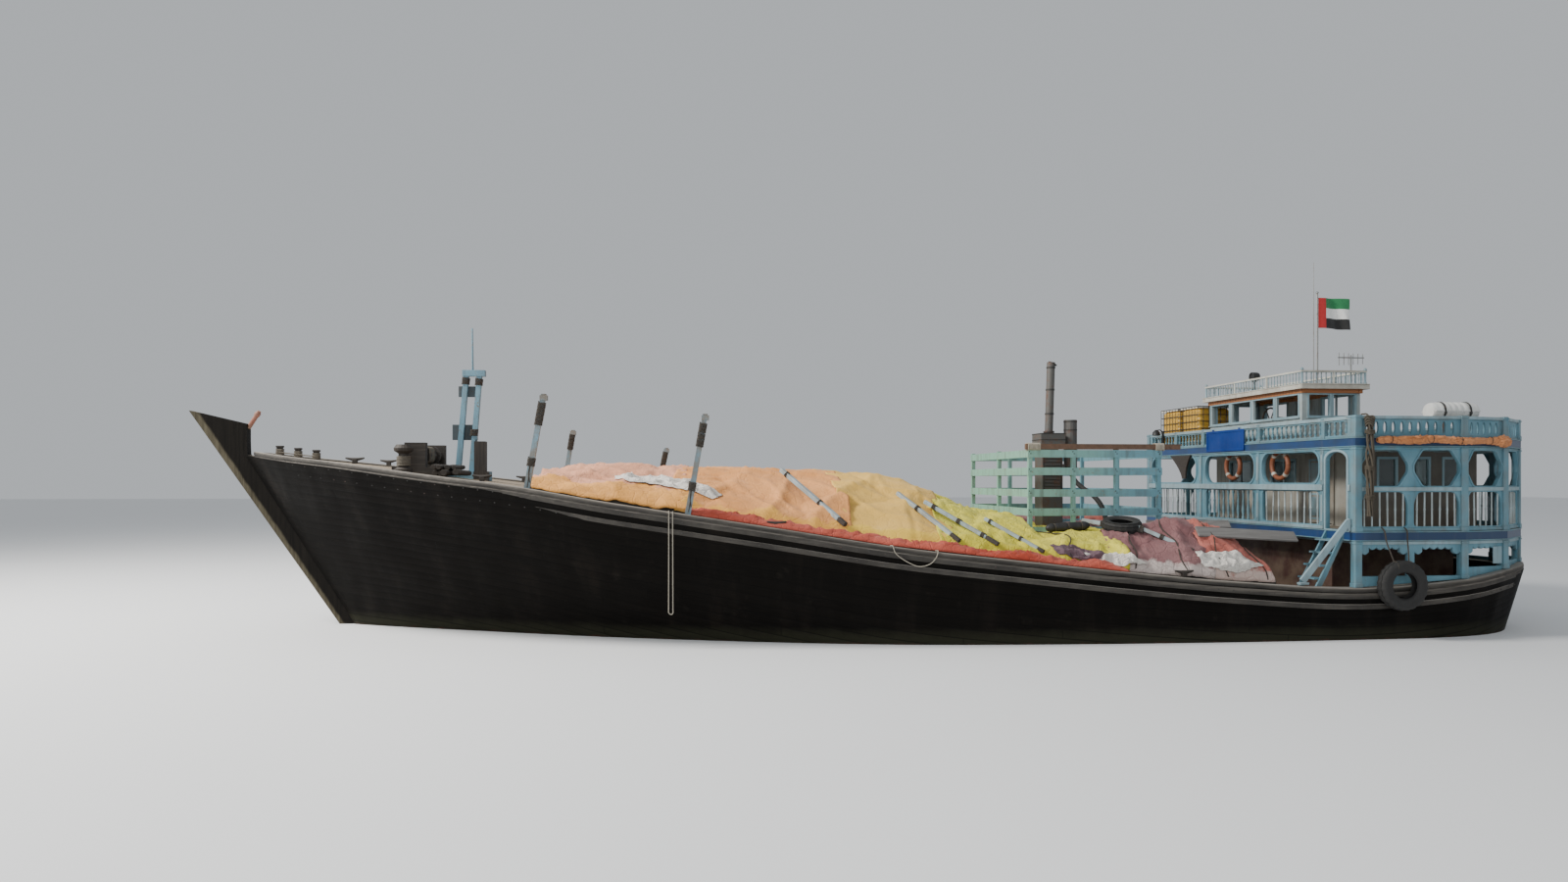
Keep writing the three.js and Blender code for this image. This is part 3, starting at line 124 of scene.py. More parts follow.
def line_at(rows, x, x_key, key):
    """Height or breadth on the straight lines between a table's rows."""
    for a, b in zip(rows, rows[1:]):
        if x <= getattr(b, x_key) or b is rows[-1]:
            share = (x - getattr(a, x_key)) / (getattr(b, x_key) - getattr(a, x_key))
            return getattr(a, key) + (getattr(b, key) - getattr(a, key)) * share


def hull_top(x):
    return line_at(SECTIONS, x, "x_top", "z_top")


def top_breadth(x):
    return line_at(SECTIONS, x, "x_top", "b_top")


def fair_line(knots, values):
    """A function that passes smoothly through the values."""
    steps = [(b - a) for a, b in zip(knots, knots[1:])]
    runs = [(b - a) / step for a, b, step in zip(values, values[1:], steps)]
    slopes = [runs[0]]
    for i in range(1, len(runs)):
        before, after = runs[i - 1], runs[i]
        if before * after <= 0:
            slopes.append(0.0)
            continue
        share = steps[i] / (steps[i - 1] + steps[i])
        slope = before * share + after * (1 - share)
        limit = 2.5 * min(abs(before), abs(after))
        slopes.append(clamp(slope, -limit, limit))
    slopes.append(runs[-1])

    def at(t):
        i = clamp(sum(1 for k in knots if k <= t) - 1, 0, len(steps) - 1)
        s = (t - knots[i]) / steps[i]
        a, b = values[i], values[i + 1]
        m0, m1 = slopes[i] * steps[i], slopes[i + 1] * steps[i]
        return ((2 * s**3 - 3 * s**2 + 1) * a + (s**3 - 2 * s**2 + s) * m0
                + (3 * s**2 - 2 * s**3) * b + (s**3 - s**2) * m1)

    return at


def fair_sections(step):
    """Hull sections at close, even steps along the sheer."""
    knots = run_along([(s.x_top, s.b_top) for s in SECTIONS])
    lines = [fair_line(knots, [getattr(s, key) for s in SECTIONS]) for key in Section._fields]
    stations = []
    for start, end in zip(knots, knots[1:]):
        count = max(2, round((end - start) / step))
        stations += [start + (end - start) * i / count for i in range(count)]
    return [(t, Section(*(line(t) for line in lines))) for t in [*stations, knots[-1]]]


def section_x(section, z):
    rise = (z - section.z_keel) / (section.z_top - section.z_keel)
    return section.x_keel + (section.x_top - section.x_keel) * rise


def half_breadth(section, z):
    if z >= 0:
        return section.b_water + (section.b_top - section.b_water) * z / section.z_top
    depth = min(z / section.z_keel, 1.0)
    keel = min(KEEL_HALF, section.b_water)
    return keel + (section.b_water - keel) * (1 - depth**section.full) ** 0.75


# Building blocks for pieces
MIRRORED = Matrix.Scale(-1, 4, (0, 1, 0))

# Faces of a bar with four corners at each end
BAR_FACES = [(0, 1, 2, 3), (4, 7, 6, 5), (0, 4, 5, 1), (1, 5, 6, 2), (2, 6, 7, 3), (3, 7, 4, 0)]


def clamp(value, low=0.0, high=1.0):
    return min(max(value, low), high)


def ring_faces(rings, width):
    """Faces round a run of closed rings of points, with both its ends capped."""
    around = [(j, (j + 1) % width) for j in range(width)]
    faces = [(base + j, base + k, base + width + k, base + width + j)
             for base in range(0, (rings - 1) * width, width) for j, k in around]
    last = (rings - 1) * width
    return [*faces, tuple(range(width))[::-1], tuple(range(last, last + width))]


def grid_faces(nx, ny):
    """Faces of a grid of points with ny + 1 points in each of its nx + 1 rows."""
    faces = []
    for i in range(nx):
        for j in range(ny):
            a = i * (ny + 1) + j
            faces.append((a, a + ny + 1, a + ny + 2, a + 1))
    return faces


def new_object(name, data):
    obj = bpy.data.objects.new(name, data)
    bpy.context.scene.collection.objects.link(obj)
    return obj


def point_along(obj, way):
    """Turns a lamp or a camera so that it looks a way."""
    obj.rotation_euler = Vector(way).to_track_quat("-Z", "Y").to_euler()


class Shape:
    """Points and faces of one piece while it is being built."""

    def __init__(self):
        self.points = []
        self.faces = []
        self.finishes = []
        self.maps = []

    def add(self, points, faces, finish=0, uv=None):
        base = len(self.points)
        self.points += [Vector(p) for p in points]
        self.maps += list(uv) if uv else [(0.0, 0.0)] * len(points)
        for face in faces:
            self.faces.append([base + i for i in face])
            self.finishes.append(finish)
        return self

    def join(self, other, matrix=None):
        move = matrix or Matrix.Identity(4)
        base = len(self.points)
        self.points += [move @ p for p in other.points]
        self.maps += other.maps
        flip = move.determinant() < 0
        for face, finish in zip(other.faces, other.finishes):
            order = [base + i for i in face]
            self.faces.append(order[::-1] if flip else order)
            self.finishes.append(finish)
        return self

    def mirror(self):
        """Adds the same shape on the other side of the centreline."""
        return self.join(Shape().join(self), MIRRORED)

    def box(self, low, high, finish=0, matrix=None):
        (x0, y0, z0), (x1, y1, z1) = low, high
        points = [(x, y, z) for z in (z0, z1) for y in (y0, y1) for x in (x0, x1)]
        faces = [(0, 2, 3, 1), (4, 5, 7, 6), (0, 1, 5, 4), (2, 6, 7, 3), (0, 4, 6, 2), (1, 3, 7, 5)]
        if matrix:
            points = [matrix @ Vector(p) for p in points]
        return self.add(points, faces, finish)

    def beam(self, a, b, wide, high, finish=0, up=(0, 0, 1)):
        """A straight board between two points."""
        a, b = Vector(a), Vector(b)
        along = (b - a).normalized()
        side = along.cross(Vector(up)).normalized() * (wide / 2)
        rise = side.cross(along).normalized() * (high / 2)
        ends = [a - side - rise, a + side - rise, a + side + rise, a - side + rise]
        return self.add(ends + [p + (b - a) for p in ends], BAR_FACES, finish)

    def tube(self, path, radius, sides=10, finish=0, strands=0, lay=0.0):
        """A round bar or, with strands, a twisted rope along a path of points."""
        path = [Vector(p) for p in path]
        radii = radius if isinstance(radius, (list, tuple)) else [radius] * len(path)
        normal = None
        points, uv = [], []
        run = 0.0
        for i, p in enumerate(path):
            along = (path[min(i + 1, len(path) - 1)] - path[max(i - 1, 0)]).normalized()
            if normal is None:
                seed = Vector((0, 0, 1)) if abs(along.z) < 0.9 else Vector((1, 0, 0))
                normal = along.cross(seed).normalized()
            normal = (normal - along * normal.dot(along)).normalized()
            other = along.cross(normal)
            run += (p - path[i - 1]).length if i else 0.0
            for j in range(sides):
                angle = 2 * math.pi * j / sides
                swell = 1.0
                if strands:
                    phase = strands * angle / 2 - math.pi * run / lay
                    swell = 0.80 + 0.20 * abs(math.cos(phase))
                points.append(p + (normal * math.cos(angle) + other * math.sin(angle)) * radii[i] * swell)
                uv.append((run, j / sides))
        return self.add(points, ring_faces(len(path), sides), finish, uv)

    def turned(self, profile, base, sides=16, finish=0, axis=(0, 0, 1)):
        """A turned piece from radius and height pairs, closed at both ends."""
        turn = Vector((0, 0, 1)).rotation_difference(Vector(axis)).to_matrix()
        points = []
        for radius, height in profile:
            for j in range(sides):
                angle = 2 * math.pi * j / sides
                p = Vector((radius * math.cos(angle), radius * math.sin(angle), height))
                points.append(Vector(base) + turn @ p)
        return self.add(points, ring_faces(len(profile), sides), finish)

    def skin(self, rings, lengths=None):
        """A closed skin through rings of equal counts, capped at both ends."""
        width = len(rings[0])
        uv = [(t, j) for t in lengths for j in range(width)] if lengths else None
        return self.add([p for ring in rings for p in ring], ring_faces(len(rings), width), 0, uv)

    def board(self, outline, holes, thick, matrix, finish=0, round_edge=0.006):
        """A sawn board with holes through it. Its outline is in u and v, placed by the matrix."""
        curve = bpy.data.curves.new("board", "CURVE")
        curve.dimensions = "2D"
        curve.fill_mode = "BOTH"
        curve.extrude = max(thick / 2 - round_edge, 0.001)
        curve.bevel_depth = round_edge
        curve.bevel_resolution = 1
        curve.offset = -round_edge
        for loop in [outline, *holes]:
            spline = curve.splines.new("POLY")
            spline.points.add(len(loop) - 1)
            for point, (u, v) in zip(spline.points, loop):
                point.co = (u, v, 0, 1)
            spline.use_cyclic_u = True
        holder = new_object("board", curve)
        graph = bpy.context.evaluated_depsgraph_get()
        mesh = bpy.data.meshes.new_from_object(holder.evaluated_get(graph))
        points = [matrix @ v.co for v in mesh.vertices]
        faces = [tuple(p.vertices) for p in mesh.polygons]
        if matrix.determinant() < 0:
            faces = [f[::-1] for f in faces]
        bpy.data.objects.remove(holder)
        bpy.data.curves.remove(curve)
        bpy.data.meshes.remove(mesh)
        return self.add(points, faces, finish)

    def piece(self, name, finishes, body="boat", bevel=0.0, smooth=40, replaces=(), slot=None, merge=True):
        """Turns the shape into a finished object that rides on a body."""
        mesh = bpy.data.meshes.new(name)
        mesh.from_pydata([tuple(p) for p in self.points], [], self.faces)
        layer = mesh.uv_layers.new(name="UVMap")
        for loop in mesh.loops:
            layer.data[loop.index].uv = self.maps[loop.vertex_index]
        for finish in finishes:
            mesh.materials.append(finish)
        mesh.polygons.foreach_set("material_index", self.finishes)
        if merge:
            work = bmesh.new()
            work.from_mesh(mesh)
            bmesh.ops.remove_doubles(work, verts=work.verts, dist=1e-5)
            work.to_mesh(mesh)
            work.free()
        mesh.polygons.foreach_set("use_smooth", [True] * len(mesh.polygons))
        mesh.set_sharp_from_angle(angle=math.radians(smooth))
        mesh.update()
        obj = new_object(name, mesh)
        if bevel:
            edges = obj.modifiers.new("edges", "BEVEL")
            edges.width = bevel
            edges.segments = 2
            edges.limit_method = "ANGLE"
            edges.angle_limit = math.radians(40)
        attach(obj, body)
        if replaces:
            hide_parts(*replaces)
        return obj


def thicken(obj, thickness, offset=0.0):
    wall = obj.modifiers.new("thickness", "SOLIDIFY")
    wall.thickness = thickness
    wall.offset = offset


def rounded(points, radius, steps=4):
    """An outline with its corners rounded."""
    result = []
    count = len(points)
    for i in range(count):
        here = Vector(points[i])
        before, after = Vector(points[i - 1]) - here, Vector(points[(i + 1) % count]) - here
        reach = min(radius, before.length / 2.05, after.length / 2.05)
        a, b = here + before.normalized() * reach, here + after.normalized() * reach
        for k in range(steps + 1):
            t = k / steps
            result.append(tuple(a * (1 - t) ** 2 + here * 2 * t * (1 - t) + b * t**2))
    return result


def rectangle(u0, u1, v0, v1):
    return [(u0, v0), (u1, v0), (u1, v1), (u0, v1)]


def octagon(u0, u1, v0, v1, cut, rise=None):
    """A rectangle with its corners cut off: cut along u and rise along v."""
    rise = cut if rise is None else rise
    return [(u0 + cut, v0), (u1 - cut, v0), (u1, v0 + rise), (u1, v1 - rise),
            (u1 - cut, v1), (u0 + cut, v1), (u0, v1 - rise), (u0, v0 + rise)]


def oval(u, v, half_wide, half_high, sides=14):
    return [(u + half_wide * math.cos(2 * math.pi * i / sides),
             v + half_high * math.sin(2 * math.pi * i / sides)) for i in range(sides)]


def wall_matrix(a, b):
    """Places u along a wall's foot line, v upwards and w out of the wall."""
    along = (Vector((*b, 0)) - Vector((*a, 0))).normalized()
    out = Vector((along.y, -along.x, 0))
    up = Vector((0, 0, 1))
    matrix = Matrix((along, up, out)).transposed().to_4x4()
    matrix.translation = Vector((*a, 0))
    return matrix


def wall_length(a, b):
    return math.hypot(b[0] - a[0], b[1] - a[1])


def soft_path(route, step):
    """A smooth path through route points, at even steps."""
    pts = [Vector(p) for p in route]
    pts = [pts[0] * 2 - pts[1], *pts, pts[-1] * 2 - pts[-2]]
    path = []
    for a, b, c, d in zip(pts, pts[1:], pts[2:], pts[3:]):
        count = max(1, math.ceil((c - b).length / step))
        knots = [0.0]
        for p, q in ((a, b), (b, c), (c, d)):
            knots.append(knots[-1] + max((q - p).length, 1e-6) ** 0.5)
        for i in range(count):
            t = knots[1] + (knots[2] - knots[1]) * i / count
            level = [a, b, c, d]
            for spans in (((0, 1), (1, 2), (2, 3)), ((0, 2), (1, 3)), ((1, 2),)):
                level = [p.lerp(q, (t - knots[low]) / (knots[high] - knots[low]))
                         for p, q, (low, high) in zip(level, level[1:], spans)]
            path.append(level[0])
    path.append(pts[-2])
    return path


def pairs(ring):
    """Each point of a closed run with the next."""
    return zip(ring, ring[1:] + ring[:1])


def circle(centre, u, v, count):
    """Points round a circle or an oval with two half axes, the first point again at the end."""
    centre, u, v = Vector(centre), Vector(u), Vector(v)
    return [centre + u * math.cos(a) + v * math.sin(a)
            for a in (2 * math.pi * k / count for k in range(count + 1))]


def run_along(line):
    """Lengths along a line of pairs from its start to each of them."""
    run = [0.0]
    for (y0, z0), (y1, z1) in zip(line, line[1:]):
        run.append(run[-1] + math.hypot(y1 - y0, z1 - z0))
    return run


def place_on(line, run, goal):
    """The place at a length along a line of pairs, and the step of the line that it lies on."""
    goal = clamp(goal, 0.0, run[-1])
    i = clamp(sum(1 for r in run if r <= goal) - 1, 0, len(line) - 2)
    part = (goal - run[i]) / max(run[i + 1] - run[i], 1e-9)
    (y0, z0), (y1, z1) = line[i], line[i + 1]
    return y0 + (y1 - y0) * part, z0 + (z1 - z0) * part, y1 - y0, z1 - z0


def ripple(x, y, z):
    """Smooth noise at a place, between -1 and 1."""
    return noise.noise(Vector((x, y, z)))


def ridge(at, sharp=3.0):
    """1 on thin lines that wander through space, falling to 0 beside them."""
    return 1 - min(abs(noise.noise(at)) * sharp, 1.0)


# Rows of like parts, made by one node tree
def row_tree():
    """Sets copies of one part along a straight row, each with a little tilt of its own."""
    tree = bpy.data.node_groups.get("row_of_parts")
    if tree:
        return tree
    tree = bpy.data.node_groups.new("row_of_parts", "GeometryNodeTree")
    sockets = [("Part", "NodeSocketObject"), ("Count", "NodeSocketInt"), ("Start", "NodeSocketVector"),
               ("Step", "NodeSocketVector"), ("Turn", "NodeSocketVector"), ("Tilt", "NodeSocketVector"),
               ("Seed", "NodeSocketInt"), ("Finish", "NodeSocketMaterial")]
    for name, kind in sockets:
        tree.interface.new_socket(name=name, in_out="INPUT", socket_type=kind)
    tree.interface.new_socket(name="Row", in_out="OUTPUT", socket_type="NodeSocketGeometry")
    add = tree.nodes.new
    given, result = add("NodeGroupInput"), add("NodeGroupOutput")
    line, info = add("GeometryNodeMeshLine"), add("GeometryNodeObjectInfo")
    line.mode = "OFFSET"
    info.inputs["As Instance"].default_value = True
    spread = add("FunctionNodeRandomValue")
    spread.data_type = "FLOAT_VECTOR"
    minus, total = add("ShaderNodeVectorMath"), add("ShaderNodeVectorMath")
    minus.operation = "SCALE"
    minus.inputs["Scale"].default_value = -1.0
    put, real, coat = (add("GeometryNodeInstanceOnPoints"), add("GeometryNodeRealizeInstances"),
                       add("GeometryNodeSetMaterial"))
    join = tree.links.new
    join(given.outputs["Part"], info.inputs["Object"])
    join(given.outputs["Count"], line.inputs["Count"])
    join(given.outputs["Start"], line.inputs["Start Location"])
    join(given.outputs["Step"], line.inputs["Offset"])
    join(given.outputs["Tilt"], minus.inputs[0])
    join(minus.outputs[0], spread.inputs["Min"])
    join(given.outputs["Tilt"], spread.inputs["Max"])
    join(given.outputs["Seed"], spread.inputs["Seed"])
    join(spread.outputs["Value"], total.inputs[0])
    join(given.outputs["Turn"], total.inputs[1])
    join(line.outputs["Mesh"], put.inputs["Points"])
    join(info.outputs["Geometry"], put.inputs["Instance"])
    join(total.outputs[0], put.inputs["Rotation"])
    join(put.outputs["Instances"], real.inputs["Geometry"])
    join(real.outputs["Geometry"], coat.inputs["Geometry"])
    join(given.outputs["Finish"], coat.inputs["Material"])
    join(coat.outputs["Geometry"], result.inputs["Row"])
    return tree


def row_of(part, count, start, step, turn=(0, 0, 0), tilt=(0, 0, 0), seed=1):
    """A shape with copies of a part along a row."""
    mesh = bpy.data.meshes.new("part")
    mesh.from_pydata([tuple(p) for p in part.points], [], part.faces)
    source, holder = new_object("part", mesh), new_object("row", bpy.data.meshes.new("row"))
    tree = row_tree()
    rows = holder.modifiers.new("rows", "NODES")
    rows.node_group = tree
    given = {"Part": source, "Count": count, "Start": start, "Step": step, "Turn": turn, "Tilt": tilt,
             "Seed": seed}
    for item in tree.interface.items_tree:
        if item.in_out == "INPUT" and item.name in given:
            value = given[item.name]
            rows[item.identifier] = tuple(float(v) for v in value) if isinstance(value, tuple) else value
    graph = bpy.context.evaluated_depsgraph_get()
    made = bpy.data.meshes.new_from_object(holder.evaluated_get(graph))
    result = Shape().add([v.co.copy() for v in made.vertices], [tuple(p.vertices) for p in made.polygons])
    for obj in (source, holder):
        bpy.data.objects.remove(obj)
    return result


# Finishes
class Finish:
    """A material while its nodes are wired up."""

    def __init__(self, name):
        self.material = bpy.data.materials.new(name)
        self.material.use_nodes = True
        self.tree = self.material.node_tree
        self.shader = self.tree.nodes["Principled BSDF"]

    def node(self, kind, inputs=None, **settings):
        node = self.tree.nodes.new(kind)
        for key, value in settings.items():
            setattr(node, key, value)
        for key, value in (inputs or {}).items():
            self.give(node.inputs[key], value)
        return node

    def give(self, socket, value):
        if isinstance(value, bpy.types.NodeSocket):
            self.tree.links.new(value, socket)
        elif socket.type == "RGBA" and len(value) == 3:
            socket.default_value = (*value, 1.0)
        else:
            socket.default_value = value

    def place(self, scale=(1, 1, 1), turn=(0, 0, 0), kind="Object"):
        source = self.node("ShaderNodeTexCoord").outputs[kind]
        given = {"Vector": source, "Rotation": turn, "Scale": scale}
        return self.node("ShaderNodeMapping", given).outputs[0]

    def noise(self, vector, scale, detail=3.0, rough=0.55, twist=0.0):
        given = {"Vector": vector, "Scale": scale, "Detail": detail, "Roughness": rough, "Distortion": twist}
        return self.node("ShaderNodeTexNoise", given).outputs[0]

    def span(self, value, low, high, to_low=0.0, to_high=1.0):
        given = {"Value": value, "From Min": low, "From Max": high, "To Min": to_low, "To Max": to_high}
        return self.node("ShaderNodeMapRange", given).outputs["Result"]

    def mix(self, share, a, b, blend="MIX"):
        node = self.node("ShaderNodeMix", data_type="RGBA", blend_type=blend)
        self.give(node.inputs[0], share)
        self.give(node.inputs[6], a)
        self.give(node.inputs[7], b)
        return node.outputs[2]

    def math(self, operation, a, b=0.0):
        return self.node("ShaderNodeMath", {0: a, 1: b}, operation=operation).outputs[0]

    def times(self, a, b):
        return self.math("MULTIPLY", a, b)

    def over(self, a, b):
        return self.math("GREATER_THAN", a, b)

    def lines(self, row, low, high):
        """1 on the lines between boards, for a measure that grows by one from board to board."""
        inside = self.math("ABSOLUTE", self.math("SUBTRACT", self.math("FRACT", row), 0.5))
        return self.span(inside, low, high)

    def dice(self, inputs, dimensions):
        """A random number for each whole number or place."""
        return self.node("ShaderNodeTexWhiteNoise", inputs, noise_dimensions=dimensions).outputs["Value"]

    def geometry(self, name):
        return self.node("ShaderNodeNewGeometry").outputs[name]

    def up(self):
        return self.axis(self.geometry("Normal"), "Z")

    def joined(self, **axes):
        return self.node("ShaderNodeCombineXYZ", axes).outputs[0]

    def axis(self, vector, name):
        return self.node("ShaderNodeSeparateXYZ", {"Vector": vector}).outputs[name]

    def bump(self, height, depth, strength=1.0, under=None):
        given = {"Height": height, "Distance": depth, "Strength": strength}
        if under:
            given["Normal"] = under
        return self.node("ShaderNodeBump", given).outputs[0]

    def finish(self, **sockets):
        names = {"color": "Base Color", "rough": "Roughness", "metal": "Metallic", "normal": "Normal",
                 "gloss": "Specular IOR Level", "sheen": "Sheen Weight", "clear": "Transmission Weight",
                 "coat": "Coat Weight", "alpha": "Alpha"}
        for key, value in sockets.items():
            self.give(self.shader.inputs[names[key]], value)
        return self.material


def darker(color, share):
    return tuple(c * share for c in color)


def toward(color, other, share):
    return tuple(a + (b - a) * share for a, b in zip(color, other))


WOOD_UNDER = (0.20, 0.15, 0.10)
DIRT = (0.09, 0.075, 0.06)
SEAM_COLOR = (0.02, 0.017, 0.014)

# Width of the caulked seams between deck planks, as shares of half a plank
CAULK = (0.455, 0.475)
PLANK_LENGTH = 5.6

# Leading edge of the stem: its x at the waterline and how far it runs forward for each metre up
STEM_FOOT = 11.97
STEM_RAKE = 0.658


def paint(name, color, wear=0.5, rough=0.55, streaks=0.5, gloss=0.5):
    """Chalky paint on boards: uneven colour, drips of dirt, chips down to the wood."""
    f = Finish(name)
    here = f.place()
    tone = f.span(f.noise(here, 1.3, 4.0), 0.3, 0.7)
    paled = toward(color, (0.8, 0.85, 0.85), 0.09 * min(1.0, 4 * max(color[:2])))
    base = f.mix(tone, darker(color, 0.78), paled)
    drips = f.noise(f.place((9, 9, 0.7)), 1.0, 4.0, 0.6)
    dirty = f.span(drips, 0.50, 0.78, 0.0, streaks)
    base = f.mix(dirty, base, DIRT)
    spots = f.noise(here, 22.0, 4.0, 0.7)
    patches = f.noise(here, 3.1, 3.0)
    chips = f.times(f.span(spots, 0.60, 0.64), f.span(patches, 0.50, 0.60))
    edge = f.span(f.geometry("Pointiness"), 0.53, 0.60, 0.0, wear)
    edge = f.times(edge, f.span(patches, 0.35, 0.6))
    bare = f.math("MAXIMUM", f.times(chips, wear), edge)
    base = f.mix(bare, base, WOOD_UNDER)
    grain = f.noise(f.place((60, 60, 6)), 1.0, 3.0, 0.6)
    normal = f.bump(grain, 0.0012, 0.6, f.bump(bare, 0.002, 0.6))
    sheen = f.span(tone, 0, 1, rough + 0.12, rough - 0.08)
    return f.finish(color=base, rough=sheen, gloss=gloss, normal=normal)


def bare_wood(name, light, dark, rough=0.75, seams=0.0):
    """Timber with grain along the boat, checks and, on decks, caulked seams."""
    f = Finish(name)
    grain = f.noise(f.place((1.1, 26, 26)), 1.0, 5.0, 0.62, 0.4)
    cloud = f.noise(f.place(), 0.9, 4.0)
    base = f.mix(f.span(grain, 0.25, 0.75), dark, light)
    base = f.mix(f.span(cloud, 0.35, 0.75, 0.0, 0.55), base, toward(light, dark, 0.75))
    height = f.span(grain, 0.3, 0.7)
    if seams:
        row = f.math("DIVIDE", f.axis(f.place(), "Y"), seams)
        line = f.lines(row, *CAULK)
        base = f.mix(f.span(f.dice({"W": f.math("FLOOR", row)}, "1D"), 0, 1, 0.0, 0.35), base, dark)
        base = f.mix(line, base, (0.015, 0.013, 0.012))
        height = f.math("SUBTRACT", height, f.times(line, 3.0))
    return f.finish(color=base, rough=rough, normal=f.bump(height, 0.002, 0.8))


def hull_wood():
    """Near-black oiled planking: planks, seams, butts, runs below the rail, a stain at the water."""
    f = Finish("oiled_planks")
    uv = f.place(kind="UV")
    along, row = f.axis(uv, "X"), f.axis(uv, "Y")
    strake = f.math("FLOOR", row)
    length = f.math("ADD", f.math("DIVIDE", along, PLANK_LENGTH), f.times(f.dice({"W": strake}, "1D"), 3.0))
    plank = f.dice({"Vector": f.joined(X=f.math("FLOOR", length), Y=strake)}, "3D")
    grain = f.noise(f.joined(X=f.times(along, 1.2), Y=f.times(row, 9.0)), 1.0, 5.0, 0.65, 0.5)
    base = f.mix(f.span(grain, 0.3, 0.75), (0.0016, 0.0014, 0.0012), (0.0058, 0.0046, 0.0036))
    base = f.mix(f.span(plank, 0, 1, 0.0, 0.50), base, (0.0060, 0.0048, 0.0038))
    here = f.place()
    runs = f.noise(f.place((1.6, 1.6, 0.16)), 1.0, 5.0, 0.6)
    base = f.mix(f.span(runs, 0.54, 0.82, 0.0, 0.34), base, (0.024, 0.017, 0.012))
    dust = f.noise(here, 2.6, 5.0, 0.7)
    base = f.mix(f.span(dust, 0.60, 0.86, 0.0, 0.30), base, (0.042, 0.035, 0.028))
    height = f.math("ADD", f.axis(here, "Z"), f.span(dust, 0, 1, -0.12, 0.12))
    stain = f.times(f.span(height, 0.34, 0.12), 0.8)
    base = f.mix(stain, base, (0.026, 0.026, 0.016))
    below = f.span(height, 0.03, -0.03, 0.0, 0.9)
    base = f.mix(below, base, (0.060, 0.030, 0.022))
    butt, seam = f.lines(length, 0.4982, 0.4990), f.lines(row, 0.43, 0.46)
    base = f.mix(f.times(f.math("MAXIMUM", butt, seam), 0.6), base, (0.0025, 0.0022, 0.0020))
    relief = f.math("SUBTRACT", f.span(grain, 0.3, 0.7), f.times(butt, 2.0))
    rough = f.span(runs, 0.4, 0.7, 0.66, 0.50)
    return f.finish(color=base, rough=rough, gloss=0.07, normal=f.bump(relief, 0.003, 0.8))


def stem_timber():
    """Stem: near-black oiled timber with a paler strip along its leading edge."""
    f = Finish("stem_timber")
    here = f.place()
    lead = f.math("SUBTRACT", f.axis(here, "X"), f.times(f.axis(here, "Z"), STEM_RAKE))
    ragged = f.math("ADD", lead, f.span(f.noise(here, 3.0, 4.0), 0, 1, -0.05, 0.05))
    lead_strip = f.span(ragged, STEM_FOOT - 0.20, STEM_FOOT - 0.14)
    grain = f.noise(f.place((22, 22, 1.2), (0, math.atan(STEM_RAKE), 0)), 1.0, 5.0, 0.65, 0.4)
    dark = f.mix(f.span(grain, 0.3, 0.75), (0.0030, 0.0024, 0.0018), (0.012, 0.0095, 0.007))
    light = f.mix(f.span(grain, 0.3, 0.7), (0.045, 0.038, 0.024), (0.115, 0.100, 0.066))
    base = f.mix(lead_strip, dark, light)
    return f.finish(color=base, rough=0.62, gloss=0.12, normal=f.bump(grain, 0.004, 0.8))


def plain_cloth(name, color, grime, rough=1.0):
    return cloth(name, color, grime=grime, rough=rough)


def cloth(name, color, edge=None, hem=0.6, grime=0.35, rough=1.0):
    """Coated cover cloth: weave, grime, painted shade in its creases and hollows, painted highlight in pale
    patches, and a second colour near its lower edge.
    """
    f = Finish(name)
    here = f.place()
    cloud = f.noise(here, 0.8, 4.0)
    base = f.mix(f.span(cloud, 0.3, 0.7), darker(color, 0.78), toward(color, (1, 0.95, 0.85), 0.06))
    if edge:
        lines = f.axis(f.place(kind="UV"), "Y")
        ragged = f.math("ADD", lines, f.span(f.noise(here, 1.7, 4.0), 0, 1, -0.5, 0.5))
        base = f.mix(f.span(ragged, hem + 0.04, hem - 0.04, 0.0, 0.9), base, edge)
    scuffs = f.noise(f.place((3, 3, 3)), 2.2, 5.0, 0.7)
    base = f.mix(f.span(scuffs, 0.58, 0.82, 0.0, grime), base, darker(color, 0.30))
    # Paler patches: painted highlight, standing for light falling on the cloth
    paled = f.noise(f.place((1, 1, 1)), 3.1, 5.0, 0.75)
    base = f.mix(f.span(paled, 0.60, 0.80, 0.0, 0.30), base, toward(color, (0.9, 0.85, 0.78), 0.5))
    # Darker where the cloth lies hollow: painted shade in its hollows
    hollow_shade = f.span(f.geometry("Pointiness"), 0.50, 0.42, 0.0, 0.55)
    base = f.mix(hollow_shade, base, darker(color, 0.40))
    bent = f.noise(here, 1.3, 3.0)
    moved = f.node("ShaderNodeVectorMath", {0: here, 1: f.mix(bent, (0, 0, 0), (0.5, 0.5, 0.5))},
                   operation="ADD").outputs[0]
    crease, small = (
        f.span(f.node("ShaderNodeTexVoronoi", {"Vector": moved, "Scale": scale},
                      feature="DISTANCE_TO_EDGE").outputs["Distance"], 0.0, wide)
        for scale, wide in ((3.8, 0.06), (10.0, 0.10)))
    # Darker along the creases: painted shade, the stronger the rougher the cloth
    base = f.mix(f.times(f.math("SUBTRACT", 1.0, crease), 0.16 * rough), base, darker(color, 0.50))
    weave = f.node("ShaderNodeTexWave", {"Vector": here, "Scale": 90.0, "Distortion": 1.0},
                   bands_direction="DIAGONAL").outputs["Fac"]
    wrinkle = f.noise(here, 7.0, 5.0, 0.65, 1.2)
    rise = f.math("ADD", f.times(crease, 0.6), f.times(small, 0.25))
    creased = f.bump(wrinkle, 0.012 + 0.013 * rough, 0.6, f.bump(weave, 0.0008, 0.5))
    normal = f.bump(rise, 0.03, 0.15 + 0.40 * rough, creased)
    return f.finish(color=base, rough=0.68, sheen=0.08, gloss=0.35, normal=normal)


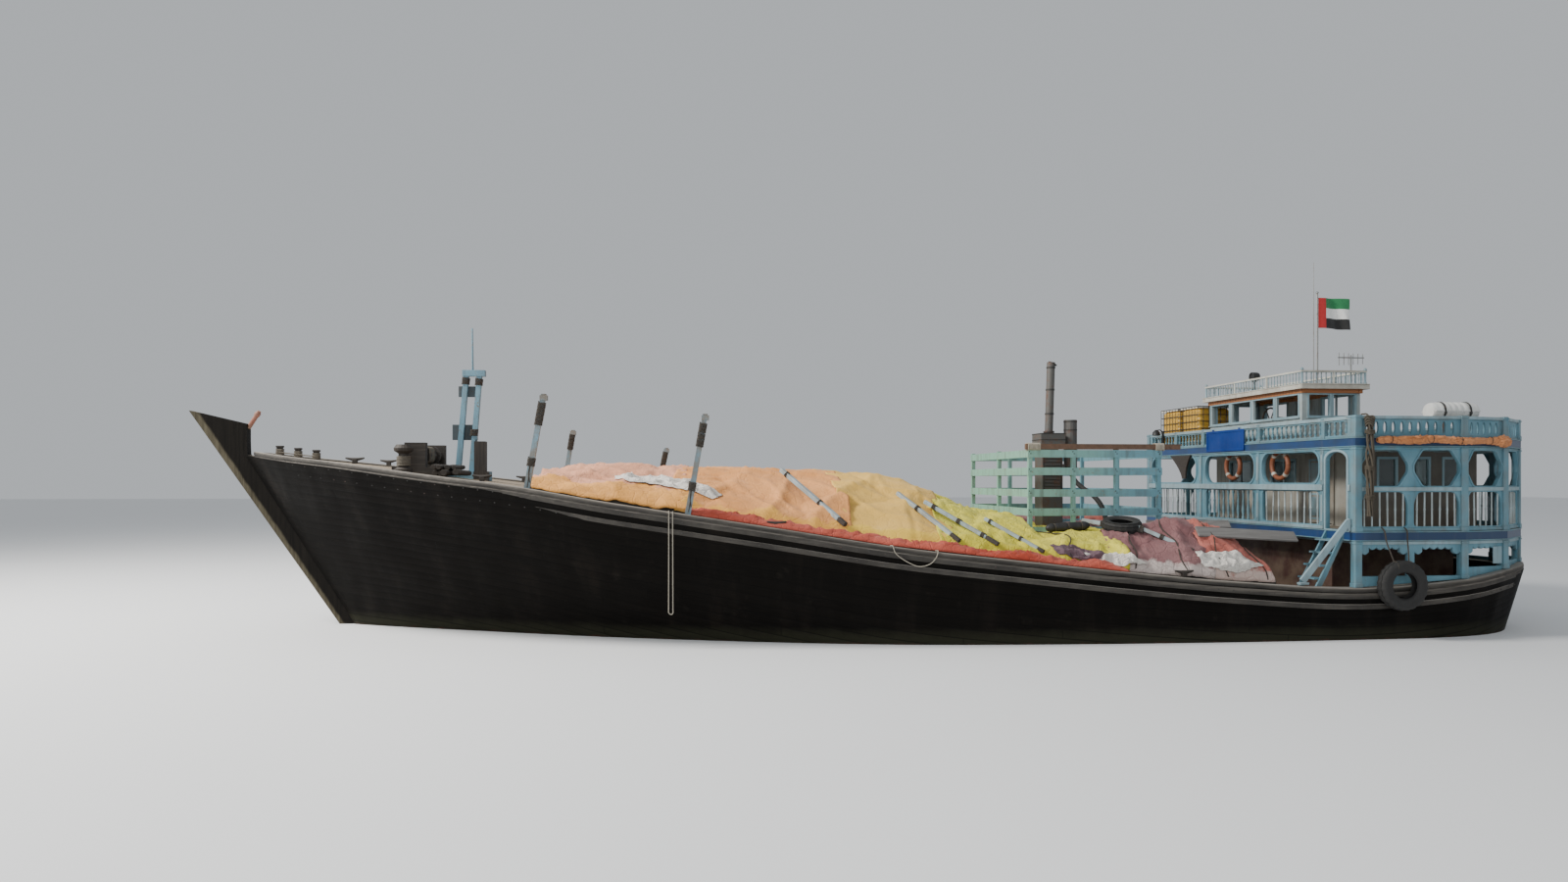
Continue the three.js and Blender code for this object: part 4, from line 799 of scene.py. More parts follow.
def metal(name, color, rust=0.4, rough=0.45, shine=0.9):
    f = Finish(name)
    here = f.place()
    spots = f.noise(here, 6.0, 5.0, 0.7)
    share = f.span(spots, 0.60 - 0.25 * rust, 0.72, 0.0, min(1.0, rust + 0.3))
    base = f.mix(share, f.mix(f.noise(here, 1.5), darker(color, 0.8), color), (0.16, 0.06, 0.03))
    return f.finish(color=base, metal=f.span(share, 0, 1, shine, 0.1),
                    rough=f.span(share, 0, 1, rough, 0.85), normal=f.bump(spots, 0.002, 0.5))


def plain_finish(name, color, rough, spread=0.2, scale=5.0, relief=0.0015, **sockets):
    """A moulded or worn surface with blotches of its own colour."""
    f = Finish(name)
    blotch = f.noise(f.place(), scale, 5.0, 0.65)
    base = f.mix(f.span(blotch, 0.3, 0.75), darker(color, 1 - spread), darker(color, 1 + spread * 0.3))
    return f.finish(color=base, rough=f.span(blotch, 0, 1, rough - 0.08, rough + 0.1),
                    normal=f.bump(blotch, relief, 0.6), **sockets)


def rope_finish(name, color):
    """Laid rope: darker in the strands' hollows, which is painted shade."""
    f = Finish(name)
    fibres = f.noise(f.place((40, 40, 40)), 2.0, 3.0, 0.7)
    # Darker in the hollows between the strands: painted shade
    hollow_shade = f.span(f.geometry("Pointiness"), 0.42, 0.56)
    base = f.mix(hollow_shade, darker(color, 0.35), f.mix(fibres, darker(color, 0.8), color))
    return f.finish(color=base, rough=0.9, normal=f.bump(fibres, 0.001, 0.8))


def window_glass():
    f = Finish("dusty_glass")
    dust = f.noise(f.place(), 5.0, 4.0)
    return f.finish(color=(0.35, 0.42, 0.42), rough=f.span(dust, 0.3, 0.8, 0.05, 0.3), clear=0.85)


def flag_finish():
    """Four plain fields of colour: one along the staff and three across."""
    f = Finish("flag_stripes")
    uv = f.place(kind="UV")
    u, v = f.axis(uv, "X"), f.axis(uv, "Y")
    base = f.mix(f.over(v, 1 / 3), (0.02, 0.02, 0.02), (0.80, 0.80, 0.78))
    base = f.mix(f.over(v, 2 / 3), base, (0.02, 0.20, 0.07))
    base = f.mix(f.math("LESS_THAN", u, 0.26), base, (0.55, 0.03, 0.03))
    weave = f.noise(f.place((200, 200, 200)), 1.0, 2.0)
    return f.finish(color=base, rough=0.85, sheen=0.2, normal=f.bump(weave, 0.0006, 0.5))


def finish_table():
    """Each finish's maker and what the maker is given."""
    house, hull = bpy.context.scene.dhow_house, bpy.context.scene.dhow_hull
    blue, deck = tuple(house.paint_color), tuple(hull.deck_color)
    return {
        "oiled": (hull_wood,),
        "hull_inside": (deck_and_sides, deck),
        "stem": (stem_timber,),
        "dark_wood": (bare_wood, "dark_timber", (0.060, 0.048, 0.038), (0.014, 0.011, 0.009), 0.7),
        "rail": (rail_wood, tuple(hull.rail_color)),
        "deck": (bare_wood, "deck_planks", deck, (0.15, 0.115, 0.08), 0.8, 0.14),
        "bronze": (metal, "cast_bronze", (0.50, 0.34, 0.14), 0.15, 0.42),
        "steel": (metal, "dull_steel", (0.34, 0.34, 0.33), 0.35, 0.5),
        "dark_steel": (metal, "sooty_steel", (0.07, 0.068, 0.065), 0.35, 0.6, 0.6),
        "galvanised": (metal, "galvanised_bars", (0.42, 0.44, 0.44), 0.15, 0.42),
        "stack": (metal, "stack_casing", (0.135, 0.130, 0.122), 0.45, 0.6, 0.4),
        "mast": (mast_paint,),
        "blue": (paint, "light_blue_paint", blue, 0.5, 0.55, 0.45),
        "pale_blue": (paint, "pale_blue_paint", toward(blue, (0.7, 0.78, 0.78), 0.26), 0.4, 0.55, 0.4),
        "bars": (paint, "bar_paint", (0.44, 0.54, 0.56), 0.4, 0.5, 0.3),
        "navy": (band_paint, tuple(house.band_color)),
        "sign": (paint, "sign_board_paint", (0.0005, 0.036, 0.22), 0.15, 0.6, 0.1, 0.15),
        "post_blue": (paint, "post_paint", (0.16, 0.31, 0.40), 0.8, 0.6, 0.5),
        "white": (paint, "cream_paint", (0.60, 0.58, 0.51), 0.4, 0.55, 0.6),
        "house_pale": (paint, "wheelhouse_paint", (0.40, 0.49, 0.50), 0.5, 0.55, 0.45),
        # Cream darkened to stand for shade: the cabin front and its door carry painted shade
        "cream_in_painted_shade": (paint, "cabin_front_paint", (0.34, 0.32, 0.27), 0.5, 0.6, 0.7),
        # Dark brown-grey in place of the cabin's light walls, which stand in shadow inside the gallery:
        # painted shade
        "cabin_in_painted_shade": (paint, "cabin_paint", (0.115, 0.100, 0.080), 0.6, 0.6, 0.6),
        # Red-brown darkened for the shadow under the gallery: painted shade on the lower house
        "red_brown": (paint, "red_brown_paint", (0.080, 0.030, 0.022), 0.5, 0.6, 0.4),
        "roof": (paint, "roof_paint", (0.62, 0.60, 0.52), 0.6, 0.6, 0.3),
        "roof_under": (bare_wood, "roof_ceiling", (0.52, 0.21, 0.07), (0.28, 0.10, 0.035), 0.5, 0.12),
        "mint": (mint_paint,),
        "glass": (window_glass,),
        "rope": (rope_finish, "pale_rope", (0.40, 0.36, 0.29)),
        "dark_rope": (rope_finish, "tarred_rope", (0.055, 0.045, 0.035)),
        "hose": (rope_finish, "olive_rope", (0.085, 0.070, 0.050)),
        "worn_rope": (rope_finish, "worn_rope", (0.17, 0.15, 0.12)),
        "tarpaulin": (plain_finish, "dark_tarpaulin", (0.016, 0.015, 0.016), 0.6, 0.4, 14.0, 0.012),
        "spar": (paint, "spar_paint", (0.38, 0.50, 0.54), 0.8, 0.55, 0.5),
        "grey_wood": (bare_wood, "grey_planks", (0.235, 0.225, 0.215), (0.10, 0.095, 0.090), 0.8),
        "rubber": (plain_finish, "worn_rubber", (0.022, 0.021, 0.020), 0.75, 0.4, 9.0, 0.003),
        "tank": (plain_finish, "tank_plastic", (0.72, 0.42, 0.06), 0.35, 0.22, 2.5),
        "tank_top": (plain_finish, "tank_lid", (0.82, 0.80, 0.72), 0.5, 0.15, 4.0),
        "raft": (plain_finish, "raft_shell", (0.76, 0.76, 0.73), 0.35, 0.15, 3.0),
        # Orange darkened to brown for the shadow the rings hang in: painted shade
        "ring": (plain_finish, "life_ring", (0.24, 0.075, 0.030), 0.55, 0.4, 5.0),
        "canvas": (plain_cloth, "awning_cloth", (0.70, 0.26, 0.085), 0.75, 1.7),
        "red_cloth": (plain_cloth, "red_cloth", (0.50, 0.060, 0.026), 0.4),
        "plastic": (plain_cloth, "white_sheet", (0.78, 0.74, 0.68), 0.3),
        "purple_cloth": (plain_cloth, "purple_cloth", (0.125, 0.060, 0.085), 0.3),
        "flag": (flag_finish,),
        "lamp": (plain_finish, "lamp_housing", (0.014, 0.014, 0.014), 0.5, 0.3),
        "peg": (paint, "peg_paint", (0.33, 0.07, 0.03), 0.8, 0.6, 0.3),
    }


_made = {}


def finish_of(key):
    """The materials of the boat, each made once when it is first used."""
    if key not in _made:
        maker, *given = finish_table()[key]
        _made[key] = maker(*given)
    return _made[key]


def rail_wood(color):
    """Grey weathered rail and wale: paler on top, which is painted sunlight, and darker on its sides and
    undersides, which is painted shade.
    """
    f = Finish("rail_timber")
    along = f.axis(f.place(kind="UV"), "X")
    here = f.place()
    stretched = f.joined(X=f.times(along, 1.2), Y=f.times(f.axis(here, "Y"), 24.0),
                         Z=f.times(f.axis(here, "Z"), 24.0))
    grain = f.noise(stretched, 1.0, 5.0, 0.65, 0.4)
    base = f.mix(f.span(grain, 0.3, 0.72), darker(color, 0.30), darker(color, 1.05))
    up = f.up()
    # Paler on the faces that look up: painted sunlight
    painted_sunlit_top = f.mix(grain, color, toward(color, (0.6, 0.58, 0.54), 0.6))
    base = f.mix(f.span(up, 0.5, 0.9, 0.0, 0.65), base, painted_sunlit_top)
    # Near black on the sides and undersides: painted shade
    side = f.times(f.span(up, 0.5, 0.1), f.span(f.noise(here, 1.4, 4.0), 0.30, 0.62, 0.62, 0.96))
    base = f.mix(side, base, (0.022, 0.019, 0.016))
    return f.finish(color=base, rough=0.78, normal=f.bump(grain, 0.005, 0.8))


def deck_and_sides(color):
    """The hull under its planking: decks on what faces up and dark boards elsewhere."""
    f = Finish("inner_hull")
    here = f.place()
    row = f.math("DIVIDE", f.axis(here, "Y"), 0.16)
    line = f.lines(row, *CAULK)
    grain = f.noise(f.place((1.1, 26, 26)), 1.0, 5.0)
    deck = f.mix(line, f.mix(grain, darker(color, 0.45), color), SEAM_COLOR)
    sides = f.mix(grain, (0.012, 0.010, 0.009), (0.05, 0.042, 0.035))
    up = f.up()
    base = f.mix(f.span(up, 0.6, 0.8), sides, deck)
    return f.finish(color=base, rough=0.75, normal=f.bump(grain, 0.003, 0.6))


def band_paint(color):
    """Blue band round a deck's edge, planked and worn on top, light blue paint under it, and darker along
    the sides than across the front, which is painted shade.
    """
    f = Finish("band_paint")
    here = f.place()
    tone = f.span(f.noise(here, 1.6, 4.0), 0.3, 0.7)
    # Darker along the sides than across the front: painted shade on the sides
    bow = f.span(f.axis(here, "X"), -10.2, -9.9)
    side = f.mix(bow, darker(color, 0.75), toward(color, (0.008, 0.055, 0.19), 0.8))
    band = f.mix(tone, darker(toward(color, (0.03, 0.05, 0.09), 0.4), 0.8), side)
    band = f.mix(f.span(f.noise(f.place((7, 7, 1)), 1.0, 4.0), 0.56, 0.8, 0, 0.5), band, (0.07, 0.08, 0.11))
    row = f.math("DIVIDE", f.axis(here, "Y"), 0.13)
    line = f.lines(row, *CAULK)
    grain = f.noise(f.place((1.1, 24, 24)), 1.0, 5.0)
    deck = f.mix(line, f.mix(grain, (0.12, 0.095, 0.07), (0.33, 0.27, 0.2)), SEAM_COLOR)
    up = f.up()
    base = f.mix(f.span(up, 0.7, 0.9), band, deck)
    base = f.mix(f.span(up, -0.7, -0.9), base, (0.20, 0.34, 0.38))
    return f.finish(color=base, rough=f.span(up, 0.7, 0.9, 0.42, 0.8), normal=f.bump(grain, 0.0015, 0.5))


# On the stub mast: the bitt abaft it and the boards across its legs are bare, within these limits
MAST_BITT_X, MAST_BITT_Y, MAST_BITT_Z = 8.87, 0.035, 4.25
MAST_BOARD_Y = -0.045


def mast_paint():
    """Worn light blue paint on the mast's legs, dark timber on its boards and on the bitt abaft it."""
    f = Finish("mast_paint")
    here = f.place()
    tone = f.span(f.noise(here, 1.6, 4.0), 0.3, 0.7)
    base = f.mix(tone, (0.135, 0.265, 0.345), (0.20, 0.37, 0.46))
    drips = f.noise(f.place((9, 9, 0.8)), 1.0, 4.0)
    base = f.mix(f.span(drips, 0.48, 0.75, 0.0, 0.6), base, DIRT)
    chips = f.times(f.span(f.noise(here, 20.0, 4.0, 0.7), 0.58, 0.62), f.span(f.noise(here, 3.0), 0.45, 0.6))
    base = f.mix(chips, base, WOOD_UNDER)
    grain = f.noise(f.place((24, 24, 1.2)), 1.0, 5.0, 0.6, 0.4)
    timber = f.mix(f.span(grain, 0.3, 0.75), (0.014, 0.011, 0.009), (0.058, 0.045, 0.034))
    x, y, z = (f.axis(here, name) for name in "XYZ")
    bitt = f.times(f.math("LESS_THAN", x, MAST_BITT_X), f.over(y, MAST_BITT_Y))
    bitt = f.times(bitt, f.math("LESS_THAN", z, MAST_BITT_Z))
    boards = f.times(f.math("LESS_THAN", y, MAST_BOARD_Y), f.over(z, MAST_BITT_Z - 0.15))
    base = f.mix(f.math("MAXIMUM", bitt, f.times(boards, 0.85)), base, timber)
    return f.finish(color=base, rough=0.65, normal=f.bump(grain, 0.002, 0.7))


# The rusty beam along the pen's near top edge lies above and outside these
PEN_BEAM_Z = 3.985
PEN_BEAM_Y = 2.0


def mint_paint():
    """Pen paint that goes from mint at its fore end to blue at its after end."""
    f = Finish("pen_paint")
    here = f.place()
    shifted = f.math("ADD", f.axis(here, "X"), f.span(f.noise(here, 1.1), 0, 1, -0.7, 0.7))
    share = f.span(shifted, -3.9, -6.2)
    base = f.mix(share, (0.22, 0.42, 0.34), (0.14, 0.31, 0.37))
    dirt = f.noise(f.place((8, 8, 1.2)), 1.0, 4.0)
    base = f.mix(f.span(dirt, 0.48, 0.76, 0.0, 0.6), base, (0.10, 0.10, 0.085))
    chips = f.times(f.span(f.noise(here, 20.0, 4.0, 0.7), 0.58, 0.63), f.span(f.noise(here, 2.7), 0.45, 0.6))
    base = f.mix(chips, base, (0.24, 0.20, 0.15))
    beam = f.times(f.over(f.axis(here, "Z"), PEN_BEAM_Z), f.over(f.axis(here, "Y"), PEN_BEAM_Y))
    rusty = f.mix(f.noise(here, 9.0, 5.0, 0.7), (0.045, 0.026, 0.018), (0.21, 0.115, 0.070))
    base = f.mix(beam, base, rusty)
    grain = f.noise(f.place((5, 50, 50)), 1.0, 3.0)
    return f.finish(color=base, rough=0.7, normal=f.bump(grain, 0.0015, 0.6))


# Settings that a user would change
class HullSettings(bpy.types.PropertyGroup):
    strakes: IntProperty(name="Strakes", description="Planks from the keel to the rail on each side",
                         default=34)
    station_step: FloatProperty(name="Station step", description="Distance between the hull's rings",
                                default=0.36, unit="LENGTH")
    plank_proud: FloatProperty(name="Plank thickness", description="How far the planks stand out",
                               default=0.022, unit="LENGTH")
    seam_depth: FloatProperty(name="Seam depth", description="Depth of the caulked seams",
                              default=0.003, unit="LENGTH")
    rail_color: FloatVectorProperty(name="Rail colour", description="Weathered timber of the rail",
                                    default=(0.21, 0.185, 0.155), subtype="COLOR")
    deck_color: FloatVectorProperty(name="Deck colour", description="Dry deck planks",
                                    default=(0.40, 0.33, 0.24), subtype="COLOR")


class ClothSettings(bpy.types.PropertyGroup):
    grid: FloatProperty(name="Grid", description="Spacing of the cloth's points", default=0.052,
                        unit="LENGTH")
    lump: FloatProperty(name="Lumps", description="Height of the lumps under the cloth", default=0.11,
                        unit="LENGTH")
    fold: FloatProperty(name="Folds", description="Height of the folds", default=0.075, unit="LENGTH")


class HouseSettings(bpy.types.PropertyGroup):
    paint_color: FloatVectorProperty(name="House paint", description="Light blue of the gallery",
                                     default=(0.090, 0.250, 0.325), subtype="COLOR")
    band_color: FloatVectorProperty(name="Band paint", description="Dark blue round the decks",
                                    default=(0.014, 0.050, 0.13), subtype="COLOR")
    board: FloatProperty(name="Board thickness", description="Thickness of the gallery's boards",
                         default=0.07, unit="LENGTH")
    opening_cut: FloatProperty(name="Opening corners", default=0.20, unit="LENGTH",
                               description="Width cut off at the side openings' corners")
    opening_rise: FloatProperty(name="Opening corner rise", description="Height cut off at those corners",
                                default=0.30, unit="LENGTH")
    bar_pitch: FloatProperty(name="Bar pitch", description="Spacing of the bars in the balustrade",
                             default=0.165, unit="LENGTH")


class StageSettings(bpy.types.PropertyGroup):
    lens: FloatProperty(name="Lens", description="Focal length in millimetres", default=22.5)
    key_power: FloatProperty(name="Key light", description="Power of the main light", default=21000.0,
                             unit="POWER")
    fill_power: FloatProperty(name="Fill light", description="Power of the fill light", default=2900.0,
                              unit="POWER")
    floor_color: FloatVectorProperty(name="Floor", description="Colour of the floor at the waterline",
                                     default=(0.80, 0.81, 0.82), subtype="COLOR")


# Camera: its place, the way that it looks, its upward shift and how far it sees
CAMERA_AT = (4.1, 23.57, 3.3)
CAMERA_WAY = (-0.1045, -0.9945, 0)
CAMERA_SHIFT = 0.025
CAMERA_FAR = 400.0
FLOOR_REACH = 160.0
LIGHTS_AIM = Vector((-2, 0, 1.5))


class DHOW_OT_stage(bpy.types.Operator):
    """Floor at the waterline, soft lights and the camera"""

    bl_idname = "dhow.stage"
    bl_label = "Stage"

    def execute(self, context):
        settings = context.scene.dhow_stage
        scene = context.scene
        camera = bpy.data.cameras.new("camera")
        camera.lens = settings.lens
        camera.sensor_width = 36.0
        camera.shift_y = CAMERA_SHIFT
        camera.clip_end = CAMERA_FAR
        eye = new_object("camera", camera)
        eye.location = CAMERA_AT
        point_along(eye, CAMERA_WAY)
        scene.camera = eye
        mesh = bpy.data.meshes.new("floor")
        corners = rectangle(-FLOOR_REACH, FLOOR_REACH, -FLOOR_REACH, FLOOR_REACH)
        mesh.from_pydata([(x, y, 0) for x, y in corners], [], [(0, 1, 2, 3)])
        floor = new_object("floor", mesh)
        f = Finish("floor")
        color = tuple(settings.floor_color)
        tone = f.mix(f.noise(f.place(), 0.2), darker(color, 0.97), color)
        mesh.materials.append(f.finish(color=tone, rough=0.85))
        world = bpy.data.worlds.new("studio")
        world.use_nodes = True
        sky = world.node_tree.nodes["Background"]
        sky.inputs["Color"].default_value = (0.86, 0.90, 0.94, 1.0)
        sky.inputs["Strength"].default_value = 0.58
        scene.world = world
        lights = [("key", (30, 3, 27), 9.0, settings.key_power, (1.0, 0.97, 0.92)),
                  ("fill", (10, 36, 16), 22.0, settings.fill_power, (0.95, 0.98, 1.0)),
                  ("bow", (34, 14, 12), 18.0, settings.fill_power * 0.3, (1.0, 1.0, 1.0))]
        for name, at, size, power, color in lights:
            lamp = bpy.data.lights.new(name, "AREA")
            lamp.size = size
            lamp.energy = power
            lamp.color = color
            obj = new_object(name, lamp)
            obj.location = at
            point_along(obj, LIGHTS_AIM - Vector(at))
        return {"FINISHED"}


class DHOW_OT_solid_finishes(bpy.types.Operator):
    """Finishes of the solids that keep their own shape"""

    bl_idname = "dhow.solid_finishes"
    bl_label = "Finishes of the solids"

    def execute(self, context):
        table = {
            "hull_inside": ("hull", "stern_bulwark"), "stem": ("stem_post",),
            "dark_wood": ("keel", "stern_post", "rudder", "windlass_bitts", "windlass_barrel", "bollard",
                          "steering_wheel"),
            "bronze": ("propeller",), "deck": ("foredeck",), "rail": ("hold_hatch",),
            "navy": ("gallery_deck", "upper_deck"), "red_brown": ("lower_house",), "blue": ("stair",),
            "cream_in_painted_shade": ("cabin_front", "cabin_door"), "cabin_in_painted_shade": ("cabin_shell",),
            "house_pale": ("wheelhouse_front", "wheelhouse_shell", "wheelhouse_door"),
            "white": ("helm_pedestal",), "roof": ("wheelhouse_roof",), "mint": ("stock_pen",),
            "stack": ("exhaust_stack",), "steel": ("aerial", "flagstaff", "whip_antenna"),
            "mast": ("stub_mast",),
            "post_blue": ("rail_post_port_fore", "rail_post_port_mid", "rail_post_starboard_fore",
                          "rail_post_starboard_mid"),
        }
        for key, names in table.items():
            for name in names:
                mesh = NODES[name].data
                mesh.materials.clear()
                mesh.materials.append(finish_of(key))
        return {"FINISHED"}


# Half the width of the groove between two planks
SEAM_HALF = 0.014


def strake_ring(section, fractions, proud, seam):
    """Points up one side of a hull section, with a groove at each seam."""
    heights = [section.z_keel * math.cos(i / 40 * math.pi / 2) for i in range(40)]
    heights += [section.z_top * i / 12 for i in range(13)]
    line = [(half_breadth(section, z), z) for z in heights]
    run = run_along(line)
    ring = []
    for share, lift, grooved in fractions:
        y, z, dy, dz = place_on(line, run, share * run[-1] + lift)
        size = math.hypot(dy, dz) or 1.0
        out = proud - (seam if grooved else 0.0)
        ring.append((section_x(section, z), y + dz / size * out, z - dy / size * out))
    return ring


class DHOW_OT_planking(bpy.types.Operator):
    """Planks over the hull with caulked seams, and the boards of the transom"""

    bl_idname = "dhow.planking"
    bl_label = "Planking"

    def execute(self, context):
        settings = context.scene.dhow_hull
        count = settings.strakes
        fractions = []
        rows = []
        for k in range(count):
            low, high = k / count, (k + 1) / count
            fractions += [(low, 0.0, True), (low, SEAM_HALF, False), (high, -SEAM_HALF, False)]
            rows += [k, k + 0.05, k + 0.95]
        fractions.append((1.0, 0.0, True))
        rows.append(count)
        stations = fair_sections(settings.station_step)
        rings = [strake_ring(s, fractions, settings.plank_proud, settings.seam_depth) for _, s in stations]
        points = [p for ring in rings for p in ring]
        uv = [(t, row) for t, _ in stations for row in rows]
        shape = Shape().add(points, grid_faces(len(rings) - 1, len(rows) - 1), 0, uv).mirror()
        planks = shape.piece("hull_planks", [finish_of("oiled")], merge=False, slot="oiled_wood", smooth=30)
        thicken(planks, 0.05, -1.0)
        transom = Shape()
        stern = SECTIONS[0]
        boards, board_thick = 7, 0.03
        for i in range(boards):
            low = stern.z_keel + (stern.z_top - stern.z_keel) * i / boards
            high = low + (stern.z_top - stern.z_keel) / boards - 0.012
            points = [(section_x(stern, z) - 0.002, side * (half_breadth(stern, z) + 0.012), z)
                      for z, side in ((low, -1), (low, 1), (high, 1), (high, -1))]
            points += [(x - board_thick, y, z) for x, y, z in points]
            transom.add(points, BAR_FACES, 0, [(p[1], i + 0.5) for p in points])
        transom.piece("transom_boards", [finish_of("oiled")], bevel=0.006, slot="oiled_wood")
        return {"FINISHED"}


# The rubbing strake runs forward from here
STRAKE_END = -6.0


def rail_ring(section, side, profile):
    """One ring of the rail. Its profile is given by distance out from the planking and height over it."""
    top = section.z_top
    edge = half_breadth(section, top)
    ring = []
    for out, rise, follows in profile:
        z = top + rise
        if follows:
            ring.append((section_x(section, z), side * (half_breadth(section, z) + out), z))
        else:
            ring.append((section_x(section, top), side * (edge + out), z))
    return ring


class DHOW_OT_rails(bpy.types.Operator):
    """Rail cap, double wale and the rubbing strake low on the bow"""

    bl_idname = "dhow.rails"
    bl_label = "Rails and wales"

    def execute(self, context):
        stations = fair_sections(context.scene.dhow_hull.station_step)
        profile = [
            (-0.28, 0.00, False), (-0.05, -0.10, True), (-0.03, -0.345, True), (0.055, -0.345, True),
            (0.082, -0.328, True), (0.084, -0.236, True), (0.060, -0.218, True), (0.036, -0.212, True),
            (0.036, -0.136, True), (0.060, -0.130, True), (0.084, -0.112, True), (0.086, -0.018, True),
            (0.064, 0.004, False), (0.064, 0.022, False), (0.088, 0.034, False), (0.092, 0.082, False),
            (0.076, 0.102, False), (-0.264, 0.102, False), (-0.282, 0.084, False),
        ]
        kept = [(t, s) for t, s in stations if s.b_top > 0.35]
        for side, name in ((1, "rail_port"), (-1, "rail_starboard")):
            rings = [rail_ring(s, side, profile) for _, s in kept]
            if side < 0:
                rings = [ring[::-1] for ring in rings]
            Shape().skin(rings, [t for t, _ in kept]).piece(
                f"{name}_timber", [finish_of("rail")], merge=False, smooth=50, replaces=(name,),
                slot="weathered_wood")
        strake = Shape()
        lower = [(t, s) for t, s in stations if s.x_top > STRAKE_END]
        for side in (1, -1):
            rings = []
            for _, s in lower:
                proud = 0.012 + 0.05 * min(1.0, (s.x_top - STRAKE_END) / 9.0)
                profile = ((0.0, -0.10), (proud, -0.085), (proud, 0.065), (0.0, 0.10))
                heights = [(out, s.z_top * 0.56 + rise) for out, rise in profile]
                ring = [(section_x(s, z), side * (half_breadth(s, z) + out), z) for out, z in heights]
                rings.append(ring if side > 0 else ring[::-1])
            strake.skin(rings, [t for t, _ in lower])
        strake.piece("rubbing_strake", [finish_of("dark_wood")], merge=False, smooth=50, slot="oiled_wood")
        return {"FINISHED"}


def cloth_ground(x):
    """Cross-section of the covers at one place along the hold, port half from the edge to the middle."""
    edge = top_breadth(x) - HATCH_EDGE
    flat = line_at(HATCH_LINE, x, "x", "flat")
    shoulder = line_at(HATCH_LINE, x, "x", "shoulder")
    top = line_at(HATCH_LINE, x, "x", "z")
    low = hull_top(x)
    return [(edge, low + 0.10), (edge, low + 0.20), ((flat + edge) / 2, shoulder), (flat, top), (0.0, top)]


def cover_point(x, share):
    """A point on the covers, share running from the port edge at 0 to the starboard edge at 1."""
    half = cloth_ground(x)
    line = half + [(-y, z) for y, z in half[-2::-1]]
    run = run_along(line)
    soft = [place_on(line, run, share * run[-1] + shift) for shift in (-SOFT_CORNER, 0.0, SOFT_CORNER)]
    y, z, dy, dz = (sum(p[k] for p in soft) for k in range(4))
    normal = Vector((0, dz, -dy))
    normal = normal.normalized() if normal.length > 1e-6 else Vector((0, 0, 1))
    return Vector((x, y / 3, z / 3)), normal, run[-1]


def crumple(p, row, settings):
    """Height of a cover over its ground: lumps under it, long folds down its side and sharp creases."""
    at = Vector((p.x, p.y, p.z + row.seed * 7.3))
    cell = Vector((at.x * 0.60, at.y * 0.75, row.seed * 3.1))
    near, far = noise.voronoi(cell, distance_metric="DISTANCE")[0][:2]
    bulge = clamp(far - near, 0.0, 0.6) / 0.6
    big = settings.lump * (bulge**0.6) + 0.06 * noise.noise(at * 0.5)
    warp = noise.noise(at * 0.7) * 1.8
    line = abs(math.sin(at.x * 2.3 + at.y * 4.6 + warp * 2.2))
    long_folds = settings.fold * 0.65 * (1 - line) ** 2.2
    side = clamp((abs(at.y) - 1.5) / 1.3)
    hang = abs(math.sin(at.x * 2.05 - abs(at.y) * 1.3 + 2.2 * noise.noise(at * 0.45)))
    drape = settings.fold * 1.25 * side * (1 - hang) ** 1.8
    shift = Vector((noise.noise(at * 0.9), noise.noise(at * 0.9 + Vector((9, 0, 0))), 0)) * 0.9
    slanted = Vector((at.x * 0.5 + at.y * 1.5, at.x * 1.9 - at.y * 0.4, at.z * 0.7)) + shift
    share = clamp(0.5 + 1.6 * noise.noise(at * 0.55 + Vector((0, 5, 0))))
    sharp = settings.fold * 0.75 * share * ridge(slanted * 1.1, 3.2) ** 2
    crossed = settings.fold * 0.40 * ridge(slanted * 2.6 + Vector((3, 1, 7))) ** 2
    small = 0.014 * ridge(at * 5.0) ** 2
    return big + long_folds + drape + (sharp * 0.6 + crossed + small) * row.rough + sharp * 0.4


def cloth_at(x):
    """The cloth that shows at a place along the hold."""
    return next((row for row in reversed(CLOTHS) if row.aft <= x), CLOTHS[0])


def cover_surface(x, share, settings, order, row):
    """A point on a cloth and its distance from the nearer hem."""
    x = clamp(x, HATCH_LINE[0].x + 0.01, HATCH_LINE[-1].x - 0.01)
    ground, normal, girth = cover_point(x, share)
    reach = min(share, 1 - share) * girth
    calm = min(1.0, reach / 0.5)
    near_hem = math.exp(-(((reach - 0.45) / 0.16) ** 2))
    pull = 1.0 - 0.35 * near_hem * (0.5 + ripple(x * 2.2, row.seed, 6.0))
    rise = 0.03 + 0.008 * order + crumple(ground, row, settings) * (0.25 + 0.75 * calm) * pull
    p = ground + normal * rise
    if reach < HEM:
        wave = 0.05 * ripple(x * 1.6, row.seed, 2.0) + 0.025 * ripple(x * 6.0, row.seed, 5.0)
        p.z = max(p.z + (wave - 0.10) * (1 - reach / HEM), hull_top(x) + 0.108)
    return p, reach, normal


def cloth_top(x, share, settings):
    """The highest of the cloths at one place, with its normal."""
    found = [cover_surface(x, share, settings, order, row) for order, row in enumerate(CLOTHS)
             if row.aft - 0.15 <= x <= row.fore + 0.15]
    p, _, normal = max(found, key=lambda item: item[0].z)
    return p, normal


def cloth_height(x, y, settings):
    """Height of the cloths' upper side at a place on the hold."""
    shares = [step / 120 for step in range(121)]
    nearest = min(shares, key=lambda share: abs(cover_point(x, share)[0].y - y))
    return cloth_top(x, nearest, settings)[0].z


def sheet_area(obj):
    return sum(p.area for p in obj.data.polygons)


def state_sheet(obj, thickness, length):
    """Gives a sheet its thickness, and works out its width over its folds from its area and length."""
    width = sheet_area(obj) / length
    thicken(obj, thickness)


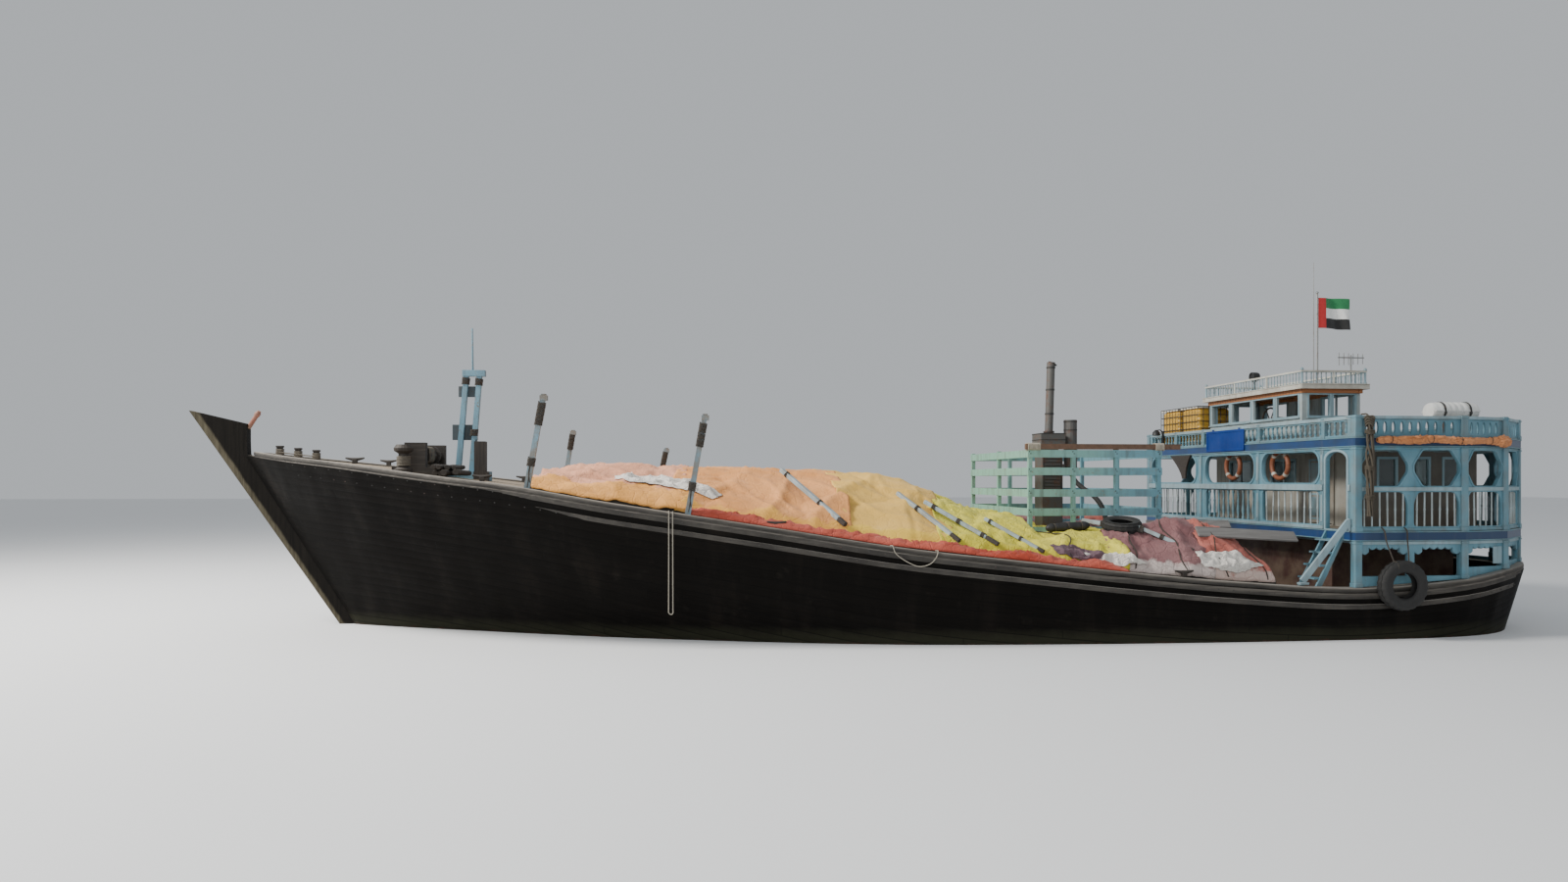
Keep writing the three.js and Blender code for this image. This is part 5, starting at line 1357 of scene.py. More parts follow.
# Loose cloths on top: name, finish, slot, middle, share of the way across, half length, half width, seed
Patch = namedtuple("Patch", "name finish slot x share half_length half_width seed")
PATCHES = [
    Patch("white_plastic_sheet", "plastic", "cover_white", 4.35, 0.110, 1.30, 0.42, 3),
    Patch("purple_rag_sheet", "purple_cloth", "cover_mauve", -4.10, 0.036, 0.60, 0.22, 8),
    Patch("white_rag_sheet", "plastic", "cover_white", -4.80, 0.024, 0.60, 0.16, 14),
    Patch("pale_rag_sheet", "plastic", "cover_white", -7.20, 0.036, 0.70, 0.26, 21),
]


def torn_outline(seed):
    """Distance from the middle of a torn sheet to its edge, as a function of the direction."""
    rng = random.Random(seed)
    sides = [(2 * math.pi * (k + rng.uniform(-0.3, 0.3)) / 5, rng.uniform(0.60, 0.95)) for k in range(5)]

    def edge(angle):
        cuts = [far / math.cos(angle - turn) for turn, far in sides if math.cos(angle - turn) > 0.3]
        return min([1.35] + cuts) * (1 + 0.10 * ripple(math.cos(angle) * 5, math.sin(angle) * 5, seed))

    return edge


class DHOW_OT_covers(bpy.types.Operator):
    """Cloths over the hold, each with its own folds"""

    bl_idname = "dhow.covers"
    bl_label = "Hold covers"

    def execute(self, context):
        settings = context.scene.dhow_cloth
        for order, row in enumerate(CLOTHS):
            self.make_cover(settings, row, order)
        self.make_red_edge()
        for patch in PATCHES:
            self.make_patch(settings, patch)
        return {"FINISHED"}

    def make_cover(self, settings, row, order):
        length = row.fore - row.aft
        across = max(cover_point(x, 0.5)[2]
                     for x in (row.aft + 0.1, (row.aft + row.fore) / 2, row.fore - 0.1))
        nx, ny = round(length / settings.grid), round(across / settings.grid)
        points, uv = [], []
        for i in range(nx + 1):
            for j in range(ny + 1):
                share = j / ny
                wave = 0.14 * ripple(share * 9, row.seed, 4.0)
                x = row.aft + length * i / nx
                x += wave * (1 if i > nx / 2 else -1) * abs(2 * i / nx - 1) ** 3
                p, reach, _ = cover_surface(x, share, settings, order, row)
                points.append(p)
                uv.append((x, reach))
        shape = Shape().add(points, grid_faces(nx, ny), 0, uv)
        material = cloth(row.name + "_cloth", row.color, row.edge, row.hem, rough=row.rough)
        sheet = shape.piece(row.name + "_sheet", [material], merge=False, smooth=60, replaces=(row.name,),
                            slot=row.name)
        state_sheet(sheet, 0.006, length)

    def make_red_edge(self):
        """A red cloth folded along the port rail under the covers."""
        points, uv = [], []
        fore, aft = 4.0, -5.0
        nx, ny = 220, 14
        for i in range(nx + 1):
            x = aft + (fore - aft) * i / nx
            taper = min(1.0, (x - aft) / 0.6, (fore - x) / 0.6)
            for j in range(ny + 1):
                share = j / ny
                y = top_breadth(x) - 0.12 - 0.38 * share
                swell = math.sin(math.pi * share) ** 0.8
                fat = 0.13 + 0.09 * ripple(x * 1.2, 3.0, 0.0)
                z = hull_top(x) + 0.11 + fat * swell * (0.4 + 0.6 * taper)
                z += 0.055 * swell * ridge(Vector((x * 3.6 + share * 2.0, share * 1.6, 1.0))) ** 2
                z += 0.020 * swell * ripple(x * 9.0, share * 4, 1.0)
                y += 0.07 * ripple(x * 2.1, share * 2, 8.0) * (0.3 + share)
                points.append((x, y, z))
                uv.append((x, share))
        strip = Shape().add(points, grid_faces(nx, ny), 0, uv).piece(
            "red_under_sheet", [finish_of("red_cloth")], merge=False, smooth=60, slot="cover_salmon")
        state_sheet(strip, 0.006, fore - aft)

    def make_patch(self, settings, patch):
        """A loose cloth of ragged outline, crumpled on the cover under it."""
        rings, spokes = 22, 72
        row = cloth_at(patch.x)
        points, uv, faces = [], [], []
        girth = cover_point(patch.x, patch.share)[2]
        outline = torn_outline(patch.seed)
        for i in range(rings + 1):
            for j in range(spokes):
                angle = 2 * math.pi * j / spokes
                out = i / rings * outline(angle)
                x = patch.x + patch.half_length * out * math.cos(angle)
                share = patch.share + patch.half_width / girth * out * math.sin(angle)
                p, normal = cloth_top(x, max(share, 0.004), settings)
                at = Vector((x * 1.5, share * girth * 1.7, patch.seed))
                folds = 0.070 * ridge(at * 1.7) ** 2 + 0.035 * ridge(at * 4.0) ** 2
                rim = min(1.0, (1 - i / rings) * 4)
                points.append(p + normal * (0.022 + folds * (0.3 + 0.7 * rim)))
                uv.append((x, share * girth))
        for i in range(rings):
            for j in range(spokes):
                k = (j + 1) % spokes
                a, b = i * spokes, (i + 1) * spokes
                faces.append((a + j, b + j, b + k, a + k))
        sheet = Shape().add(points, faces, 0, uv).piece(
            patch.name, [finish_of(patch.finish)], smooth=60, slot=patch.slot)
        area = sheet_area(sheet)
        thicken(sheet, 0.004)


# Free ropes over the port rail: x, distance out from the rail's edge, height over its top
ROPE_LOOP = [
    (4.340, -0.240, 0.0001), (4.340, -0.170, 0.001), (4.340, -0.100, 0.006), (4.340, -0.010, 0.010),
    (4.339, 0.018, 0.0), (4.338, 0.026, -0.040), (4.338, 0.022, -0.140), (4.339, 0.014, -0.900),
    (4.342, 0.014, -1.880), (4.342, 0.014, -1.969), (4.3364, 0.014, -1.990), (4.321, 0.014, -2.0054),
    (4.300, 0.014, -2.011), (4.279, 0.014, -2.0054), (4.2636, 0.014, -1.990), (4.258, 0.014, -1.969),
    (4.258, 0.014, -1.880), (4.261, 0.014, -0.900),
    (4.263, 0.022, -0.140), (4.262, 0.026, -0.040), (4.261, 0.018, 0.0), (4.260, -0.010, 0.010),
    (4.260, -0.100, 0.006), (4.260, -0.170, 0.001), (4.260, -0.240, 0.0001),
]
ROPE_SAG = [
    (-0.060, -0.240, 0.0001), (-0.060, -0.170, 0.001), (-0.060, -0.100, 0.006), (-0.062, -0.010, 0.010),
    (-0.068, 0.014, 0.0), (-0.080, 0.020, -0.040), (-0.120, 0.018, -0.130), (-0.340, 0.014, -0.270),
    (-0.600, 0.014, -0.340), (-0.820, 0.014, -0.260), (-0.930, 0.014, -0.130), (-0.962, 0.020, -0.040),
    (-0.970, 0.014, 0.0), (-0.974, -0.010, 0.010), (-0.976, -0.100, 0.006), (-0.976, -0.170, 0.001),
    (-0.976, -0.240, 0.0001),
]
ROPE_R = 0.010


class DHOW_OT_free_ropes(bpy.types.Operator):
    """Two loose ropes that hang over the near rail"""

    bl_idname = "dhow.free_ropes"
    bl_label = "Free ropes"

    def execute(self, context):
        for name, route in (("rope_loop", ROPE_LOOP), ("rope_sag", ROPE_SAG)):
            points = [(x, top_breadth(x) + 0.08 + ROPE_R + out, hull_top(x) + 0.10 + ROPE_R + rise)
                      for x, out, rise in route]
            path = soft_path(points, 0.012)
            shape = Shape().tube(path, ROPE_R, 9, strands=3, lay=0.07)
            rope = shape.piece(name + "_laid", [finish_of("rope")], replaces=(name,), slot="rope")
        return {"FINISHED"}


# Superstructure: walls of the port side and quarter as pairs of corners with their numbers of bays
WALLS = list(zip(GALLERY_PLAN, GALLERY_PLAN[1:], (2, 1, 1, 1)))
STERN_CORNER = GALLERY_PLAN[-1]
TRANSOM = (STERN_CORNER, (STERN_CORNER[0], -STERN_CORNER[1]), 3)
OPEN_LOW, OPEN_HIGH = 3.18, 3.93
BARS_LOW, BARS_HIGH = 2.31, 3.06
BAR_LENGTH = BARS_HIGH - BARS_LOW - 0.03
PILLAR = 0.14
POST = 0.155
FRONT_X = -9.90
FRONT_WALL = (FRONT_X, -4.5), (FRONT_X, 4.5)
FrontBay = namedtuple("FrontBay", "u0 u1 kind")
FRONT_BAYS = [FrontBay(0.22, 2.70, "bars"), FrontBay(3.20, 5.42, "turned"), FrontBay(5.75, 7.87, "bars"),
              FrontBay(8.10, 8.78, "door")]


def bay_lines(length, bays):
    pitch = (length - 0.04) / bays
    return [(0.02 + i * pitch + PILLAR / 2, 0.02 + (i + 1) * pitch - PILLAR / 2) for i in range(bays)]


def bar_hole(u0, u1, knee=0.10, drop=0.22):
    """The opening for the bars, with a bracket of the board left in each upper corner."""
    low, high = BARS_LOW + 0.02, BARS_HIGH - 0.01
    return rounded([(u0, low), (u1, low), (u1, high - drop), (u1 - knee, high), (u0 + knee, high),
                    (u0, high - drop)], 0.08)


def ring_board(shape, place, outline, hole, thick, out, finish=0):
    """A thin board with one hole, standing out from a wall."""
    shape.board(outline, [hole], thick, place @ Matrix.Translation((0, 0, out)), finish, 0.004)


def grown(outline, by):
    """An outline moved outwards from its middle by a distance on each side."""
    us, vs = [p[0] for p in outline], [p[1] for p in outline]
    mid_u, mid_v = (min(us) + max(us)) / 2, (min(vs) + max(vs)) / 2
    su = (max(us) - min(us) + 2 * by) / (max(us) - min(us))
    sv = (max(vs) - min(vs) + 2 * by) / (max(vs) - min(vs))
    return [(mid_u + (u - mid_u) * su, mid_v + (v - mid_v) * sv) for u, v in outline]


def iron_bar(height):
    """One thin painted bar with a collar at its middle."""
    r = 0.017
    profile = [(r, 0.0), (r, height * 0.47), (r * 1.35, height * 0.485), (r * 1.35, height * 0.515),
               (r, height * 0.53), (r, height)]
    return Shape().turned(profile, (0, 0, 0), 6)


def baluster(height, fat=1.0):
    """One turned wooden baluster."""
    profile = [(0.034, 0.0), (0.034, 0.09), (0.018, 0.12), (0.038, 0.28), (0.041, 0.36), (0.019, 0.56),
               (0.031, 0.62), (0.018, 0.68), (0.024, 0.88), (0.034, 0.91), (0.034, 1.0)]
    return Shape().turned([(r * fat, h * height) for r, h in profile], (0, 0, 0), 8)


def wall_row(part, a, b, u0, u1, low, pitch, seed, tilt=0.0):
    """Copies of a part between two places along a wall's line."""
    place = wall_matrix(a, b)
    count = max(1, int((u1 - u0) / pitch))
    step = (u1 - u0) / count
    start = place @ Vector((u0 + step / 2, low, 0))
    along = (place @ Vector((1, 0, 0)) - place @ Vector((0, 0, 0))) * step
    return row_of(part, count, tuple(start), tuple(along), tilt=(tilt, tilt, 0), seed=seed)


def gallery_wall(settings, boards, trims, bars, a, b, bays):
    """One straight wall of the gallery: sawn board, mouldings and iron bars."""
    place = wall_matrix(a, b)
    length = wall_length(a, b)
    half = settings.board / 2
    holes = []
    for i, (u0, u1) in enumerate(bay_lines(length, bays)):
        cut = min(settings.opening_cut, (u1 - u0) * 0.28)
        eye = rounded(octagon(u0, u1, OPEN_LOW, OPEN_HIGH, cut, settings.opening_rise), 0.05)
        holes += [eye, bar_hole(u0, u1)]
        ring_board(boards, place, grown(eye, 0.030), eye, 0.020, half + 0.004)
        bars.join(wall_row(iron_bar(BAR_LENGTH), a, b, u0, u1, BARS_LOW + 0.015, settings.bar_pitch,
                           i + round(u1 * 10), 0.012))
    boards.board(rectangle(0, length, FLOOR_TOP + CLEAR, UPPER_LOW - CLEAR), holes, settings.board, place, 0)
    for v0, v1, out, finish in ((3.075, 3.155, 0.035, 1), (2.236, 2.300, 0.022, 0),
                                (3.955, 3.996, 0.020, 0)):
        trims.box((0.0, v0, half - 0.004), (length, v1, half + out), finish, place)
    trims.box((0.0, 3.10, -half - 0.02), (length, 3.15, -half + 0.004), 1, place)


def square_post(shape, at, low, high, side, finish=0, turn=0.0, cap=0.0):
    """A square post with a foot block and a head block, and a low pyramid on it where it stands free."""
    place = Matrix.Translation((at[0], at[1], 0)) @ Matrix.Rotation(turn, 4, "Z")
    h = side / 2
    shape.box((-h, -h, low), (h, h, high), finish, place)
    shape.box((-h - 0.012, -h - 0.012, low), (h + 0.012, h + 0.012, low + 0.09), finish, place)
    shape.box((-h - 0.012, -h - 0.012, high - 0.06), (h + 0.012, h + 0.012, high - 0.02), finish, place)
    if cap:
        shape.turned([(h * 1.35, high), (h * 1.1, high + cap * 0.3), (h * 0.5, high + cap * 0.5),
                      (h * 0.62, high + cap * 0.8), (h * 0.2, high + cap)], (at[0], at[1], 0), 10, finish)


def plan_posts(side_shape, stern_shape, low_at, high, side):
    """Square posts at the corners of the gallery's plan, two of them turned to their walls."""
    for i, at in enumerate(GALLERY_PLAN):
        turn = 0.0
        if i in (2, 3):
            before = GALLERY_PLAN[i - 1]
            turn = math.atan2(before[1] - at[1], before[0] - at[0])
        square_post(side_shape if i < 2 else stern_shape, at, low_at(at[0]), high, side, 0, turn)


def blues():
    return [finish_of("blue"), finish_of("pale_blue")]


def wall_pieces(kind, side, boards, trim):
    """The boards and the trim of one side of the house."""
    boards.piece(f"{kind}_boards_{side}", blues(), replaces=(f"{kind}_{side}",), slot="blue_paint",
                 smooth=30)
    trim.piece(f"{kind}_trim_{side}", blues(), bevel=0.008, slot="blue_paint")


def both_sides(kind, boards, trim):
    wall_pieces(kind, "starboard", Shape().join(boards, MIRRORED), Shape().join(trim, MIRRORED))
    wall_pieces(kind, "port", boards, trim)


class DHOW_OT_gallery(bpy.types.Operator):
    """Gallery round the stern: boards with openings, mouldings, posts and bars"""

    bl_idname = "dhow.gallery"
    bl_label = "Gallery"

    def execute(self, context):
        settings = context.scene.dhow_house
        bars, side, side_trim, stern, stern_trim = (Shape() for _ in range(5))
        for i, (a, b, bays) in enumerate(WALLS):
            boards, trim = (side, side_trim) if i < 2 else (stern, stern_trim)
            gallery_wall(settings, boards, trim, bars, a, b, bays)
        plan_posts(side_trim, stern_trim, lambda x: FLOOR_TOP + CLEAR, UPPER_LOW - CLEAR, POST)
        both_sides("gallery", side, side_trim)
        for shape in (stern, stern_trim, bars):
            shape.mirror()
        gallery_wall(settings, stern, stern_trim, bars, *TRANSOM)
        wall_pieces("gallery", "stern", stern, stern_trim)
        bars.piece("gallery_bars", [finish_of("bars")], slot="blue_paint", smooth=50)
        self.make_front()
        return {"FINISHED"}

    def make_front(self):
        """The wall across the front, with its bays and an arched doorway."""
        place = wall_matrix(*FRONT_WALL)
        boards, trims, bars, turned = Shape(), Shape(), Shape(), Shape()
        holes = []
        half = 0.045
        for i, bay in enumerate(FRONT_BAYS):
            if bay.kind == "door":
                high = OPEN_HIGH - 0.02
                mid, rise = (bay.u0 + bay.u1) / 2, (bay.u1 - bay.u0) / 2
                arch = [(bay.u0, FLOOR_TOP + 0.02), (bay.u1, FLOOR_TOP + 0.02)]
                arch += [(mid + rise * math.cos(t), high - rise * 0.55 + rise * 0.55 * math.sin(t))
                         for t in (k * math.pi / 12 for k in range(13))]
                holes.append(arch)
                ring_board(boards, place, grown(arch, 0.05), arch, 0.03, half + 0.008, 1)
                continue
            eye = rounded(octagon(bay.u0, bay.u1, OPEN_LOW + 0.06, OPEN_HIGH, 0.15, 0.17), 0.12)
            holes += [eye, bar_hole(bay.u0, bay.u1, 0.05, 0.06)]
            ring_board(boards, place, grown(eye, 0.045), eye, 0.026, half + 0.006)
            between = (*FRONT_WALL, bay.u0, bay.u1, BARS_LOW + 0.015)
            if bay.kind == "turned":
                turned.join(wall_row(baluster(BAR_LENGTH), *between, 0.205, 3, 0.006))
            else:
                bars.join(wall_row(iron_bar(BAR_LENGTH), *between, 0.235, i + 2, 0.02))
        boards.board(rectangle(0.082, 8.918, FLOOR_TOP + CLEAR, UPPER_LOW - CLEAR), holes, 0.09, place)
        for u0, u1 in ((0.09, 8.02), (8.86, 8.91)):
            for v0, v1, out in ((3.075, 3.205, 0.05), (2.236, 2.305, 0.03)):
                trims.box((u0, v0, half - 0.004), (u1, v1, half + out), 1, place)
        trims.box((0.09, 3.955, half - 0.004), (8.91, 3.996, half + 0.03), 0, place)
        wide, panel = 0.055, 0.055 * 0.55
        for u in (0.15, 2.95, 5.58, 7.98):
            for v0, v1 in ((2.305, 3.075), (3.205, 3.955)):
                trims.box((u - wide, v0, half - 0.004), (u + wide, v1, half + 0.022), 0, place)
                trims.box((u - panel, v0 + 0.09, half + 0.02), (u + panel, v1 - 0.09, half + 0.034), 1,
                          place)
        wall_pieces("gallery", "front", boards, trims)
        bars.piece("gallery_front_bars", [finish_of("bars")], slot="blue_paint", smooth=50)
        turned.piece("gallery_front_balusters", blues(), slot="blue_paint", smooth=50)


def screen_wall(shape, a, b, bays, foot):
    """Pillars over the rail with a scalloped valance under the gallery floor."""
    place = wall_matrix(a, b)
    length = wall_length(a, b)
    pitch = length / bays
    sill = max(foot(0.0), foot(length)) + 0.07
    holes = []
    for i in range(bays):
        u0, u1 = i * pitch + PILLAR / 2 + 0.01, (i + 1) * pitch - PILLAR / 2 - 0.01
        arch = [(u0, sill), (u1, sill), (u1, 1.66)]
        count = max(3, round((u1 - u0) / 0.17))
        wide = (u1 - u0) / count
        for k in range(count):
            start = u1 - k * wide
            drop = 0.10 if k in (0, count - 1) else 0.0
            arch += [(start - wide * t / 6, 1.90 - drop - 0.055 * math.sin(math.pi * t / 6))
                     for t in range(7)]
        holes.append([*arch, (u0, 1.66)])
    top = FLOOR_LOW - CLEAR
    steps = 6
    low = [(length * i / steps, foot(length * i / steps)) for i in range(steps + 1)]
    shape.board([*low, (length, top), (0, top)], holes, 0.075, place, 0)


class DHOW_OT_screens(bpy.types.Operator):
    """Pillars and valance between the hull's rail and the gallery"""

    bl_idname = "dhow.screens"
    bl_label = "Screens"

    def execute(self, context):
        def foot_of(a, b):
            length = wall_length(a, b)
            return lambda u: hull_top(a[0] + (b[0] - a[0]) * u / length) + RAIL_TOP

        side, side_trim, stern, stern_trim = (Shape() for _ in range(4))
        for i, (a, b, bays) in enumerate(WALLS):
            boards, trim = (side, side_trim) if i < 2 else (stern, stern_trim)
            screen_wall(boards, a, b, bays, foot_of(a, b))
            trim.box((0, 1.955, 0.034), (wall_length(a, b), 2.024, 0.058), 1, wall_matrix(a, b))
        plan_posts(side_trim, stern_trim, lambda x: hull_top(x) + RAIL_TOP, FLOOR_LOW - CLEAR, POST)
        both_sides("screen", side, side_trim)
        stern.mirror()
        stern_trim.mirror()
        screen_wall(stern, *TRANSOM, lambda u: SECTIONS[0].z_top + 0.003)
        wall_pieces("screen", "stern", stern, stern_trim)
        return {"FINISHED"}


def rail_wall(boards, trims, a, b):
    """Upper rail: a board with a row of oval gaps under a wide cap."""
    place = wall_matrix(a, b)
    length = wall_length(a, b)
    pitch = 0.19
    count = int((length - 0.2) / pitch)
    start = (length - count * pitch) / 2
    gaps = [oval(start + (i + 0.5) * pitch, 4.40, 0.042, 0.135, 12) for i in range(count)]
    boards.board(rectangle(0, length, UPPER_TOP + CLEAR, 4.60), gaps, 0.05, place, 0, 0.004)
    trims.box((0, 4.585, -0.062), (length, 4.648, 0.062), 1, place)
    trims.box((0, 4.562, -0.040), (length, 4.587, 0.040), 0, place)
    trims.box((0, UPPER_TOP + CLEAR, 0.024), (length, UPPER_TOP + 0.045, 0.042), 0, place)


class DHOW_OT_upper_rail(bpy.types.Operator):
    """Rail round the upper deck, turned balusters in front and oval gaps on the sides"""

    bl_idname = "dhow.upper_rail"
    bl_label = "Upper rail"

    def execute(self, context):
        looks = blues()
        boards, trims = Shape(), Shape()
        for a, b, _ in WALLS:
            rail_wall(boards, trims, a, b)
        plan_posts(trims, trims, lambda x: UPPER_TOP + CLEAR, TOP_RAIL + 0.01, 0.15)
        boards.mirror()
        trims.mirror()
        rail_wall(boards, trims, *TRANSOM[:2])
        boards.piece("upper_rail_boards", looks, replaces=("upper_rail_aft",), slot="blue_paint", smooth=30)
        trims.piece("upper_rail_caps", looks, bevel=0.010, slot="blue_paint")
        place = wall_matrix(*FRONT_WALL)
        front, turned = Shape(), Shape()
        front.box((0.082, 4.575, -0.062), (8.918, 4.648, 0.062), 1, place)
        front.box((0.082, UPPER_TOP + CLEAR, -0.045), (8.918, UPPER_TOP + 0.055, 0.045), 0, place)
        front.box((0.082, 4.54, -0.035), (8.918, 4.576, 0.035), 0, place)
        posts = [0.16, 1.60, 3.05, 5.60, 8.00, 8.84]
        for u in posts:
            square_post(front, (FRONT_X, -4.5 + u), UPPER_TOP + CLEAR, 4.66, 0.11)
        for i, (u0, u1) in enumerate(zip(posts, posts[1:])):
            turned.join(wall_row(baluster(0.285, 0.9), *FRONT_WALL, u0 + 0.06, u1 - 0.06, UPPER_TOP + 0.055,
                                 0.165, i + 11, 0.006))
        front.piece("upper_rail_front_frame", looks, bevel=0.008, replaces=("upper_rail_front",),
                    slot="blue_paint")
        turned.piece("upper_rail_balusters", looks, slot="blue_paint", smooth=50)
        return {"FINISHED"}


def edge_path(out, z):
    """The edge of the deck slabs as a closed run of points."""
    port = [(-9.82, 4.58), (-12.31, 4.58), (-13.54, 4.28), (-14.67, 3.40), (-15.18, 2.22)]
    middle = Vector((-12.4, 0.0))
    ring = [Vector(p) for p in port + [(x, -y) for x, y in reversed(port)]]
    return [(*(p + (p - middle).normalized() * out), z) for p in ring]


class DHOW_OT_deck_edges(bpy.types.Operator):
    """Mouldings along the deck edges and beams under the decks"""

    bl_idname = "dhow.deck_edges"
    bl_label = "Deck edges"

    def execute(self, context):
        edges, beams = Shape(), Shape()
        for low, high in ((FLOOR_LOW, FLOOR_TOP), (UPPER_LOW, UPPER_TOP)):
            for z, wide, tall in ((high - 0.010, 0.024, 0.022), (low + 0.010, 0.018, 0.020)):
                ring = edge_path(0.004, z)
                for a, b in pairs(ring):
                    edges.beam(a, b, wide, tall)
        for i in range(9):
            x = -10.25 - 0.55 * i
            half = 4.3 if x > -13.0 else 4.3 - (abs(x) - 13.0) * 0.95
            beams.box((x - 0.04, -half, 3.935), (x + 0.04, half, 3.997))
            beams.box((x - 0.05, -half + 0.1, 1.945), (x + 0.05, half - 0.1, 2.027))
        edges.piece("deck_edge_mouldings", [finish_of("blue")], bevel=0.005, slot="blue_paint")
        beams.piece("deck_beams", [finish_of("pale_blue")], bevel=0.006, slot="blue_paint")
        return {"FINISHED"}


def window(frames, panes, place, u0, u1, v0, v1, thick, lights=2):
    """A window in a wall: frame, glazing bars and, where they are asked for, dusty panes."""
    lap = 0.035
    outer = rectangle(u0 - lap, u1 + lap, v0 - lap, v1 + lap)
    inner = rectangle(u0 + 0.02, u1 - 0.02, v0 + 0.02, v1 - 0.02)
    frames.board(outer, [inner], thick + 0.03, place, 0, 0.004)
    for k in range(1, lights):
        u = u0 + (u1 - u0) * k / lights
        frames.box((u - 0.016, v0, -0.022), (u + 0.016, v1, 0.022), 0, place)
    frames.box((u0 - lap - 0.01, v0 - lap - 0.012, -thick / 2 - 0.02),
               (u1 + lap + 0.01, v0 - lap + 0.012, thick / 2 + 0.045), 0, place)
    if panes:
        panes.box((u0, v0, -0.003), (u1, v1, 0.003), 0, place)


def panelled_door(shape, place, u0, u1, v0, v1, out):
    """Rails and panels on one face of a door leaf."""
    mid = v0 + (v1 - v0) * 0.45
    for low, high in ((v0 + 0.1, mid - 0.05), (mid + 0.05, v1 - 0.12)):
        shape.board(rectangle(u0 + 0.07, u1 - 0.07, low - 0.03, high + 0.03),
                    [rectangle(u0 + 0.12, u1 - 0.12, low + 0.02, high - 0.02)], 0.016,
                    place @ Matrix.Translation((0, 0, out)), 0, 0.004)
        shape.box((u0 + 0.16, low + 0.06, out - 0.008), (u1 - 0.16, high - 0.06, out + 0.006), 0, place)


# Sill and head of the windows, and thickness of their walls
CABIN_LIGHTS = (3.15, 3.80, 0.06)
HOUSE_LIGHTS = (4.80, 5.33, 0.06)


def side_wall(fore, aft, y):
    """Frame of a wall along the boat, seen from outside on either side."""
    return wall_matrix((fore, y), (aft, y)) if y > 0 else wall_matrix((aft, y), (fore, y))


def door_pieces(name, place, leaf, grip, plate):
    """The panels of a door and the handle on its plate, which ride on the door."""
    panels, handle = Shape(), Shape()
    panelled_door(panels, place, *leaf, 0.021)
    panels.piece(name + "_panels", [finish_of("pale_blue")], body=name, slot="blue_paint", smooth=30)
    handle.tube(grip, 0.009, 8)
    handle.box(*plate)
    handle.piece(name + "_handle", [finish_of("steel")], body=name, bevel=0.002, slot="stack_steel")


class DHOW_OT_houses(bpy.types.Operator):
    """Windows and doors of the cabin and the wheelhouse"""

    bl_idname = "dhow.houses"
    bl_label = "Cabin and wheelhouse"

    def execute(self, context):
        frames, panes = Shape(), Shape()
        cabin_front = wall_matrix((-11.10, -2.9), (-11.10, 2.9))
        for y0, y1 in ((-0.30, 0.70), (-2.20, -1.20)):
            window(frames, panes, cabin_front, y0 + 2.9, y1 + 2.9, *CABIN_LIGHTS)
        for side in (1, -1):
            place = side_wall(-11.13, -14.0, side * 2.87)
            for x in (-11.60, -12.40, -13.20):
                u = -11.13 - x if side > 0 else x - 0.45 + 14.0
                window(frames, panes, place, u, u + 0.45, *CABIN_LIGHTS, 1)
        cabin_back = wall_matrix((-14.0, 2.9), (-14.0, -2.9))
        for u in (1.3, 3.9):
            window(frames, panes, cabin_back, u, u + 0.6, *CABIN_LIGHTS)
        house_front = wall_matrix((-10.40, -2.0), (-10.40, 2.0))
        for i in range(4):
            window(frames, None, house_front, 0.04 + 0.975 * i, 0.96 + 0.975 * i, *HOUSE_LIGHTS, 1)
        for side in (1, -1):
            place = side_wall(-10.43, -11.80, side * 1.97)
            for u0, u1 in ((0.10, 0.655), (0.715, 1.28)):
                if side < 0:
                    u0, u1 = 1.37 - u1, 1.37 - u0
                window(frames, None, place, u0, u1, *HOUSE_LIGHTS, 1)
        house_back = wall_matrix((-11.80, 2.0), (-11.80, -2.0))
        for u0 in (0.3, 2.7):
            window(frames, None, house_back, u0, u0 + 1.0, *HOUSE_LIGHTS)
        frames.piece("window_frames", [finish_of("pale_blue")], slot="blue_paint", smooth=30)
        panes.piece("window_panes", [finish_of("glass")], slot="white_paint")
        grip = [(-11.03, 1.30, 3.02), (-10.99, 1.30, 3.02), (-10.985, 1.34, 3.02), (-10.985, 1.40, 3.02)]
        door_pieces("cabin_door", wall_matrix((-11.045, 1.23), (-11.045, 2.16)),
                    (0.0, 0.90, 2.29, 3.90), grip, ((-11.03, 1.275, 2.95), (-11.020, 1.325, 3.09)))
        grip = [(-11.87, -0.31, 4.85), (-11.91, -0.31, 4.85), (-11.915, -0.27, 4.85), (-11.915, -0.21, 4.85)]
        door_pieces("wheelhouse_door", wall_matrix((-11.855, 0.41), (-11.855, -0.37)),
                    (0.03, 0.78, 4.26, 5.35), grip, ((-11.882, -0.335, 4.78), (-11.872, -0.285, 4.92)))
        return {"FINISHED"}


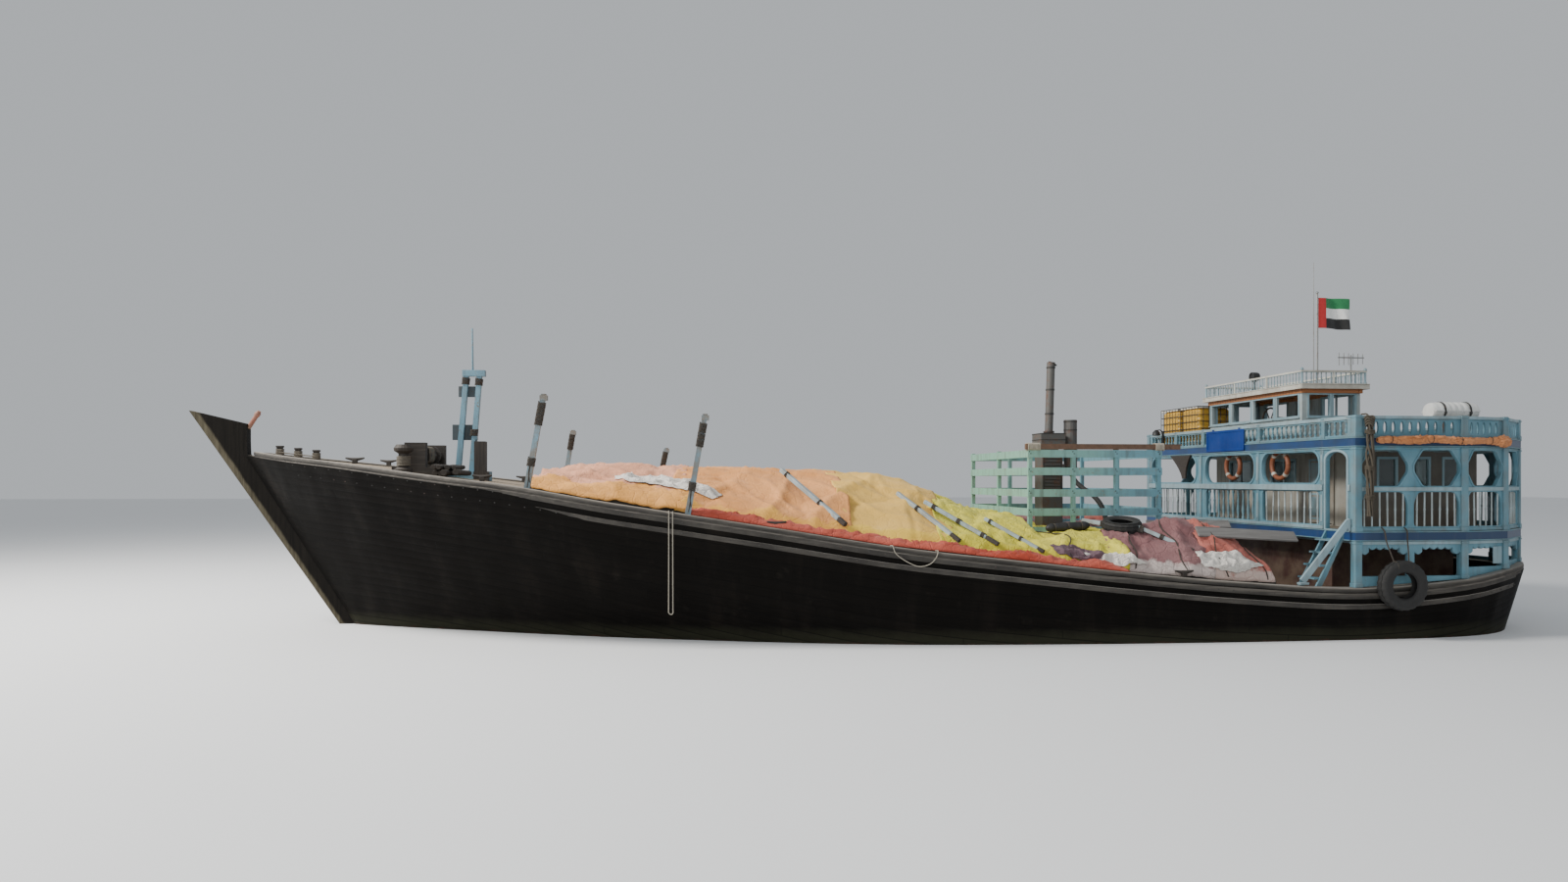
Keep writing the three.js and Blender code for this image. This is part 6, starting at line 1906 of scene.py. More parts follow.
class DHOW_OT_roof(bpy.types.Operator):
    """Fascia, ceiling boards and fine balusters of the wheelhouse roof"""

    bl_idname = "dhow.roof"
    bl_label = "Wheelhouse roof"

    def execute(self, context):
        x0, x1, half = -11.95, -10.25, 2.15
        fascia = Shape()
        for (ax, ay), (bx, by) in pairs(rectangle(x0, x1, -half, half)):
            fascia.beam((ax, ay, 5.485), (bx, by, 5.485), 0.036, 0.10)
            fascia.beam((ax, ay, 5.548), (bx, by, 5.548), 0.060, 0.022)
        fascia.piece("roof_fascia", [finish_of("roof")], bevel=0.006, slot="roof_paint")
        ceiling = Shape()
        count = 14
        for i in range(count):
            aft = x0 + 0.02 + (x1 - x0 - 0.04) * i / count
            fore = aft + (x1 - x0 - 0.04) / count - 0.006
            ceiling.box((aft, -half + 0.02, 5.434), (fore, half - 0.02, 5.4495))
        low, high, out = 5.345, 5.433, 0.058
        ceiling.box((-10.44, -2.0 - out, low), (-10.40 + out, 2.0 + out, high))
        ceiling.box((-11.80 - out, -2.0 - out, low), (-11.76, 2.0 + out, high))
        for side in (1, -1):
            inner, outer = sorted((side * 1.98, side * (2.0 + out)))
            ceiling.box((-11.755, inner, low), (-10.445, outer, high))
        ceiling.piece("roof_ceiling", [finish_of("roof_under")], bevel=0.003, slot="red_brown_paint")
        rail = Shape()
        low, top = 5.54, 5.83
        stick = Shape().turned([(0.015, 0.0), (0.015, 0.06), (0.010, 0.08), (0.017, 0.15), (0.010, 0.22),
                                (0.014, 0.24), (0.014, 0.295)], (0, 0, 0), 6)
        inner = half - 0.06
        aft, fore = x0 + 0.06, x1 - 0.06
        for (ax, ay), (bx, by) in (((fore, -inner), (fore, inner)), ((aft, inner), (aft, -inner)),
                                   ((fore, inner), (aft, inner)), ((aft, -inner), (fore, -inner))):
            length = wall_length((ax, ay), (bx, by))
            rail.join(wall_row(stick, (ax, ay), (bx, by), 0.05, length - 0.05, low, 0.12, 5, 0.01))
            rail.beam((ax, ay, 5.835), (bx, by, 5.835), 0.046, 0.030)
            rail.beam((ax, ay, 5.556), (bx, by, 5.556), 0.036, 0.028)
        for sx in (aft, fore):
            for sy in (-inner, inner):
                rail.turned([(0.036, low), (0.036, low + 0.05), (0.026, low + 0.07), (0.026, top + 0.03),
                             (0.040, top + 0.05), (0.030, top + 0.09), (0.008, top + 0.11)], (sx, sy, 0), 10)
        rail.piece("roof_rail_bars", [finish_of("pale_blue")], slot="blue_paint", smooth=50)
        lamp = Shape()
        lamp.turned([(0.03, 5.54), (0.03, 5.80), (0.05, 5.81), (0.05, 5.83)], (-10.42, 0.0, 0), 12)
        lamp.turned([(0.10, -0.10), (0.115, -0.06), (0.115, 0.08), (0.10, 0.085), (0.09, 0.06)],
                    (-10.42, 0.0, 5.93), 18, 0, (1, 0, 0))
        lamp.piece("search_lamp", [finish_of("lamp")], slot="stack_steel", smooth=40)
        return {"FINISHED"}


# Deck gear
def roll_radius(x):
    """Outer radius of the rolled awning along the deck's edge, with a bulge at its after end."""
    uneven = 0.032 * ripple(x * 1.3, 2.0, 0.0) + 0.014 * ripple(x * 4.2, 7.0, 0.0)
    bulge = 0.055 * math.exp(-((x + 13.25) / 0.20) ** 2)
    ties = sum(math.exp(-((x - tie) / 0.045) ** 2) for tie in AWNING_TIES)
    return (0.092 + uneven + bulge) * (1 - 0.09 * min(ties, 1.0))


def awning_line(x):
    """Middle of the roll: it lies against the rail's foot and sags a little between its ties."""
    corner = -12.31
    y = 4.580 if x > corner else 4.580 + (x - corner) * 0.236
    sag = 0.010 * math.sin(x * 5.3) + 0.012 * math.sin(x * 2.1)
    return Vector((x, y + roll_radius(x), 4.135 + sag))


AWNING_TIES = (-10.55, -11.45, -12.10, -12.92)
AWNING_FORE, AWNING_AFT = -10.24, -13.44


class DHOW_OT_awning(bpy.types.Operator):
    """Awning rolled up and tied along the edge of the upper deck"""

    bl_idname = "dhow.awning"
    bl_label = "Rolled awning"

    def execute(self, context):
        turns, layers, count = 2.2, 56, 150
        points, uv = [], []
        for i in range(count + 1):
            x = AWNING_FORE + (AWNING_AFT - AWNING_FORE) * i / count
            centre = awning_line(x)
            outer = roll_radius(x)
            closed = min(1.0, 0.55 + 0.45 * math.sqrt(min(i, count - i) / 4))
            for j in range(layers + 1):
                t = j / layers
                angle = 2 * math.pi * turns * t + 0.5 * ripple(x * 1.1, 4.0, 0.0)
                r = outer * (0.60 + 0.34 * t)
                at = Vector((x * 3.4 + 0.5 * angle, math.cos(angle) * 1.3, math.sin(angle) * 1.3 + 3.0 * t))
                fold = ridge(at + Vector((0, x * 2.0, 0)))
                r += outer * (0.46 * fold**1.3 - 0.32) * t + 0.008 * noise.noise(at * 4.0)
                r = min(r, outer * 1.02) * closed
                points.append(centre + Vector((0, math.cos(angle), math.sin(angle))) * r)
                uv.append((x, t))
        roll = Shape().add(points, grid_faces(count, layers), 0, uv).piece(
            "awning_cloth", [finish_of("canvas")], merge=False, smooth=60, slot="awning_orange",
            replaces=("awning_roll",))
        state_sheet(roll, 0.002, AWNING_FORE - AWNING_AFT)
        ties = Shape()
        for x in AWNING_TIES:
            centre, r = awning_line(x), roll_radius(x) + 0.004
            ring = [centre + Vector((0.0022 * a - 0.007, r * math.cos(a), r * math.sin(a)))
                    for a in (2 * math.pi * k / 18 for k in range(20))]
            ties.tube(ring, 0.006, 6, strands=3, lay=0.03)
            ties.tube([centre + Vector((0, -0.06, 0.060)), centre + Vector((0, -0.12, 0.075))], 0.006, 6)
        ties.piece("awning_ties", [finish_of("dark_rope")], slot="rope")
        return {"FINISHED"}


class DHOW_OT_flag(bpy.types.Operator):
    """Flag on its staff, with a hoist rope and a truck"""

    bl_idname = "dhow.flag"
    bl_label = "Flag"

    def execute(self, context):
        wide, tall, nu, nv = 0.86, 0.74, 44, 30
        luff, y, top = -11.4583, 1.0, 7.78
        points, uv = [], []
        for i in range(nu + 1):
            u = i / nu
            for j in range(nv + 1):
                v = j / nv
                wave = 0.075 * u**0.8 * math.sin(u * 7.6 + v * 1.3) + 0.02 * u * math.sin(u * 15 + v * 5)
                sag = 0.05 * u * u
                z = top - (1 - v) * tall - sag * (1 - 0.4 * v) + 0.01 * math.sin(v * 9) * u
                points.append((luff - 0.004 - u * 0.79, y + wave, z))
                uv.append((u, v))
        flag = Shape().add(points, grid_faces(nu, nv), 0, uv).piece(
            "flag_cloth", [finish_of("flag")], merge=False, smooth=80, replaces=("flag",), slot="flag_cloth")
        state_sheet(flag, 0.002, wide)
        gear = Shape()
        gear.turned([(0.018, 7.88), (0.034, 7.895), (0.036, 7.915), (0.012, 7.935)], (-11.44, y, 0), 12)
        gear.tube([(-11.462, y + 0.012, 5.75), (-11.462, y + 0.010, 6.6), (-11.462, y + 0.008, 7.86)],
                  0.004, 6)
        gear.box((-11.47, y - 0.02, 5.9), (-11.45, y + 0.02, 5.96))
        gear.piece("flag_gear", [finish_of("galvanised")], slot="stack_steel")
        return {"FINISHED"}


class DHOW_OT_tanks(bpy.types.Operator):
    """Plastic tanks in their pipe cages on wooden pallets"""

    bl_idname = "dhow.tanks"
    bl_label = "Water tanks"

    def execute(self, context):
        x0, x1 = -11.12, -10.08
        bottle, cage, pallet, lids = Shape(), Shape(), Shape(), Shape()
        for y0, y1 in ((-4.24, -3.22), (-3.12, -2.15)):
            mx, my = (x0 + x1) / 2, (y0 + y1) / 2
            hx, hy = (x1 - x0) / 2, (y1 - y0) / 2
            rows = [(4.33, 0.86), (4.36, 0.90)]
            for k in range(7):
                z = 4.42 + 0.115 * k
                rows += [(z, 0.925), (z + 0.03, 0.90), (z + 0.06, 0.90), (z + 0.09, 0.925)]
            rows += [(5.24, 0.90), (5.28, 0.84), (5.305, 0.70)]
            outline = rounded(rectangle(-hx, hx, -hy, hy), 0.13, 5)
            bottle.skin([[(mx + u * share, my + v * share, z) for u, v in outline] for z, share in rows])
            lids.turned([(0.10, 5.30), (0.10, 5.35), (0.085, 5.355), (0.085, 5.375), (0.02, 5.38)],
                        (mx, my, 0), 20)
            for aft, low, fore, high in ((x0 + 0.02, y0 + 0.02, x1 - 0.02, y0 + 0.16),
                                         (x0 + 0.02, y1 - 0.16, x1 - 0.02, y1 - 0.02),
                                         (x0 + 0.02, y0 + 0.162, x0 + 0.16, y1 - 0.162),
                                         (x1 - 0.16, y0 + 0.162, x1 - 0.02, y1 - 0.162)):
                lids.box((aft, low, 5.300), (fore, high, 5.335))
            corners = rectangle(x0 + 0.015, x1 - 0.015, y0 + 0.015, y1 - 0.015)
            for z in (4.36, 4.55, 4.74, 4.93, 5.12, 5.345):
                for a, b in pairs(corners):
                    cage.tube([(*a, z), (*b, z)], 0.011, 8)
            for (ax, ay), (bx, by) in pairs(corners):
                post = Shape().turned([(0.010, 0.0), (0.010, 0.985)], (0, 0, 0), 6)
                cage.join(row_of(post, 6, (ax, ay, 4.36), ((bx - ax) / 6, (by - ay) / 6, 0)))
            for k in range(3):
                at = y0 + 0.03 + k * (y1 - y0 - 0.16) / 2
                pallet.box((x0, at, 4.205), (x1, at + 0.10, 4.225))
                for left, right in ((x0 + 0.01, x0 + 0.15), (x1 - 0.15, x1 - 0.01), (mx - 0.07, mx + 0.07)):
                    pallet.box((left, at, 4.225), (right, at + 0.10, 4.305))
            for k in range(6):
                at = x0 + k * (x1 - x0 - 0.12) / 5
                pallet.box((at, y0, 4.305), (at + 0.12, y1, 4.327))
        bottle.piece("tank_bottles", [finish_of("tank")], replaces=("water_tanks",), slot="tank_amber",
                     smooth=50)
        lids.piece("tank_lids", [finish_of("tank_top")], bevel=0.004, slot="raft_white")
        cage.piece("tank_cages", [finish_of("dark_steel")], slot="stack_steel", smooth=50)
        pallet.piece("tank_pallets", [finish_of("deck")], bevel=0.003, slot="deck_wood")
        return {"FINISHED"}


class DHOW_OT_raft(bpy.types.Operator):
    """Life raft canister with ribs, lashed down in its cradle"""

    bl_idname = "dhow.raft"
    bl_label = "Life raft"

    def execute(self, context):
        aft, fore, y, z, r = -13.18, -12.08, 3.8, 4.8, 0.205
        length = fore - aft
        profile = [(0.05, 0.0), (r * 0.80, 0.012), (r * 0.90, 0.05), (r * 0.93, 0.10)]
        step = (length - 0.28) / 6
        for k in range(6):
            at = 0.14 + k * step
            profile += [(r * 0.93, at), (r * 0.99, at + step * 0.2), (r * 0.99, at + step * 0.7),
                        (r * 0.93, at + step * 0.9)]
        profile += [(r * 0.93, length - 0.10), (r * 0.90, length - 0.05), (r * 0.80, length - 0.012),
                    (0.05, length)]
        shell = Shape().turned(profile, (aft, y, z), 32, 0, (1, 0, 0))
        for side in (1, -1):
            seam = y + side * (r - 0.004)
            shell.box((aft + 0.03, seam - 0.010, z - 0.013), (fore - 0.03, seam + 0.010, z + 0.013))
        shell.piece("raft_canister", [finish_of("raft")], replaces=("life_raft",), slot="raft_white",
                    smooth=35)
        cradle = Shape()
        for x in (fore - 0.25, aft + 0.25):
            cradle.box((x - 0.03, y - 0.21, 4.202), (x + 0.03, y + 0.21, 4.25))
            for side in (1, -1):
                foot, head = (x, y + side * 0.19, 4.23), (x, y + side * 0.13, 4.66)
                cradle.beam(foot, head, 0.05, 0.035, 0, (1, 0, 0))
            centre = Vector((x, y, z))
            ring = circle(centre, (0, 0.211, 0), (0, 0, 0.211), 28)
            for a, b in zip(ring, ring[1:]):
                cradle.beam(a, b, 0.045, 0.005, 0, tuple((a + b) / 2 - centre))
            cradle.box((x - 0.02, y + 0.185, z - 0.07), (x + 0.02, y + 0.225, z - 0.01))
        for side in (1, -1):
            foot = y + side * 0.19
            cradle.beam((aft + 0.25, foot, 4.232), (fore - 0.25, foot, 4.232), 0.04, 0.035)
        cradle.piece("raft_cradle", [finish_of("dark_steel")], bevel=0.003, slot="stack_steel")
        return {"FINISHED"}


class DHOW_OT_tyre(bpy.types.Operator):
    """Tyre fender with its tread and the ropes that carry it"""

    bl_idname = "dhow.tyre"
    bl_label = "Tyre fender"

    def execute(self, context):
        x0, y0, z0 = -10.69, 4.813, 1.13
        tyre_shape(x0, y0, z0, 0.52, 0.27, 0.13, (0, 1, 0)).piece(
            "tyre_rubber", [finish_of("rubber")], replaces=("tyre_fender",), slot="fender_rubber", smooth=40)
        ropes = Shape()
        for side in (-1, 1):
            turn = circle((x0 + side * 0.165, y0 - 0.01, z0 + 0.375), (0, 0, 0.118), (0.012, 0.128, 0), 20)
            ropes.tube(turn, 0.016, 8, strands=3, lay=0.09)
            top = soft_path([(x0 + side * 0.165, y0 - 0.03, z0 + 0.49), (x0 + side * 0.20, 4.73, 1.80),
                             (x0 + side * 0.235, 4.66, 2.02), (x0 + side * 0.25, 4.63, 2.22),
                             (x0 + side * 0.255, 4.60, 2.27), (x0 + side * 0.256, 4.54, 2.31)], 0.03)
            ropes.tube(top, 0.015, 8, strands=3, lay=0.09)
        ropes.piece("tyre_slings", [finish_of("dark_rope")], slot="rope")
        return {"FINISHED"}


TREAD_DEEP = 0.016


def tyre_shape(x0, y0, z0, outer, hole, half, axis, sides=72):
    """A tyre: bead, sidewall with ribs, shoulder blocks and a grooved tread."""
    groove = outer - TREAD_DEEP
    wall = [(hole, 0.55), (hole + 0.018, 0.80), (hole + 0.04, 0.92), (hole + 0.09, 0.995),
            (hole + 0.13, 0.97), (hole + 0.15, 1.0), (outer - 0.05, 0.86), (groove, 0.70),
            (outer - 0.002, 0.45), (groove, 0.40), (groove, 0.32), (outer, 0.28)]
    inside = [(hole + 0.03, 0.50), (outer - 0.06, 0.55)]
    far = [(r, half * share) for r, share in [*reversed(wall), *inside]]
    profile = [(r, -half * share) for r, share in wall] + far
    profile += [(r, -half * share) for r, share in reversed(inside)]
    turn = Vector((0, 0, 1)).rotation_difference(Vector(axis)).to_matrix()
    points, faces = [], []
    count = len(profile)
    for i in range(sides):
        angle = 2 * math.pi * i / sides
        for k, (radius, height) in enumerate(profile):
            r = radius - (TREAD_DEEP if i % 3 == 0 and 6 < k < 17 else 0.0)
            p = turn @ Vector((r * math.cos(angle), r * math.sin(angle), height))
            points.append(p + Vector((x0, y0, z0)))
    for i in range(sides):
        j = (i + 1) % sides
        for k in range(count):
            m = (k + 1) % count
            faces.append((i * count + k, j * count + k, j * count + m, i * count + m))
    return Shape().add(points, faces)


def lashing(shape, centre, axis, half, turns, thick, seed=1):
    """Turns of rope wound round a square post."""
    axis = Vector(axis).normalized()
    side = axis.cross(Vector((0, 1, 0))).normalized()
    other = axis.cross(side).normalized()
    outline = rounded(rectangle(-half, half, -half, half), half * 0.5, 3)
    total = len(outline)
    path = []
    for i in range(turns * total + 1):
        u, v = outline[i % total]
        grow = 1 + thick / half
        along = (i / total - turns / 2) * thick * 1.9
        along += 0.3 * thick * math.sin(i * 0.7 + seed)
        path.append(Vector(centre) + side * u * grow + other * v * grow + axis * along)
    shape.tube(path, thick, 6, strands=3, lay=0.06)


class DHOW_OT_post_lashings(bpy.types.Operator):
    """Lashings on the posts along the rails and on the stub mast"""

    bl_idname = "dhow.post_lashings"
    bl_label = "Post lashings"

    def execute(self, context):
        ropes = Shape()
        posts = ((7.18, 1, 0.34, 5.03), (3.98, 1, 0.36, 4.62), (7.26, -1, 0.25, 4.66),
                 (4.80, -1, 0.30, 4.20))
        for i, (x, side, lean, top) in enumerate(posts):
            y = side * (top_breadth(x) - 0.14)
            foot = hull_top(x) + 0.10
            run = Vector((-lean, 0, top - foot))
            for share, turns in ((0.28, 7), (0.74, 11), (0.86, 8)):
                lashing(ropes, Vector((x, y, foot)) + run * share, run, 0.056, turns, 0.013, i)
            for k in range(2):
                start = Vector((x, y, foot)) + run * 0.30
                tail = ((0.02, 0.06, -0.06), (0.05, 0.075, -0.25 - 0.1 * k),
                        (0.03 + 0.05 * k, 0.07, -0.45 - 0.1 * k))
                ropes.tube(soft_path([start + Vector(p) for p in tail], 0.03), 0.010, 6)
        for (x0, x1), zs in (((9.29, 9.09), (5.62,)), ((8.98, 8.79), (4.42, 5.60))):
            for z in zs:
                share = (z - 3.67) / 2.07
                lashing(ropes, (x0 + (x1 - x0) * share, 0, z), (x1 - x0, 0, 2.07), 0.060, 6, 0.014, z)
        ropes.piece("post_lashings", [finish_of("dark_rope")], slot="rope")
        wraps = Shape()
        lashing(wraps, (9.97, 0.30, 3.881), (0, 1, 0.001), 0.150, 9, 0.022, 3)
        wraps.piece("windlass_turns", [finish_of("worn_rope")], body="windlass_barrel", slot="rope")
        return {"FINISHED"}


class DHOW_OT_bow_gear(bpy.types.Operator):
    """Logs by the windlass, mooring turns, the peg at the stem head and its lashings"""

    bl_idname = "dhow.bow_gear"
    bl_label = "Bow gear"

    def execute(self, context):
        rng = random.Random(4)
        logs = Shape()
        for i in range(9):
            x = 9.40 - 0.13 * (i % 5)
            z = hull_top(9.2) + 0.17 + 0.115 * (i // 5)
            y0, y1 = 0.62 + rng.uniform(-0.1, 0.1), 1.9 + rng.uniform(-0.3, 0.2)
            r = rng.uniform(0.050, 0.068)
            path = [(x, y0 + (y1 - y0) * t / 4, z + 0.01 * math.sin(t + i)) for t in range(5)]
            logs.tube(path, [r * rng.uniform(0.9, 1.08) for _ in path], 10)
        logs.piece("spare_logs", [finish_of("dark_wood")], bevel=0.004, slot="oiled_wood")
        peg = Shape()
        foot, tip = Vector((13.94, 0.0, 4.49)), Vector((13.70, 0.0, 4.88))
        peg.tube([foot, foot.lerp(tip, 0.8), tip], [0.050, 0.050, 0.042], 12)
        peg.turned([(0.060, 0.0), (0.064, 0.02), (0.064, 0.07), (0.056, 0.09)],
                   tuple(foot.lerp(tip, 0.72)), 12, 0, tuple(tip - foot))
        peg.piece("stem_peg", [finish_of("peg")], slot="red_brown_paint", smooth=40)
        cleats = Shape()
        for x, y in ((11.2, 1.25), (8.2, 2.72), (-6.2, 4.37), (2.2, 4.07)):
            z = hull_top(x) + 0.103
            for side in (1, -1):
                cleats.box((x - 0.05, side * y - 0.04, z), (x + 0.05, side * y + 0.04, z + 0.10))
                cleats.tube([(x - 0.20, side * y, z + 0.125), (x - 0.07, side * y, z + 0.10),
                             (x + 0.07, side * y, z + 0.10), (x + 0.20, side * y, z + 0.125)],
                            [0.018, 0.034, 0.034, 0.018], 10)
        cleats.piece("deck_cleats", [finish_of("dark_wood")], bevel=0.006, slot="oiled_wood")
        turns = Shape()
        bx, by, bz = 10.15, 1.33, hull_top(10.15) + 0.06
        path = []
        for k in range(7 * 20):
            a = 2 * math.pi * k / 20
            path.append((bx + 0.135 * math.cos(a), by + 0.135 * math.sin(a), bz + 0.14 + 0.030 * k / 20))
        turns.tube(path, 0.016, 6, strands=3, lay=0.08)
        bitts = Shape()
        for x in (13.25, 12.85, 12.45):
            deck = hull_top(x) + 0.061
            bitts.box((x - 0.055, -0.055, deck), (x + 0.055, 0.055, deck + 0.24))
            bitts.box((x - 0.070, -0.070, deck + 0.20), (x + 0.070, 0.070, deck + 0.24))
            lashing(turns, (x, 0, deck + 0.10), (0.001, 0, 1), 0.056, 5, 0.014, x)
        for a, b in ((13.25, 12.85), (12.85, 12.45)):
            turns.tube([(x, 0.072, hull_top(x) + 0.15) for x in (a, b)], 0.014, 8, strands=3, lay=0.09)
        bitts.piece("fore_bitts", [finish_of("dark_wood")], bevel=0.006, slot="oiled_wood")
        turns.piece("mooring_turns", [finish_of("worn_rope")], slot="rope")
        return {"FINISHED"}


def rest_on_cloths(a, b, half, settings):
    """Ends of a straight bar that lies on the cloths between two places given by x and y."""
    def under(x, y):
        height = cloth_height(x, y, settings)
        return max(height, hull_top(x) + 0.12) if abs(y) > top_breadth(x) - 0.5 else height

    a_z, b_z = under(*a), under(*b)
    lift = 0.0
    for k in range(1, 16):
        t = k / 16
        x, y = a[0] + (b[0] - a[0]) * t, a[1] + (b[1] - a[1]) * t
        lift = max(lift, under(x, y) - (a_z + (b_z - a_z) * t))
    rise = half + lift * 0.92
    return Vector((*a, a_z + rise)), Vector((*b, b_z + rise))


# Spars on the cloths: inner end, outer end and half their thickness
Spar = namedtuple("Spar", "inner outer half")
SPARS = [
    Spar((1.95, 2.55), (0.80, 4.05), 0.046), Spar((-0.55, 2.75), (-1.55, 4.08), 0.042),
    Spar((-1.10, 2.95), (-2.35, 4.12), 0.040), Spar((-2.35, 3.20), (-3.30, 4.15), 0.036),
    Spar((-4.70, 2.75), (-5.70, 3.60), 0.040), Spar((-5.55, 3.45), (-6.55, 4.10), 0.040),
]


class DHOW_OT_hold_gear(bpy.types.Operator):
    """Spars, planks, lashings, a wrapped bundle and a flat tyre lying on the cloths"""

    bl_idname = "dhow.hold_gear"
    bl_label = "Gear on the hold"

    def execute(self, context):
        settings = context.scene.dhow_cloth
        spars, ropes = Shape(), Shape()
        for i, spar in enumerate(SPARS):
            a, b = rest_on_cloths(spar.inner, spar.outer, spar.half, settings)
            dark = a.lerp(b, 0.90 - 0.03 * (i % 3))
            spars.beam(a, dark, spar.half * 2, spar.half * 2)
            spars.beam(dark, b, spar.half * 2.02, spar.half * 2.02, 1)
            along = (b - a).normalized()
            for share in ((0.10, 0.62), (0.34,), (0.14, 0.48, 0.80))[i % 3]:
                lashing(ropes, a.lerp(b, share), along, spar.half + 0.002, 3 + i % 3, 0.009, i)
        spars.piece("loose_spars", [finish_of("spar"), finish_of("dark_wood")], bevel=0.010,
                    slot="post_blue")
        ropes.piece("spar_lashings", [finish_of("dark_rope")], slot="rope")
        self.make_planks(settings)
        self.make_ties(settings)
        self.make_bundle(settings)
        ground = cloth_height(-5.40, 3.20, settings)
        flat = tyre_shape(-5.40, 3.20, ground + 0.085, 0.42, 0.23, 0.11, (0.05, 0.20, 1), 60)
        flat.piece("spare_tyre", [finish_of("rubber")], slot="fender_rubber", smooth=40)
        return {"FINISHED"}

    def make_planks(self, settings):
        planks = Shape()
        for inner, outer, wide, over in (((-6.80, 3.78), (-7.85, 3.80), 0.27, 2.1),
                                         ((-6.45, 2.25), (-7.60, 2.40), 0.22, 1.6)):
            a, b = rest_on_cloths(inner, outer, 0.055, settings)
            a.z += 0.055
            b.z = a.z + (b.z - a.z) * 0.2
            planks.beam(a, a + (b - a) * over, wide, 0.050, 0, (0, 0.70, 0.72))
        planks.piece("gang_planks", [finish_of("grey_wood")], bevel=0.006, slot="weathered_wood")

    def make_ties(self, settings):
        """Tarred ropes drawn tight over the after cloths, from one rail to the other."""
        ties = Shape()
        for x0, x1, end in ((-5.35, -5.75, 0.5), (-6.35, -6.05, 0.5), (-7.05, -7.55, 0.5),
                            (-7.95, -7.35, 0.5), (-3.95, -3.55, 0.42)):
            path = []
            for k in range(61):
                t = k / 60
                x = x0 + (x1 - x0) * t + 0.13 * math.sin(9 * t + x0) + 0.07 * math.sin(31 * t + 2 * x0)
                p, normal = cloth_top(x, end * t, settings)
                path.append(p + normal * 0.016)
            smooth = [(path[max(k - 2, 0)] + path[max(k - 1, 0)] + path[k] + path[min(k + 1, 60)]
                       + path[min(k + 2, 60)]) / 5 + Vector((0, 0, 0.008)) for k in range(61)]
            ties.tube(smooth, 0.014, 8, strands=3, lay=0.08)
        ties.piece("cover_ties", [finish_of("dark_rope")], slot="rope", smooth=60)

    def make_bundle(self, settings):
        """A dark bundle tied up lengthways, lying on the after cloths."""
        a, b = rest_on_cloths((-3.75, 3.05), (-4.75, 3.05), 0.085, settings)
        bundle, bands = Shape(), Shape()
        count = 40
        path = [a.lerp(b, k / count) for k in range(count + 1)]
        radii = []
        for k in range(count + 1):
            t = k / count
            round_end = math.sqrt(max(1 - abs(2 * t - 1) ** 6, 0.02))
            pinch = 1 - 0.18 * sum(math.exp(-((t - tie) / 0.03) ** 2) for tie in (0.2, 0.5, 0.8))
            radii.append(0.100 * round_end * pinch * (1 + 0.06 * math.sin(17 * t)))
        bundle.tube(path, radii, 20)
        along = (b - a).normalized()
        side = along.cross(Vector((0, 0, 1))).normalized()
        up = side.cross(along)
        for tie in (0.2, 0.5, 0.8):
            centre = a.lerp(b, tie)
            bands.tube(circle(centre, side * 0.088, up * 0.088, 20), 0.008, 6)
        bundle.piece("dark_bundle", [finish_of("tarpaulin")], slot="rope", smooth=60)
        bands.piece("bundle_bands", [finish_of("hose")], slot="rope")


class DHOW_OT_stack_details(bpy.types.Operator):
    """Louvres, flanges, straps and the flap of the exhaust stack"""

    bl_idname = "dhow.stack_details"
    bl_label = "Stack details"

    def execute(self, context):
        s = Shape()
        x = -5.0
        for side in (1, -1):
            for k in range(9):
                ends = [(x + end, side * 0.268, 3.15 + 0.085 * k) for end in (-0.20, 0.20)]
                s.beam(*ends, 0.028, 0.010, 0, (0, side * 0.7, 1))
            inner, outer = sorted((side * 0.258, side * 0.272))
            for left, right in ((x - 0.24, x - 0.205), (x + 0.205, x + 0.24)):
                s.box((left, inner, 3.08), (right, outer, 3.93))
        flange = rounded(rectangle(x - 0.32, x + 0.32, -0.32, 0.32), 0.02)
        bore = rectangle(x - 0.30, x + 0.30, -0.30, 0.30)
        for z in (4.15, 4.30, 4.45):
            s.board(flange, [bore], 0.02, Matrix.Translation((0, 0, z)), 0, 0.003)
        for z, r in ((4.50, 0.135), (4.95, 0.112), (5.55, 0.110), (6.10, 0.112)):
            leaning = x - 0.06 * (z - 4.4) / 1.83
            s.turned([(r - 0.005, z - 0.02), (r, z - 0.018), (r, z + 0.018), (r - 0.005, z + 0.02)],
                     (leaning, 0, 0), 20)
        s.board(oval(0, 0, 0.118, 0.118, 20), [], 0.008, Matrix.Translation((x - 0.10, 0, 6.20))
                @ Matrix.Rotation(math.radians(-28), 4, "Y"), 0, 0.002)
        for z in (3.62, 4.05, 4.55, 4.76):
            s.turned([(0.160, z - 0.014), (0.168, z - 0.012), (0.168, z + 0.012), (0.160, z + 0.014)],
                     (x - 0.56, 0, 0), 24)
        s.piece("stack_fittings", [finish_of("dark_steel")], bevel=0.002, slot="stack_steel", smooth=40)
        hose = Shape()
        path = soft_path([(-5.56, 0.0, 3.52), (-5.57, 0.25, 3.30), (-5.60, 0.70, 3.10), (-5.66, 1.10, 2.95),
                          (-5.72, 1.45, 2.70), (-5.76, 1.60, 2.40), (-5.78, 1.66, 2.16)], 0.03)
        radii = [0.055 + 0.006 * (i % 2) for i in range(len(path))]
        hose.tube(path, radii, 12)
        hose.piece("vent_duct", [finish_of("rubber")], slot="fender_rubber", smooth=60)
        return {"FINISHED"}


